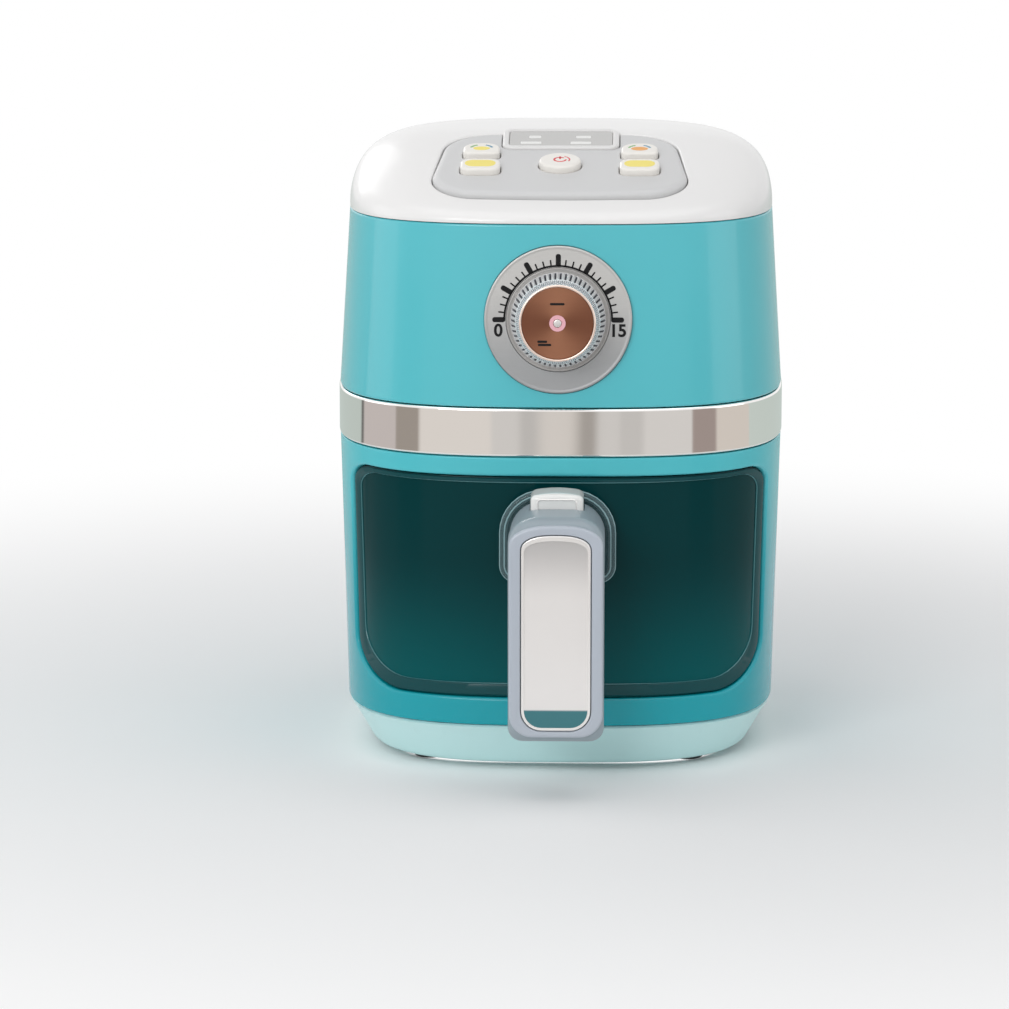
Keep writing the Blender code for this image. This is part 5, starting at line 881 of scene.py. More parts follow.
def dome_rows(start, half, inset, rows):
    """Rows from a loop on the dome out to its seam: s = 1 - (1 - v)^2.6 of the way, closer near the seam."""
    centre = raised(np.array([VIEWPOINT]), 0.0)[0][:2]
    away = start[:, :2] - centre
    unit = compass(np.arctan2(away[:, 1], away[:, 0]))
    low, high = np.zeros(len(start)), np.full(len(start), 4 * half)
    for _ in range(HALVINGS):
        middle = (low + high) / 2
        spot = centre + unit * middle[:, None] - np.array([0.0, AXIS_Y])
        outside = (np.abs(spot / half) ** SQUARENESS).sum(axis=1) > 1.0
        low, high = np.where(outside, low, middle), np.where(outside, middle, high)
    seam = centre + unit * low[:, None]
    share = 1.0 - (1.0 - np.linspace(0.0, 1.0, rows)) ** SHOULDER_ROOT
    plan = start[None, :, :2] + (seam - start[:, :2])[None] * share[:, None, None]
    rise = lid_height(plan[..., 0], plan[..., 1] - AXIS_Y, half, inset)
    return np.concatenate((plan, LID_BOTTOM + np.sqrt(rise ** 2 + SEAM_ROUND ** 2)[..., None]), axis=-1)


def make_lid_dome():
    """The white dome: rows over the top from the well's lip to the seam, and back inside under its wall."""
    angles = turns(LID_COLUMNS)
    wall_places, inner_places = well_points(GAP, angles), well_points(-LEDGE_REACH, angles)
    behind = well_points(GAP + WELL_WALL, angles)
    top = on_dome(well_points(GAP + LIP, angles), UPPER_TOP_HALF, 0.0)
    wall_top = on_dome(wall_places, UPPER_TOP_HALF, 0.0)
    lip = [top + (wall_top - top) * math.sin(turn) - np.array(NORMAL) * LIP * (1.0 - math.cos(turn))
           for turn in quarter(LIP_STEPS)[1:]]
    ledge_top, ledge_bottom = -PANEL_DEPTH - GAP, -PANEL_DEPTH - GAP - LEDGE
    inner_half = UPPER_TOP_HALF - LID_WALL
    inner_top = on_dome(well_points(GAP + WELL_WALL + LIP, angles), inner_half, LID_WALL)
    outer = dome_rows(top, UPPER_TOP_HALF, 0.0, LID_ROWS)
    inner = dome_rows(inner_top, inner_half, LID_WALL, LID_INNER_ROWS)
    feet = []
    for rows in (outer, inner):
        foot = rows[-1].copy()
        foot[:, 2] = LID_BOTTOM
        feet.append(foot)
    grid = np.stack([
        feet[0], *outer[::-1], *lip, raised(wall_places, ledge_top), raised(inner_places, ledge_top),
        raised(inner_places, ledge_bottom), raised(behind, ledge_bottom), inner_top, *inner[1:], feet[1]])
    piece("lid_dome", grid_mesh("lid_dome", grid), "housing", "white_plastic", WHITE, "top_lid")


START_RADIUS = 0.0074
START_PLACE = 0.0268
COLUMN = 0.0280
FRONT_KEY = (0.0140, 0.0110, 0.0227)
BACK_KEY = (0.0130, 0.0108, 0.0388)
FRONT_KEY_RADIUS = 0.0035
BACK_KEY_RADII = (0.0025, 0.0052)
KEY_PROUD = 0.0024
KEY_FOOT = -0.0032
KEY_EDGE = 0.0009
KEY_EDGE_FLAT = 1.2
KEY_FLANGE = (0.0010, 0.0009)
KEY_TOP_RUN = 0.0006
KEY_HOLE_FLARE = 0.00035
PAD_SIZE = (0.0108, 0.0064)
PAD_CORNER = 0.0030
PAD_SHIFT = 0.0002
SPOT_HALF = (0.0030, 0.0018)
SPOT_SHIFT = -0.0008
ARC_RADII = (0.0036, 0.0044)
ARC_SHIFT = -0.0012
ARC_SWEEP = 0.85
ARCS = ((0.35, BLUE_PRINT), (1.95, GREEN_PRINT))
MARK_RING, MARK_RING_START, MARK_RING_SWEEP = (0.0017, 0.0024), 0.9, 5.4
MARK_CURL, MARK_CURL_START, MARK_CURL_SWEEP = (0.0031, 0.0036), -0.5, 1.6
MARK_DASH, MARK_DASH_CORNER, MARK_DASH_SHIFT = (0.0007, 0.0026), 0.0003, 0.0018


def key_outline(x, kind, grow=0.0):
    """The outline of one key on the panel."""
    if kind == "start":
        return circle(START_RADIUS + grow, 96, (x, START_PLACE))
    width, length, place = FRONT_KEY if kind == "front" else BACK_KEY
    radii = FRONT_KEY_RADIUS if kind == "front" else np.repeat(BACK_KEY_RADII, 2)
    return rectangle(width, length, radii, (x, place), grow)


KEYS = {
    "start_button": (0.0, "start", "button_start"),
    "left_front_button": (-COLUMN, "front", "button_left_front"),
    "left_back_button": (-COLUMN, "back", "button_left_back"),
    "right_front_button": (COLUMN, "front", "button_right_front"),
    "right_back_button": (COLUMN, "back", "button_right_back"),
}


PANEL_EDGE = 0.0018
PANEL_EDGE_FLAT = 1.5
PANEL_EDGE_RUN = 0.0006
PANEL_FOOT_BEVEL = 0.0002
PANEL_FACE_RUNS = (0.0005, 0.0030)
NOTCH_FLARE = 0.0003


def make_panel_plate():
    """The grey panel with its bullnosed edge, the keys' holes and the display's notch."""
    rows = [(-PANEL_FOOT_BEVEL, -PANEL_DEPTH), (0.0, -PANEL_DEPTH + PANEL_FOOT_BEVEL),
            (0.0, -PANEL_EDGE - PANEL_EDGE_RUN)]
    rows += edge_rows(PANEL_EDGE, 0.0, 8, PANEL_EDGE_FLAT)
    rows += [(rows[-1][0] - run, 0.0) for run in PANEL_FACE_RUNS]
    blank = stacked("panel_blank", panel_outline(), rows, PANEL, poles=False)
    cuts = [(key_outline(x, kind, GAP), KEY_HOLE_FLARE) for x, kind, _ in KEYS.values()]
    cuts.append((display_outline(GAP), NOTCH_FLARE))
    tools = [prism("cut", outline, -2 * PANEL_DEPTH, PANEL_DEPTH, PANEL, flare) for outline, flare in cuts]
    mesh = carved("panel_plate", blank, tools)
    piece("panel_plate", mesh, "housing", "panel_plastic", PANEL_GREY, "control_panel")


DISPLAY_PROUD = 0.0009
DISPLAY_RIM = 0.0023
RIM_OUTER_EDGE = 0.0009
RIM_INNER_EDGE = 0.0006
RIM_STEP = 0.0016
LENS_SUNK = 0.0004
LENS_CLEARANCE = 0.0001
LENS_THICKNESS = 0.0016
LENS_BEVEL = 0.0002
BAR_HEIGHT = 0.0024
BAR_CORNER = 0.0005
BARS = (
    (-0.0107, 0.0490, 0.0074), (0.0071, 0.0490, 0.0074), (-0.0093, 0.0550, 0.0043), (0.0080, 0.0550, 0.0053))


def make_display_pieces():
    """The pale rim of the display, its grey lens and four blank bars of legend."""
    outline = display_outline()
    rows = [(0.0, -PANEL_DEPTH)] + edge_rows(RIM_OUTER_EDGE, DISPLAY_PROUD, 6)
    inner_edge = edge_rows(RIM_INNER_EDGE, DISPLAY_PROUD, 5)[::-1]
    rows += [(-DISPLAY_RIM - inset, level) for inset, level in inner_edge]
    rows += [(-DISPLAY_RIM, -RIM_STEP), (-DISPLAY_RIM, -PANEL_DEPTH)]
    grid = np.stack([ring_at(outline, grow, level) for grow, level in rows])
    mesh = grid_mesh("display_rim", placed(grid, PANEL))
    piece("display_rim", mesh, "housing", "panel_plastic", RIM_GREY, "display_frame")
    top = DISPLAY_PROUD - LENS_SUNK
    pane = stacked(
        "display_pane", display_outline(-DISPLAY_RIM - LENS_CLEARANCE),
        [(0.0, top - LENS_THICKNESS), (0.0, top - LENS_BEVEL), (-LENS_BEVEL, top)], PANEL)
    piece("display_pane", pane, "housing", "lens_plastic", LENS_GREY, "display_lens")
    shapes = [rectangle(width, BAR_HEIGHT, BAR_CORNER, (x, place), steps=3) for x, place, width in BARS]
    bars = [prism("bar", shape, top - PRINT, top + PRINT, PANEL) for shape in shapes]
    piece("display_bars", merged("display_bars", bars), "housing", "lens_plastic", LEGEND_PALE)


def make_keys():
    """Five white keys with soft edges and a flange at the foot, and their plain prints."""
    low, high = KEY_PROUD - PRINT, KEY_PROUD + PRINT
    reach, thickness = KEY_FLANGE
    rows = [(reach, KEY_FOOT), (reach, KEY_FOOT + thickness), (0.0, KEY_FOOT + thickness), (0.0, 0.0)]
    rows += edge_rows(KEY_EDGE, KEY_PROUD, 8, KEY_EDGE_FLAT)
    rows.append((rows[-1][0] - KEY_TOP_RUN, KEY_PROUD))
    for body, (x, kind, node) in KEYS.items():
        name = node.replace("button", "key")
        prints = []
        if kind == "front":
            pad = rectangle(*PAD_SIZE, PAD_CORNER, (x, FRONT_KEY[2] + PAD_SHIFT))
            prints.append(("pad", prism("pad", pad, low, high, PANEL), YELLOW_PRINT))
        elif kind == "back":
            place = BACK_KEY[2]
            spot = np.array([x, place + SPOT_SHIFT]) + circle(1.0, 48) * SPOT_HALF
            finish = YELLOW_PRINT if x < 0 else ORANGE_PRINT
            prints.append(("spot", prism("spot", spot, low, high, PANEL), finish))
            for index, (start, colour) in enumerate(ARCS):
                arc = annulus(ARC_RADII, low, high, PANEL, start, ARC_SWEEP, 16, (x, place + ARC_SHIFT))
                prints.append((f"arc_{index + 1}", arc, colour))
        else:
            centre = (x, START_PLACE)
            ring = annulus(MARK_RING, low, high, PANEL, MARK_RING_START, MARK_RING_SWEEP, 48, centre)
            dash = prism("dash", rectangle(
                *MARK_DASH, MARK_DASH_CORNER, (x, START_PLACE + MARK_DASH_SHIFT)), low, high, PANEL)
            curl = annulus(MARK_CURL, low, high, PANEL, MARK_CURL_START, MARK_CURL_SWEEP, 24, centre)
            prints.append(("mark", merged("mark", [ring, dash, curl]), RED_PRINT))
        cap = stacked(name, key_outline(x, kind), rows, PANEL)
        piece(name, cap, body, "button_plastic", KEY_WHITE, node)
        for label, mesh, finish in prints:
            piece(f"{name}_{label}", mesh, body, "button_plastic", finish)


# The dial, along its own axis
FACE = 0.0010
RIM_PROUD = 0.0011
RIM_TOP = 0.0006
RIM_SLOPE = 0.0012
BEZEL_RADII = (0.0003, 0.0004, 0.0003, 0.0003, 0.0002, 0.0001)
STEP_OUTER = 0.0181
STEP_INNER = 0.0169
STEP_DEPTH = 0.0005
STEP_LAP = 0.0001
STEP_FALL = 0.0002
STEP_RADII = (0.0001, 0.0003, 0.0001)


def make_bezel():
    """The silver disc with its rolled rim and the grey step round the knob."""
    floor = FACE - STEP_DEPTH
    disc = soft_profile(
        [(BEZEL_RADIUS, -BEZEL_SEAT + GAP), (BEZEL_RADIUS, RIM_PROUD), (BEZEL_RADIUS - RIM_TOP, RIM_PROUD),
         (BEZEL_RADIUS - RIM_SLOPE, FACE), (STEP_OUTER, FACE), (STEP_OUTER, floor)], BEZEL_RADII)
    mesh = turned("bezel_disc", disc, DIAL, 256)
    # The disc's silver carries painted shade, darker below the knob.
    piece("bezel_disc", mesh, "housing", "silver_plastic", SILVER_PAINTED_SHADE, "dial_bezel")
    edge = STEP_OUTER - STEP_LAP
    step = soft_profile([(edge, floor), (edge, FACE + STEP_LAP), (STEP_INNER, FACE - STEP_FALL)], STEP_RADII)
    piece("bezel_step", turned("bezel_step", step, DIAL, 192), "housing", "silver_plastic", RING_GREY)


NUMERAL_WEIGHT = 0.03
NUMERAL_SIZE = 0.0060
NUMERAL_PLACE = (0.0207, -0.0039)
SCALE_INNER = 0.0183
SCALE_LINE = 0.0007
MARK_COUNT = 25
MARK_PITCH = 7.5
BOLD_EVERY = 4
BOLD_MARK = (0.0018, 0.0228)
FINE_MARK = (0.00055, 0.0209)
MARK_END_SHARE = 0.45


def numeral(text, size, matrix, depth):
    """A plain number as a thin solid."""
    curve = bpy.data.curves.new("numeral", "FONT")
    curve.body, curve.size, curve.extrude, curve.offset = text, size, depth, size * NUMERAL_WEIGHT
    curve.align_x, curve.align_y = "CENTER", "CENTER"
    made = add_object("numeral", curve)
    mesh = bpy.data.meshes.new_from_object(made.evaluated_get(bpy.context.evaluated_depsgraph_get()))
    mesh.transform(matrix)
    bpy.data.objects.remove(made)
    bpy.data.curves.remove(curve)
    return cleaned(mesh)


def make_scale():
    """The printed scale: an arc over the top half, bold and fine marks on it, and a number at each end."""
    low, high = FACE - PRINT, FACE + PRINT
    parts = [annulus((SCALE_INNER, SCALE_INNER + SCALE_LINE), low, high, DIAL, 0.0, math.pi, 96)]
    for index in range(MARK_COUNT):
        angle = math.radians(180.0 - MARK_PITCH * index)
        width, reach = FINE_MARK if index % BOLD_EVERY else BOLD_MARK
        length = reach - SCALE_INNER
        shape = rectangle(length, width, width * MARK_END_SHARE, (SCALE_INNER + length / 2, 0.0), steps=4)
        parts.append(prism("mark", shape, low, high, DIAL @ Matrix.Rotation(angle, 4, "Z")))
    for text, side in (("0", -1), ("15", 1)):
        place = Matrix.Translation((side * NUMERAL_PLACE[0], NUMERAL_PLACE[1], FACE))
        parts.append(numeral(text, NUMERAL_SIZE, DIAL @ place, PRINT))
    piece("dial_scale", merged("dial_scale", parts), "housing", "silver_plastic", BLACK_PRINT)


KNOB_BACK = 0.0013
KNOB_LENGTH = 0.0157
KNOB_TOP = KNOB_BACK + KNOB_LENGTH
KNOB_BASE = 0.0165
KNOB_FRONT = 0.0132
KNOB_COLUMNS = 1080
KNOB_ROWS = 84
KNOB_BACK_BEVEL = 0.0004
KNOB_FRONT_BEVEL = 0.0002
KNOB_SHARP = 50.0
TAPER_START = 0.04
TAPER_POWER = 1.2
FLUTES = 54
FLUTE_DEPTH = 0.0008
FLUTE_POWER = 0.7
FLUTE_START, FLUTE_FADE_IN = 0.03, 0.03
FLUTE_END, FLUTE_FADE_OUT = 0.62, 0.05
FINE_FACETS = 66
FINE_DEPTH = 0.00035
FINE_FADE_IN = 0.03
FINE_END, FINE_FADE_OUT = 0.955, 0.02
GROOVES_END = 0.95
FLUTE_GROOVE_SHARE = 0.32
FINE_GROOVE_SHARE = 0.55
CAP_RADIUS = 0.0125
CAP_WELL = 0.0015


def knob_taper(rise):
    """The knob's radius over its ribs at a share of its length: it narrows as s^1.2 past a straight foot."""
    return between(KNOB_BASE, KNOB_FRONT, ramp(rise, TAPER_START, 1.0 - TAPER_START) ** TAPER_POWER)


def make_knob():
    """The knob: ribs r = taper - depth (1 - |sin|^0.7) round its skirt, and a fine crossed knurl in front,
    r = taper - depth (1 - |sin (a + s)| |sin (a - s)|), where s grows along the knob."""
    angles = turns(KNOB_COLUMNS)[None, :]
    rise = np.linspace(0.0, 1.0, KNOB_ROWS)[:, None]
    skirt = ramp(rise, FLUTE_START, FLUTE_FADE_IN) * ramp(rise, FLUTE_END, -FLUTE_FADE_OUT)
    rib = np.abs(np.sin(angles * FLUTES / 2)) ** FLUTE_POWER
    crossed = ramp(rise, FLUTE_END, FINE_FADE_IN) * ramp(rise, FINE_END, -FINE_FADE_OUT)
    facet, slant = angles * FINE_FACETS / 2, rise * FINE_FACETS / 2
    knurl = np.abs(np.sin(facet + slant)) * np.abs(np.sin(facet - slant))
    radius = knob_taper(rise) - skirt * FLUTE_DEPTH * (1.0 - rib) - crossed * FINE_DEPTH * (1.0 - knurl)
    height = np.broadcast_to(KNOB_BACK + KNOB_LENGTH * rise, radius.shape)
    wall = np.stack((radius * np.cos(angles), radius * np.sin(angles), height), axis=-1)
    back = spun([(0.0, KNOB_BACK), (KNOB_BASE - KNOB_BACK_BEVEL, KNOB_BACK)], KNOB_COLUMNS)
    front = spun([
        (KNOB_FRONT - KNOB_FRONT_BEVEL, KNOB_TOP), (CAP_RADIUS + GAP, KNOB_TOP),
        (CAP_RADIUS + GAP, KNOB_TOP - CAP_WELL), (0.0, KNOB_TOP - CAP_WELL)], KNOB_COLUMNS)
    grid = placed(np.concatenate((back, wall, front)), DIAL)
    mesh = grid_mesh("knob_body", grid, rows_join=False, sharp=KNOB_SHARP)
    piece("knob_body", mesh, "dial", "chrome", KNOB_CHROME, "dial_knob")
    paint_groove_shade(mesh)


def paint_groove_shade(mesh):
    """Give the faces that lie deep between the knob's ribs or facets a darker material: painted shade in the
    grooves.
    """
    mesh.materials.append(KNOB_GROOVE_PAINTED_SHADE)
    centres = np.empty(len(mesh.polygons) * 3)
    mesh.polygons.foreach_get("center", centres)
    local = placed(centres.reshape(-1, 3), DIAL.inverted())
    rise = (local[:, 2] - KNOB_BACK) / KNOB_LENGTH
    fluted = rise < FLUTE_END
    depth = knob_taper(rise) - np.hypot(local[:, 0], local[:, 1])
    sunk = depth / np.where(fluted, FLUTE_DEPTH, FINE_DEPTH)
    painted_shade_faces = (rise > TAPER_START) & (rise < GROOVES_END)
    painted_shade_faces &= sunk > np.where(fluted, FLUTE_GROOVE_SHARE, FINE_GROOVE_SHARE)
    mesh.polygons.foreach_set("material_index", painted_shade_faces.astype(np.int32))


CAP_SUNK = 0.0003
CAP_RADII = (0.0002, 0.0004)
KNOB_LIP = (0.00040, 0.00035)
KNOB_LIP_OUT = 0.0003
KNOB_LIP_DROP = 0.0001
CAP_RING = (0.0015, 0.0028)
CAP_RING_PROUD = 0.0002
STUD_RADIUS = 0.0014
STUD_SUNK = 0.0002
STUD_PROUD = 0.0005
STUD_RADII = (0.0001, 0.0004)
DASH_HEIGHT = 0.0008
DASH_CORNER = 0.00035
DASHES = ((-0.0001, 0.0066, 0.0050), (-0.0052, -0.0063, 0.0034), (-0.0044, -0.0074, 0.0046))


def make_knob_cap():
    """The copper cap in its bright ring, with a pink ring, a grey stud and three plain dashes."""
    face = KNOB_TOP - CAP_SUNK
    profile = soft_profile([(CAP_RADIUS, KNOB_TOP - CAP_WELL), (CAP_RADIUS, face)], CAP_RADII)
    piece("knob_cap", turned("knob_cap", profile, DIAL, 192), "dial", "copper_finish", COPPER, "dial_cap")
    lip = np.array([CAP_RADIUS + KNOB_LIP_OUT, KNOB_TOP - KNOB_LIP_DROP]) + compass(turns(12)) * KNOB_LIP
    piece("knob_lip", turned("knob_lip", lip, DIAL, 192, closed=True), "dial", "copper_finish", LIP_COPPER)
    pink = annulus(CAP_RING, face - PRINT, face + CAP_RING_PROUD, DIAL)
    piece("cap_ring", pink, "dial", "copper_finish", PINK_PRINT)
    stud = soft_profile([(STUD_RADIUS, face - STUD_SUNK), (STUD_RADIUS, face + STUD_PROUD)], STUD_RADII)
    piece("cap_stud", turned("cap_stud", stud, DIAL, 48), "dial", "silver_plastic", STUD_SILVER)
    shapes = [rectangle(width, DASH_HEIGHT, DASH_CORNER, (x, y), steps=4) for x, y, width in DASHES]
    dashes = [prism("dash", shape, face - PRINT, face + PRINT, DIAL) for shape in shapes]
    piece("cap_dashes", merged("cap_dashes", dashes), "dial", "copper_finish", BLACK_PRINT)


# The drawer's front and window
WINDOW_TOP_HALF = 0.0740
WINDOW_FOOT_HALF = 0.0722
WINDOW_BOTTOM = LOWER_LOW.z + 0.0099
WINDOW_TOP = LOWER_HIGH.z - 0.0067
WINDOW_RADII = (0.0165, 0.0165, 0.0065, 0.0065)
WINDOW_MIDDLE = (WINDOW_TOP + WINDOW_BOTTOM) / 2
WINDOW_CENTRE = np.array([0.0, WINDOW_MIDDLE])
WINDOW_SUNK = 0.0012
WINDOW_ROWS = 36
FRONT_WALL = 0.0030
FRONT_LIP = 0.0014
FRONT_CORNER = 0.0005
FRONT_COLUMNS = 960
FRONT_ANGLES = even_angles(0.190, 0.090, FRONT_COLUMNS)


def front_point(spots, depth):
    """Points of the curved front over spots (turn, height): x = h r sin t, y = -h r cos t, h less a depth."""
    turn, level = spots[..., 0] / BODY_HALF, spots[..., 1]
    half = lower_half(level) - depth
    reach = plan_reach(turn)
    return np.stack((half * reach * np.sin(turn), AXIS_Y - half * reach * np.cos(turn), level), axis=-1)


def front_turn(x, level):
    """The turn, as a length round the body, at which the front has a given x."""
    share = np.clip(x / lower_half(level), -1.0, 1.0)
    return BODY_HALF * np.arctan2(share, np.cbrt(1.0 - np.abs(share) ** SQUARENESS))


def window_spots(grow, margins=(0.0, 0.0, 0.0)):
    """The window's outline on the front, as spots (turn, height) seen from its middle; margins draw in its
    sides, its foot and its head."""
    side, under, over = margins
    foot, head = WINDOW_FOOT_HALF + grow - side, WINDOW_TOP_HALF + grow - side
    low, high = WINDOW_BOTTOM - grow + under, WINDOW_TOP + grow - over
    corners = [(-foot, low), (foot, low), (head, high), (-head, high)]
    outline = densified(rounded(corners, [radius + grow for radius in WINDOW_RADII], 10), SIGHT_STEP)
    spots = np.column_stack((front_turn(outline[:, 0], outline[:, 1]), outline[:, 1]))
    return seen_outline(spots, WINDOW_CENTRE, FRONT_ANGLES)


def make_front_frame():
    """The teal frame round the window: rows from its outer edge over its face, round the lip and behind."""
    split = abs(SPLIT_PLACE) / lower_half(WINDOW_MIDDLE)
    side = BODY_HALF * math.atan2((1.0 - split ** SQUARENESS) ** (1.0 / SQUARENESS), split) - GAP
    centre = (0.0, (LOWER_HIGH.z + LOWER_LOW.z) / 2)
    block = rectangle(2 * side, LOWER_HIGH.z - LOWER_LOW.z, FRONT_CORNER, centre)
    outer, inner = seen_outline(block, WINDOW_CENTRE, FRONT_ANGLES), window_spots(0.0)
    length = np.linalg.norm(inner - outer, axis=1, keepdims=True)
    rows = [(0.0, 0.0, FRONT_WALL)]
    rows += [(0.0, SHELL_EDGE * (1.0 - math.cos(a)), SHELL_EDGE * (1.0 - math.sin(a))) for a in quarter(6)]
    rows += [(share, 0.0, 0.0) for share in np.linspace(0.2, 0.8, 9)]
    rows += [(1.0, -FRONT_LIP * (1.0 - math.sin(a)), FRONT_LIP * (1.0 - math.cos(a))) for a in quarter(6)]
    rows += [(share, 0.0, FRONT_WALL) for share in (1.0, 0.75, 0.5, 0.25)]
    grid = np.stack([
        front_point(between(outer, inner, share + offset / length), depth) for share, offset, depth in rows])
    mesh = grid_mesh("front_frame", grid)
    # The frame's teal carries painted shade, darker towards its foot.
    piece("front_frame", mesh, "drawer", "teal_plastic", FRAME_TEAL_PAINTED_SHADE, "drawer_front")


PANE_FACE_ROWS = ((0.0, 0.0004), (0.0002, 0.0001), (0.0006, 0.0))
PANE_BACK_ROWS = ((0.0010, 0.0), (0.0, -0.0002))
BORDER_START = 0.0007
BORDER_MARGINS = (0.0024, 0.0046, 0.0018)
BORDER_PROUD = 0.0005
BORDER_BEVEL = 0.0002
BORDER_ROOT = 0.0003
BORDER_FALL = ((-0.0005, 0.0), (-0.0001, BORDER_BEVEL))
LINE_ROOT = (-0.0001, 0.0002)
LINE_WIDTH = 0.0004
LINE_CREST = 0.0001
LINE_EDGE = 0.0003


def make_window_pane():
    """The smoked window: rings in from its edge, over its back and its face, each closing at its middle."""
    edge = window_spots(-GAP)
    length = np.linalg.norm(edge - WINDOW_CENTRE, axis=1, keepdims=True)

    def row(inset, depth, share=1.0):
        """A ring of the pane: inset from its edge, drawn towards its middle by a share, at a depth."""
        return front_point(WINDOW_CENTRE + (edge - WINDOW_CENTRE) * (1.0 - inset / length) * share, depth)

    face = [(inset, WINDOW_SUNK + depth) for inset, depth in PANE_FACE_ROWS]
    back = [(inset, FRONT_WALL + depth) for inset, depth in PANE_BACK_ROWS]
    shares = np.linspace(1.0, 0.0, WINDOW_ROWS)[1:]
    rings = [row(*back[0], share) for share in shares[::-1]] + [row(*spot) for spot in back]
    rings += [row(*spot) for spot in face] + [row(*face[-1], share) for share in shares]
    mesh = grid_mesh("window_pane", np.stack(rings), rows_join=False)
    # The pane's smoke is painted lighter towards its foot: painted light.
    piece("window_pane", mesh, "drawer", "window_plastic", SMOKE, "drawer_window")


def window_ring(name, rows):
    """A closed ring inside the window: each row lies a share of the way from the pane's edge to the border's
    inner line, moved in by a distance, at a depth."""
    edge, inner = window_spots(-GAP), window_spots(-GAP, BORDER_MARGINS)
    length = np.linalg.norm(edge - WINDOW_CENTRE, axis=1, keepdims=True)
    return grid_mesh(name, np.stack([
        front_point(between(edge, inner, share) - (edge - WINDOW_CENTRE) * (inset / length), depth)
        for share, inset, depth in rows]))


def make_window_border():
    """The darker border that stands proud inside the frame, with a fine pale line along it."""
    root, proud = WINDOW_SUNK + BORDER_ROOT, WINDOW_SUNK - BORDER_PROUD
    border = [(0.0, BORDER_START, root), (0.0, BORDER_START, proud + BORDER_BEVEL),
              (0.0, BORDER_START + BORDER_BEVEL, proud)]
    border += [(1.0, inset, proud + drop) for inset, drop in BORDER_FALL] + [(1.0, 0.0, root)]
    foot = WINDOW_SUNK + LINE_ROOT[1]
    line = [(1.0, LINE_ROOT[0], foot), (1.0, 0.0, proud + BORDER_BEVEL),
            (1.0, LINE_WIDTH / 2, proud + LINE_CREST), (1.0, LINE_WIDTH, proud + LINE_EDGE),
            (1.0, LINE_WIDTH, foot)]
    piece("window_border", window_ring("window_border", border), "drawer", "window_plastic", SMOKE_BORDER)
    # The line's pale colour is a painted highlight on the border's inner edge.
    piece("window_line", window_ring("window_line", line), "drawer", "window_plastic", SMOKE_PAINTED_HIGHLIGHT)


# The handle, its collar, inlay and release button
HANDLE_HALF = HANDLE_HIGH.x
AHEAD = AXIS_Y - HANDLE_LOW.y
NECK_BACK = HANDLE_HIGH.y
NECK_DROP = 0.0210
GRIP_THICKNESS = 0.0150
FACE_RISE = 0.0010
NECK_CORNER = 0.0112
GRIP_CORNER = 0.0040
BACK_CORNER = 0.0060
OUTER_BEND = 0.0060
INNER_BEND = 0.0080
END_RADIUS = 0.0050
END_CORNER = 0.0008
END_FRONT_SHARE = 0.6
END_BACK_SHARE = 0.8
SECTION_STEPS = 10
SECTION_SUPPORT = 0.2
NECK_SECTIONS = 13
BEND_SECTIONS = 19
GRIP_SECTIONS = 29
END_SECTIONS = 8
RELEASE_SLOT_CORNER = 0.0024
RELEASE_SLOT_RUN = 0.0120
RELEASE_SLOT_BELOW = 0.0030
RELEASE_SLOT_ABOVE = 0.0100
POCKET_REACH = 0.0020


def handle_section(outer, inner, half, outer_radius, inner_radius):
    """One section: a rounded rectangle that stands between its inner and outer middle points (y, z)."""
    outer, inner = np.array(outer), np.array(inner)
    depth = float(np.linalg.norm(outer - inner))
    flat = rounded(
        [(-half, 0.0), (half, 0.0), (half, depth), (-half, depth)],
        [inner_radius, inner_radius, outer_radius, outer_radius], SECTION_STEPS, SECTION_SUPPORT)
    return np.column_stack((flat[:, 0], inner + flat[:, 1:] * (outer - inner) / depth))


def handle_sections():
    """Sections from the neck round the bend, down the grip and in to the rounded foot."""
    top, front, back = HANDLE_HIGH.z, HANDLE_LOW.y + FACE_RISE, HANDLE_LOW.y + GRIP_THICKNESS
    under = top - NECK_DROP
    outer_turn, inner_turn = (front + OUTER_BEND, top - OUTER_BEND), (back + INNER_BEND, under - INNER_BEND)
    sections = []
    for share in np.linspace(0.0, 1.0, NECK_SECTIONS + 1):
        outer, inner = (between(NECK_BACK, turn[0], share) for turn in (outer_turn, inner_turn))
        sections.append(handle_section((outer, top), (inner, under), HANDLE_HALF, NECK_CORNER, BACK_CORNER))
    for turn in quarter(BEND_SECTIONS)[1:]:
        away = np.array([-math.sin(turn), math.cos(turn)])
        outer, inner = outer_turn + OUTER_BEND * away, inner_turn + INNER_BEND * away
        radius = between(NECK_CORNER, GRIP_CORNER, turn / (math.pi / 2))
        sections.append(handle_section(outer, inner, HANDLE_HALF, radius, BACK_CORNER))
    foot = HANDLE_LOW.z + END_RADIUS
    for share in np.linspace(0.0, 1.0, GRIP_SECTIONS + 1)[1:]:
        outer, inner = (between(turn[1], foot, share) for turn in (outer_turn, inner_turn))
        sections.append(handle_section((front, outer), (back, inner), HANDLE_HALF, GRIP_CORNER, BACK_CORNER))
    for turn in quarter(END_SECTIONS)[1:]:
        pull, level = END_RADIUS * (1.0 - math.cos(turn)), foot - END_RADIUS * math.sin(turn)
        sections.append(handle_section(
            (front + pull, level), (back - pull, level), HANDLE_HALF - pull,
            max(END_CORNER, GRIP_CORNER - END_FRONT_SHARE * pull),
            max(END_CORNER, BACK_CORNER - END_BACK_SHARE * pull)))
    return np.stack(sections)


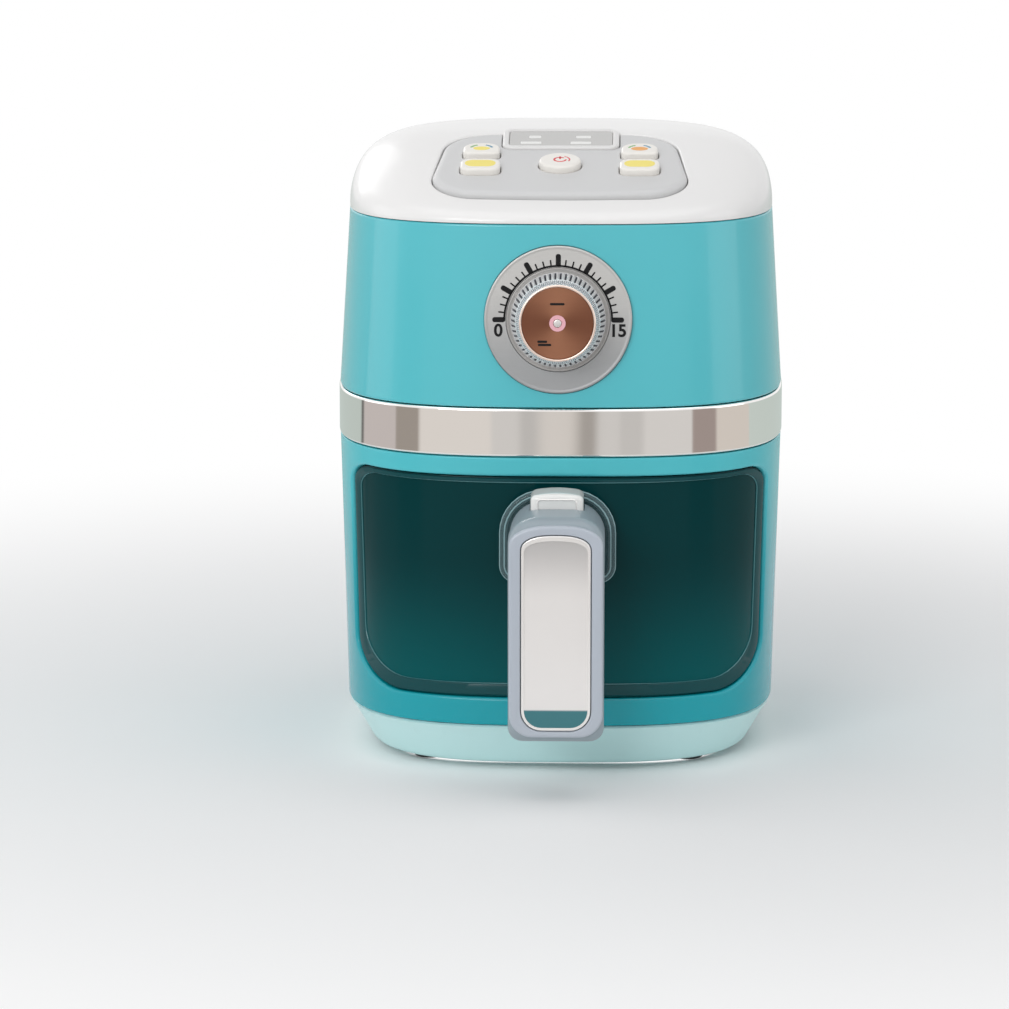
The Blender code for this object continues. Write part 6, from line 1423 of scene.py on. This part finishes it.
def make_handle_body():
    """The handle, with the release button's slot in its neck and the inlay's pocket in its face."""
    blank = grid_mesh("handle_blank", handle_sections(), rows_join=False, caps=True)
    width = RELEASE_HIGH.x - RELEASE_LOW.x + 2 * GAP
    depth = RELEASE_HIGH.y - RELEASE_LOW.y + RELEASE_SLOT_RUN
    centre = (0.0, (RELEASE_HIGH.y + RELEASE_LOW.y) / 2 + RELEASE_SLOT_RUN / 2 - GAP / 2)
    slot = prism(
        "slot", rectangle(width, depth, RELEASE_SLOT_CORNER, centre),
        RELEASE_LOW.z - RELEASE_SLOT_BELOW, RELEASE_HIGH.z + RELEASE_SLOT_ABOVE)
    pocket = prism("pocket", inlay_outline(GAP), AHEAD - POCKET_REACH, AHEAD + POCKET_REACH, FORWARD)
    mesh = carved("handle_body", blank, [slot, pocket])
    piece("handle_body", mesh, "drawer", "handle_plastic", HANDLE_GREY, "handle")


ARCH_POWER = 2.5
ARCH_POINTS = 40
ARCH_STEP = 0.0012
INLAY_RISE = 0.0055
INLAY_FOOT = 0.0070
INLAY_ANGLES = even_angles(0.030, 0.075, 480)
INLAY_MIDDLE = (0.0, (INLAY_LOW.z + INLAY_HIGH.z) / 2)


def arched(half, bottom, top, rise, radius):
    """An outline with round low corners and a flat arch |x/a|^2.5 + |z/b|^2.5 = 1 on top."""
    turn = np.linspace(0.0, math.pi, ARCH_POINTS)
    x = half * np.sign(np.cos(turn)) * np.abs(np.cos(turn)) ** (2.0 / ARCH_POWER)
    z = top - rise + rise * np.abs(np.sin(turn)) ** (2.0 / ARCH_POWER)
    corner = compass(quarter(8) - math.pi)
    left = np.array([radius - half, bottom + radius]) + radius * corner
    right = left[::-1] * (-1.0, 1.0)
    return densified(np.vstack((np.column_stack((x, z)), left, right)), ARCH_STEP)


def inlay_outline(grow):
    """The outline of the bright inlay, grown evenly."""
    half = INLAY_HIGH.x + grow
    return arched(half, INLAY_LOW.z - grow, INLAY_HIGH.z + grow, INLAY_RISE + grow, INLAY_FOOT + grow)


def loft_between(name, *sides):
    """A closed ring on the handle's front between outlines that share their middle, each with its rows."""
    rings = []
    for outline, rows in sides:
        for grow, level in rows:
            spots = seen_outline(outline, INLAY_MIDDLE, INLAY_ANGLES, grow)
            rings.append(np.column_stack((spots, np.full(len(spots), AHEAD + level))))
    return grid_mesh(name, placed(np.stack(rings), FORWARD))


RING_RISE = 0.0078
RING_SIDE = 0.0004
RING_TOP = 0.0022
RING_FOOT = 0.0024
RING_FOOT_RADIUS = 0.0080
RING_EDGE = 0.0009
RING_EDGE_FLAT = 1.2
RING_ROOT = -0.0030
RING_INNER_ROWS = ((0.0006, 0.0), (0.0002, -0.0001), (0.0, -0.0004))


def make_face_ring():
    """The arched face that stands proud round the inlay."""
    outer = arched(
        HANDLE_HALF - RING_SIDE, HANDLE_LOW.z + RING_FOOT, HANDLE_HIGH.z - RING_TOP, RING_RISE,
        RING_FOOT_RADIUS)
    root = (0.0, RING_ROOT)
    mesh = loft_between(
        "face_ring", (outer, [root, *edge_rows(RING_EDGE, 0.0, 8, RING_EDGE_FLAT)]),
        (inlay_outline(GAP), [*RING_INNER_ROWS, root]))
    # The ring's lighter grey is painted light: the handle is one grey moulding.
    piece("face_ring", mesh, "drawer", "handle_plastic", FACE_GREY_PAINTED_LIGHT)


PLATE_INSET = 0.0004
PLATE_ROWS = ((0.0, -0.0014), (0.0, -0.0008), (-0.0002, -0.0006))
BEAD_SIDE = 0.0010
BEAD_TOP = 0.0018
BEAD_EDGE = 0.0004
BEAD_ROOT = -0.0012
BEAD_CREST = -0.0001
BEAD_LIP = -0.0002


def make_inlay_pieces():
    """The mirror-like inlay and the bright bead round it, which is thicker over the arched top."""
    rows = [(inset, AHEAD + level) for inset, level in PLATE_ROWS]
    plate = stacked("inlay_plate", inlay_outline(-PLATE_INSET), rows, FORWARD)
    # The plate's finish carries painted reflections: darker over its top, teal at its foot.
    piece("inlay_plate", plate, "drawer", "inlay_finish", INLAY_PAINTED_REFLECTIONS, "handle_inlay")
    inner = arched(
        INLAY_HIGH.x - BEAD_SIDE, INLAY_LOW.z + BEAD_SIDE, INLAY_HIGH.z - BEAD_TOP, INLAY_RISE - BEAD_SIDE,
        INLAY_FOOT - BEAD_SIDE)
    bright = loft_between(
        "inlay_bead", (inlay_outline(0.0), [(0.0, BEAD_ROOT), *edge_rows(BEAD_EDGE, BEAD_CREST, 4)]),
        (inner, [(0.0, BEAD_LIP), (0.0, BEAD_ROOT)]))
    # The bead's bright silver is a painted highlight on the inlay's edge.
    piece("inlay_bead", bright, "drawer", "inlay_finish", PAINTED_HIGHLIGHT_SILVER)


COLLAR_ARCH = 0.0150
COLLAR_FOOT = 0.0060
COLLAR_LAP = 0.0006
COLLAR_STEP = 0.0008
COLLAR_DEPTH = 0.0040
COLLAR_ROLL = 0.0010
COLLAR_FACE_ROWS = ((-0.0026, 0.0), (-0.0029, -0.0005), (-0.0034, -0.0006))
COLLAR_LINE = 0.00028
COLLAR_LINES = {"outer": (0.0, 0.0010), "inner": (0.0016, 0.0)}


def make_collar_pieces():
    """The clear smoked collar behind the neck: a plate that follows the window, with a thick rolled edge."""
    width, height = COLLAR_HIGH.x - COLLAR_LOW.x + 2 * COLLAR_LAP, COLLAR_HIGH.z - COLLAR_LOW.z + COLLAR_LAP
    middle = np.array([0.0, (COLLAR_HIGH.z + COLLAR_LOW.z + COLLAR_LAP) / 2])
    ahead, seat = AXIS_Y - COLLAR_LOW.y, WINDOW_SUNK - GAP
    radii = np.repeat((COLLAR_FOOT, COLLAR_ARCH), 2)
    outline = densified(rectangle(width, height, radii, middle), COLLAR_STEP)
    rows = [(0.0, ahead - COLLAR_DEPTH)] + edge_rows(COLLAR_ROLL, ahead, 6)
    rows += [(inset, ahead + level) for inset, level in COLLAR_FACE_ROWS]
    centre = np.tile([*middle, rows[-1][1]], (len(outline), 1))
    front = placed(np.stack([ring_at(outline, grow, level) for grow, level in rows] + [centre]), FORWARD)
    inner, outer = (
        front_point(np.column_stack((front_turn(spot[:, 0], spot[:, 1]), spot[:, 1])), seat)
        for spot in (between(middle, outline, 0.5), outline))
    pole = np.tile(inner.mean(axis=0), (len(outline), 1))
    pole[:, 1] = AXIS_Y - lower_half(middle[1]) + seat
    grid = np.concatenate((np.stack([pole, inner, outer]), front))
    mesh = grid_mesh("collar_glass", grid, rows_join=False)
    piece("collar_glass", mesh, "drawer", "collar_plastic", CLEAR_SMOKE, "handle_collar")
    for label, (inset, depth) in COLLAR_LINES.items():
        path = densified(rectangle(width, height, radii, middle, -inset), COLLAR_STEP)
        line = bead("collar_line", path, COLLAR_LINE, ahead - depth, FORWARD)
        piece(f"collar_line_{label}", line, "drawer", "collar_plastic", COLLAR_EDGE)


RELEASE_CORNER = 0.0024
RELEASE_STEP = 0.0012
RELEASE_EDGE = 0.0018
RELEASE_ARCH = 0.0010
RELEASE_TOP_SHARES = (0.8, 0.6, 0.4, 0.2, 0.0)
RECESS_MARGIN = 0.0050
RECESS_HEIGHT = 0.0058
RECESS_CORNER = 0.0012
RECESS_RISE = 0.0004
RECESS_SUNK = 0.00025
RECESS_REACH = 0.0040
RECESS_LINE = 0.00022
RECESS_STEP = 0.0008


def make_release():
    """The release button: its top falls off as (x / half)^2 to the sides, with a panel sunk in its front."""
    width, depth = RELEASE_HIGH.x - RELEASE_LOW.x, RELEASE_HIGH.y - RELEASE_LOW.y
    middle = np.array([0.0, (RELEASE_HIGH.y + RELEASE_LOW.y) / 2])
    rows = [(0.0, 0.0, RELEASE_LOW.z), (0.0, 1.0, RELEASE_LOW.z), (0.0, 1.0, HANDLE_HIGH.z)]
    rows += [(inset, 1.0, level) for inset, level in edge_rows(RELEASE_EDGE, RELEASE_HIGH.z, 8)]
    rows += [(-RELEASE_EDGE, share, RELEASE_HIGH.z) for share in RELEASE_TOP_SHARES]
    outline = densified(rectangle(width, depth, RELEASE_CORNER, middle), RELEASE_STEP)
    rings = []
    for inset, share, level in rows:
        flat = between(middle, ring_at(outline, inset, level)[:, :2], share)
        above = max(level - HANDLE_HIGH.z, 0.0) / (RELEASE_HIGH.z - HANDLE_HIGH.z)
        rings.append(np.column_stack((flat, level - RELEASE_ARCH * above * (2.0 * flat[:, 0] / width) ** 2)))
    blank = grid_mesh("release_blank", np.stack(rings), rows_join=False)
    ahead = AXIS_Y - RELEASE_LOW.y
    place = (0.0, HANDLE_HIGH.z + RECESS_RISE)
    shape = rectangle(width - RECESS_MARGIN, RECESS_HEIGHT, RECESS_CORNER, place)
    recess = prism("recess", shape, ahead - RECESS_SUNK, ahead + RECESS_REACH, FORWARD)
    mesh = carved("release_block", blank, [recess])
    piece("release_block", mesh, "release", "silver_plastic", RELEASE_GREY, "release_button")
    # A bright bead round the sunk panel: a painted highlight along its edge.
    line = bead("release_line", densified(shape, RECESS_STEP), RECESS_LINE, ahead, FORWARD)
    piece("release_line", line, "release", "silver_plastic", PAINTED_HIGHLIGHT_SILVER)


# Basket, tray and feet
TUB_POWER = 4.0
TUB_COLUMNS = 256
TUB_FLOOR_RUN = 0.0300
TUB_RIM_SHARE = 0.48
BASKET_WALL = 0.0018
BASKET_CORNER = 0.0050
TRAY_THICKNESS = 0.0018
TRAY_RIM = 0.0016
TRAY_CORNER = 0.0015
TRAY_INNER_CORNER = 0.0012
TRAY_FOOT = 0.0035
TRAY_FOOT_RADIUS = 0.0040
TRAY_FOOT_PLACE = 0.0400
TRAY_FOOT_RADII = (0.0010, 0.0001)
TRAY_COLUMNS = 5
TRAY_ROWS = 2
TRAY_SLOT = (0.0045, 0.0340)
TRAY_PITCH = 0.0115
TRAY_SLOT_BELOW = 0.0020
TRAY_SLOT_ABOVE = 0.0040
RUBBER_FOOT_RADII = (0.0012, 0.0002)


def tub_mesh(name, low, high, bottom, floor, wall, corner, inner_corner, steps):
    """A flat tub in a box: rings |x/a|^4 + |y/b|^4 = 1 from the middle of its underside, round its rim and in
    to the middle of its floor."""
    corners = [(TUB_FLOOR_RUN, bottom), (0.0, bottom), (0.0, high.z), (wall, high.z), (wall, floor),
               (TUB_FLOOR_RUN, floor)]
    rim = wall * TUB_RIM_SHARE
    rows = rounded(corners, [0.0, corner, rim, rim, inner_corner, 0.0], steps)
    half = np.array([high.x - low.x, high.y - low.y]) / 2
    centre = np.array([high.x + low.x, high.y + low.y]) / 2
    angles = turns(TUB_COLUMNS)
    unit = plan_reach(angles, TUB_POWER)[:, None] * compass(angles)
    sizes = [0.0 * half, *(half - inset for inset in rows[:, 0]), 0.0 * half]
    levels = [bottom, *rows[:, 1], floor]
    rings = [
        np.column_stack((centre + unit * size, np.full(TUB_COLUMNS, level)))
        for size, level in zip(sizes, levels)]
    return grid_mesh(name, np.stack(rings), rows_join=False)


def make_basket_tub():
    """The dark basket."""
    mesh = tub_mesh(
        "basket_tub", BASKET_LOW, BASKET_HIGH, BASKET_LOW.z, BASKET_LOW.z + BASKET_WALL, BASKET_WALL,
        BASKET_CORNER, BASKET_CORNER, 8)
    piece("basket_tub", mesh, "drawer", "liner_plastic", LINER, "basket")


def make_tray_plate():
    """The slotted grill tray with its raised rim and four feet."""
    bottom = TRAY_LOW.z + TRAY_FOOT
    top = bottom + TRAY_THICKNESS
    blank = tub_mesh(
        "tray_blank", TRAY_LOW, TRAY_HIGH, bottom, top, TRAY_RIM, TRAY_CORNER, TRAY_INNER_CORNER, 6)
    centre = (TRAY_LOW.y + TRAY_HIGH.y) / 2
    slots = []
    for row in range(TRAY_ROWS):
        along = centre + (row - (TRAY_ROWS - 1) / 2) * (TRAY_SLOT[1] + TRAY_PITCH / 2)
        for column in range(TRAY_COLUMNS):
            across = (column - (TRAY_COLUMNS - 1) / 2) * TRAY_PITCH
            outline = rectangle(*TRAY_SLOT, TRAY_SLOT[0] * ROUND_END_SHARE, (across, along), steps=5)
            slots.append(prism("slot", outline, bottom - TRAY_SLOT_BELOW, top + TRAY_SLOT_ABOVE))
    mesh = carved("tray_plate", blank, slots)
    piece("tray_plate", mesh, "tray", "tray_metal", TRAY_METAL, "grill_tray")
    profile = soft_profile([(TRAY_FOOT_RADIUS, 0.0), (TRAY_FOOT_RADIUS, TRAY_FOOT)], TRAY_FOOT_RADII)
    feet = [turned("tray_foot", profile, Matrix.Translation((x, centre + y, TRAY_LOW.z)), 32)
            for x in (-TRAY_FOOT_PLACE, TRAY_FOOT_PLACE) for y in (-TRAY_FOOT_PLACE, TRAY_FOOT_PLACE)]
    piece("tray_feet", merged("tray_feet", feet), "tray", "tray_metal", TRAY_METAL)


def make_feet():
    """Four rubber feet with soft edges."""
    for index in range(1, 5):
        low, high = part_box(f"foot_{index}")
        radius = (high.x - low.x) / 2
        place = Matrix.Translation(((low.x + high.x) / 2, (low.y + high.y) / 2, low.z))
        profile = soft_profile([(radius, 0.0), (radius, high.z - low.z)], RUBBER_FOOT_RADII)
        mesh = turned(f"rubber_foot_{index}", profile, place, 64)
        piece(f"rubber_foot_{index}", mesh, "housing", "rubber", RUBBER, f"foot_{index}")


CAD_FINISHES = {
    "battery_door": MINT, "battery_door_screw": STEEL, "base_screw": STEEL, "handle_screw": STEEL,
    "battery_contact": STEEL, "battery": CELL, "power_switch_body": DARK, "power_switch": DARK,
    "bay_liner": LINER, "runner": STEEL, "mid_deck": DARK, "drawer_light": LIGHT_CLEAR,
    "front_carrier": DARK, "speaker": DARK, "dial_shaft": STEEL, "detent_wheel": KEY_WHITE,
    "detent_spring": STEEL, "dial_bracket": DARK, "circuit_board": BOARD,
}


def finish_nodes():
    """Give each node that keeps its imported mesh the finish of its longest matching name."""
    for name, item in frame["nodes"].items():
        match = [key for key in CAD_FINISHES if name.startswith(key)]
        if match:
            item.data.materials.clear()
            item.data.materials.append(CAD_FINISHES[max(match, key=len)])


# Stage: floor, lamps, world and camera
# Painted reflections: grey bands on the floor that only mirror rays see, for the streaks on the bright band.
REFLECTED_BANDS = (
    (-180, (0.76, 0.80, 0.78)), (-112, (0.46, 0.46, 0.45)), (-108, (0.78, 0.75, 0.74)),
    (-68, (0.63, 0.60, 0.57)), (-48, (0.88, 0.86, 0.84)), (-12, (0.83, 0.82, 0.81)),
    (-5, (0.76, 0.75, 0.74)), (-2, (0.86, 0.84, 0.82)), (0.6, (0.66, 0.64, 0.62)),
    (3.6, (0.83, 0.82, 0.81)), (9, (0.79, 0.78, 0.77)), (17, (0.85, 0.84, 0.83)),
    (43, (0.64, 0.59, 0.57)), (62, (0.84, 0.81, 0.78)), (99, (0.79, 0.83, 0.81)))
REFLECTED_BAND_SOFTNESS = 0.7
REFLECTED_BAND_BELT = (0.26, 0.40)
WHITE_BELT = (0.16, 0.60)
FLOOR_REACH = 9.0
FLOOR_OPENING = 0.061
OPENING_EDGE = 0.003
FLOOR_SURFACE = {"Colour": (0.92, 0.92, 0.92, 1.0), "Drift": 0.01}
PURE_WHITE = (1.0, 1.0, 1.0, 1.0)


def seen_ray(tree):
    """One where a camera, mirror or glass ray looks, and nothing where the floor lights the toy."""
    rays = tree.nodes.new("ShaderNodeLightPath").outputs
    mirrored = math_node(tree, "MAXIMUM", rays["Is Glossy Ray"], rays["Is Transmission Ray"])
    return math_node(tree, "MAXIMUM", rays["Is Camera Ray"], mirrored), rays["Is Glossy Ray"]


def mix_shaders(tree, share, first, second):
    """A shader between two others."""
    node = tree.nodes.new("ShaderNodeMixShader")
    for socket, source in zip(node.inputs, (share, first, second)):
        tree.links.new(source, socket)
    return node.outputs[0]


def reflected_band_ramp(tree, turn):
    """The greys of the reflection bands round the toy, by a share of a turn from -0.5 to 0.5, with soft
    edges.
    """
    ramp_node = tree.nodes.new("ShaderNodeValToRGB")
    tree.links.new(math_node(tree, "ADD", turn, 0.5), ramp_node.inputs["Fac"])
    stops = ramp_node.color_ramp.elements
    for stop, position in zip(stops, (0.0, 1.0)):
        stop.position, stop.color = position, srgb(REFLECTED_BANDS[0][1])
    for (_, before), (angle, after) in zip(REFLECTED_BANDS, REFLECTED_BANDS[1:]):
        for shift, colour in ((-REFLECTED_BAND_SOFTNESS, before), (REFLECTED_BAND_SOFTNESS, after)):
            stops.new((angle + shift + 180.0) / 360.0).color = srgb(colour)
    return ramp_node.outputs["Color"]


def make_stage():
    """A pale floor that keeps the shadow and turns white away from the toy.

    It is see-through from below, and open under the toy where |x|^4 + |y|^4 stays under the opening's fourth
    power, so that light reaches the underside. In a belt round the toy, mirror rays see grey bands on it:
    painted reflections, which the camera never sees."""
    corners = np.array([[(-1.0, -1.0, 0.0), (1.0, -1.0, 0.0)], [(-1.0, 1.0, 0.0), (1.0, 1.0, 0.0)]])
    mesh = grid_mesh("floor", FLOOR_REACH * corners, rows_join=False, columns_join=False)
    made, tree, principled = shader("floor_paint", Roughness=0.9)
    tree.links.new(place_group(tree, MOULDING, FLOOR_SURFACE)["Colour"], principled.inputs["Base Color"])
    across, y, _ = split(tree, object_place(tree))
    along = math_node(tree, "SUBTRACT", AXIS_Y, y)
    squares = math_node(
        tree, "ADD", math_node(tree, "MULTIPLY", along, along), math_node(tree, "MULTIPLY", across, across))
    reach = math_node(tree, "SQRT", squares)
    turn = math_node(tree, "DIVIDE", math_node(tree, "ARCTAN2", across, along), math.tau)
    seen, mirrored = seen_ray(tree)
    belt = math_node(tree, "MULTIPLY", smooth_share(tree, reach, *REFLECTED_BAND_BELT), mirrored)
    shine = tree.nodes.new("ShaderNodeEmission")
    tree.links.new(mix_colours(tree, belt, PURE_WHITE, reflected_band_ramp(tree, turn)), shine.inputs["Color"])
    white = math_node(tree, "MULTIPLY", seen, smooth_share(tree, reach, *WHITE_BELT))
    paint = mix_shaders(tree, white, principled.outputs[0], shine.outputs[0])
    fourths = [math_node(tree, "POWER", math_node(tree, "ABSOLUTE", side), 4.0) for side in (across, along)]
    under = smooth_share(
        tree, math_node(tree, "ADD", *fourths), FLOOR_OPENING ** 4, (FLOOR_OPENING - OPENING_EDGE) ** 4)
    backface = tree.nodes.new("ShaderNodeNewGeometry").outputs["Backfacing"]
    clear = tree.nodes.new("ShaderNodeBsdfTransparent").outputs[0]
    whole = mix_shaders(tree, math_node(tree, "MAXIMUM", backface, under), paint, clear)
    tree.links.new(whole, tree.nodes["Material Output"].inputs["Surface"])
    mesh.materials.append(made)
    floor = add_object("floor", mesh)


LAMP_TARGET = Vector((0.0, 0.0, 0.12))
LAMPS = {
    "overhead": ((0.0, -0.25, 1.4), (1.5, 1.3), 5.8),
    "ahead": ((-0.7, -1.65, 0.90), (0.9, 0.7), 10.8),
    "left_side": ((-1.4, 0.05, 0.45), (0.9, 1.1), 2.4),
    "right_side": ((1.4, -0.30, 0.45), (0.9, 1.1), 2.5),
    "back_left": ((-0.8, 1.4, 0.9), (0.8, 0.8), 2.6),
}
ROOM_COLOUR = (0.97, 0.98, 1.0, 1.0)
ROOM_STRENGTH = 0.4


def make_light():
    """Soft studio light: wide lamps above, ahead and at the sides, in a room that is seen as white."""
    world = bpy.data.worlds.new("studio")
    bpy.context.scene.world = world
    world.use_nodes = True
    tree = world.node_tree
    background = tree.nodes["Background"].inputs
    seen, _ = seen_ray(tree)
    tree.links.new(mix_colours(tree, seen, ROOM_COLOUR, PURE_WHITE), background["Color"])
    strength = math_node(tree, "MULTIPLY_ADD", seen, 1.0 - ROOM_STRENGTH, ROOM_STRENGTH)
    tree.links.new(strength, background["Strength"])
    for name, (place, size, power) in LAMPS.items():
        lamp = bpy.data.lights.new(name, "AREA")
        lamp.shape, lamp.size, lamp.size_y, lamp.energy = "RECTANGLE", *size, power
        item = add_object(name, lamp)
        item.location = place
        item.rotation_euler = (LAMP_TARGET - Vector(place)).to_track_quat("-Z", "Y").to_euler()


CAMERA_PLACE = (0.0224, -1.5927, 0.378)
CAMERA_PITCH, CAMERA_TURN = -10.38, 1.53
LENS_LENGTH, SENSOR_WIDTH = 159.63, 36.0


def make_camera():
    """The camera at the photograph's angle: its place, pitch, turn and lens were solved from the seams."""
    lens = bpy.data.cameras.new("camera")
    lens.lens, lens.sensor_width = LENS_LENGTH, SENSOR_WIDTH
    item = add_object("camera", lens)
    item.location = CAMERA_PLACE
    item.rotation_euler = (math.radians(90.0 + CAMERA_PITCH), 0.0, math.radians(CAMERA_TURN))
    bpy.context.scene.camera = item
    bpy.context.scene.view_settings.view_transform = "Standard"


make_camera()
make_upper_wall()
make_band()
make_lower_wall()
make_base_tub()
make_lid_dome()
make_panel_plate()
make_display_pieces()
make_keys()
make_bezel()
make_scale()
make_knob()
make_knob_cap()
make_front_frame()
make_window_pane()
make_window_border()
make_handle_body()
make_face_ring()
make_inlay_pieces()
make_collar_pieces()
make_release()
make_basket_tub()
make_tray_plate()
make_feet()
finish_nodes()
make_stage()
make_light()
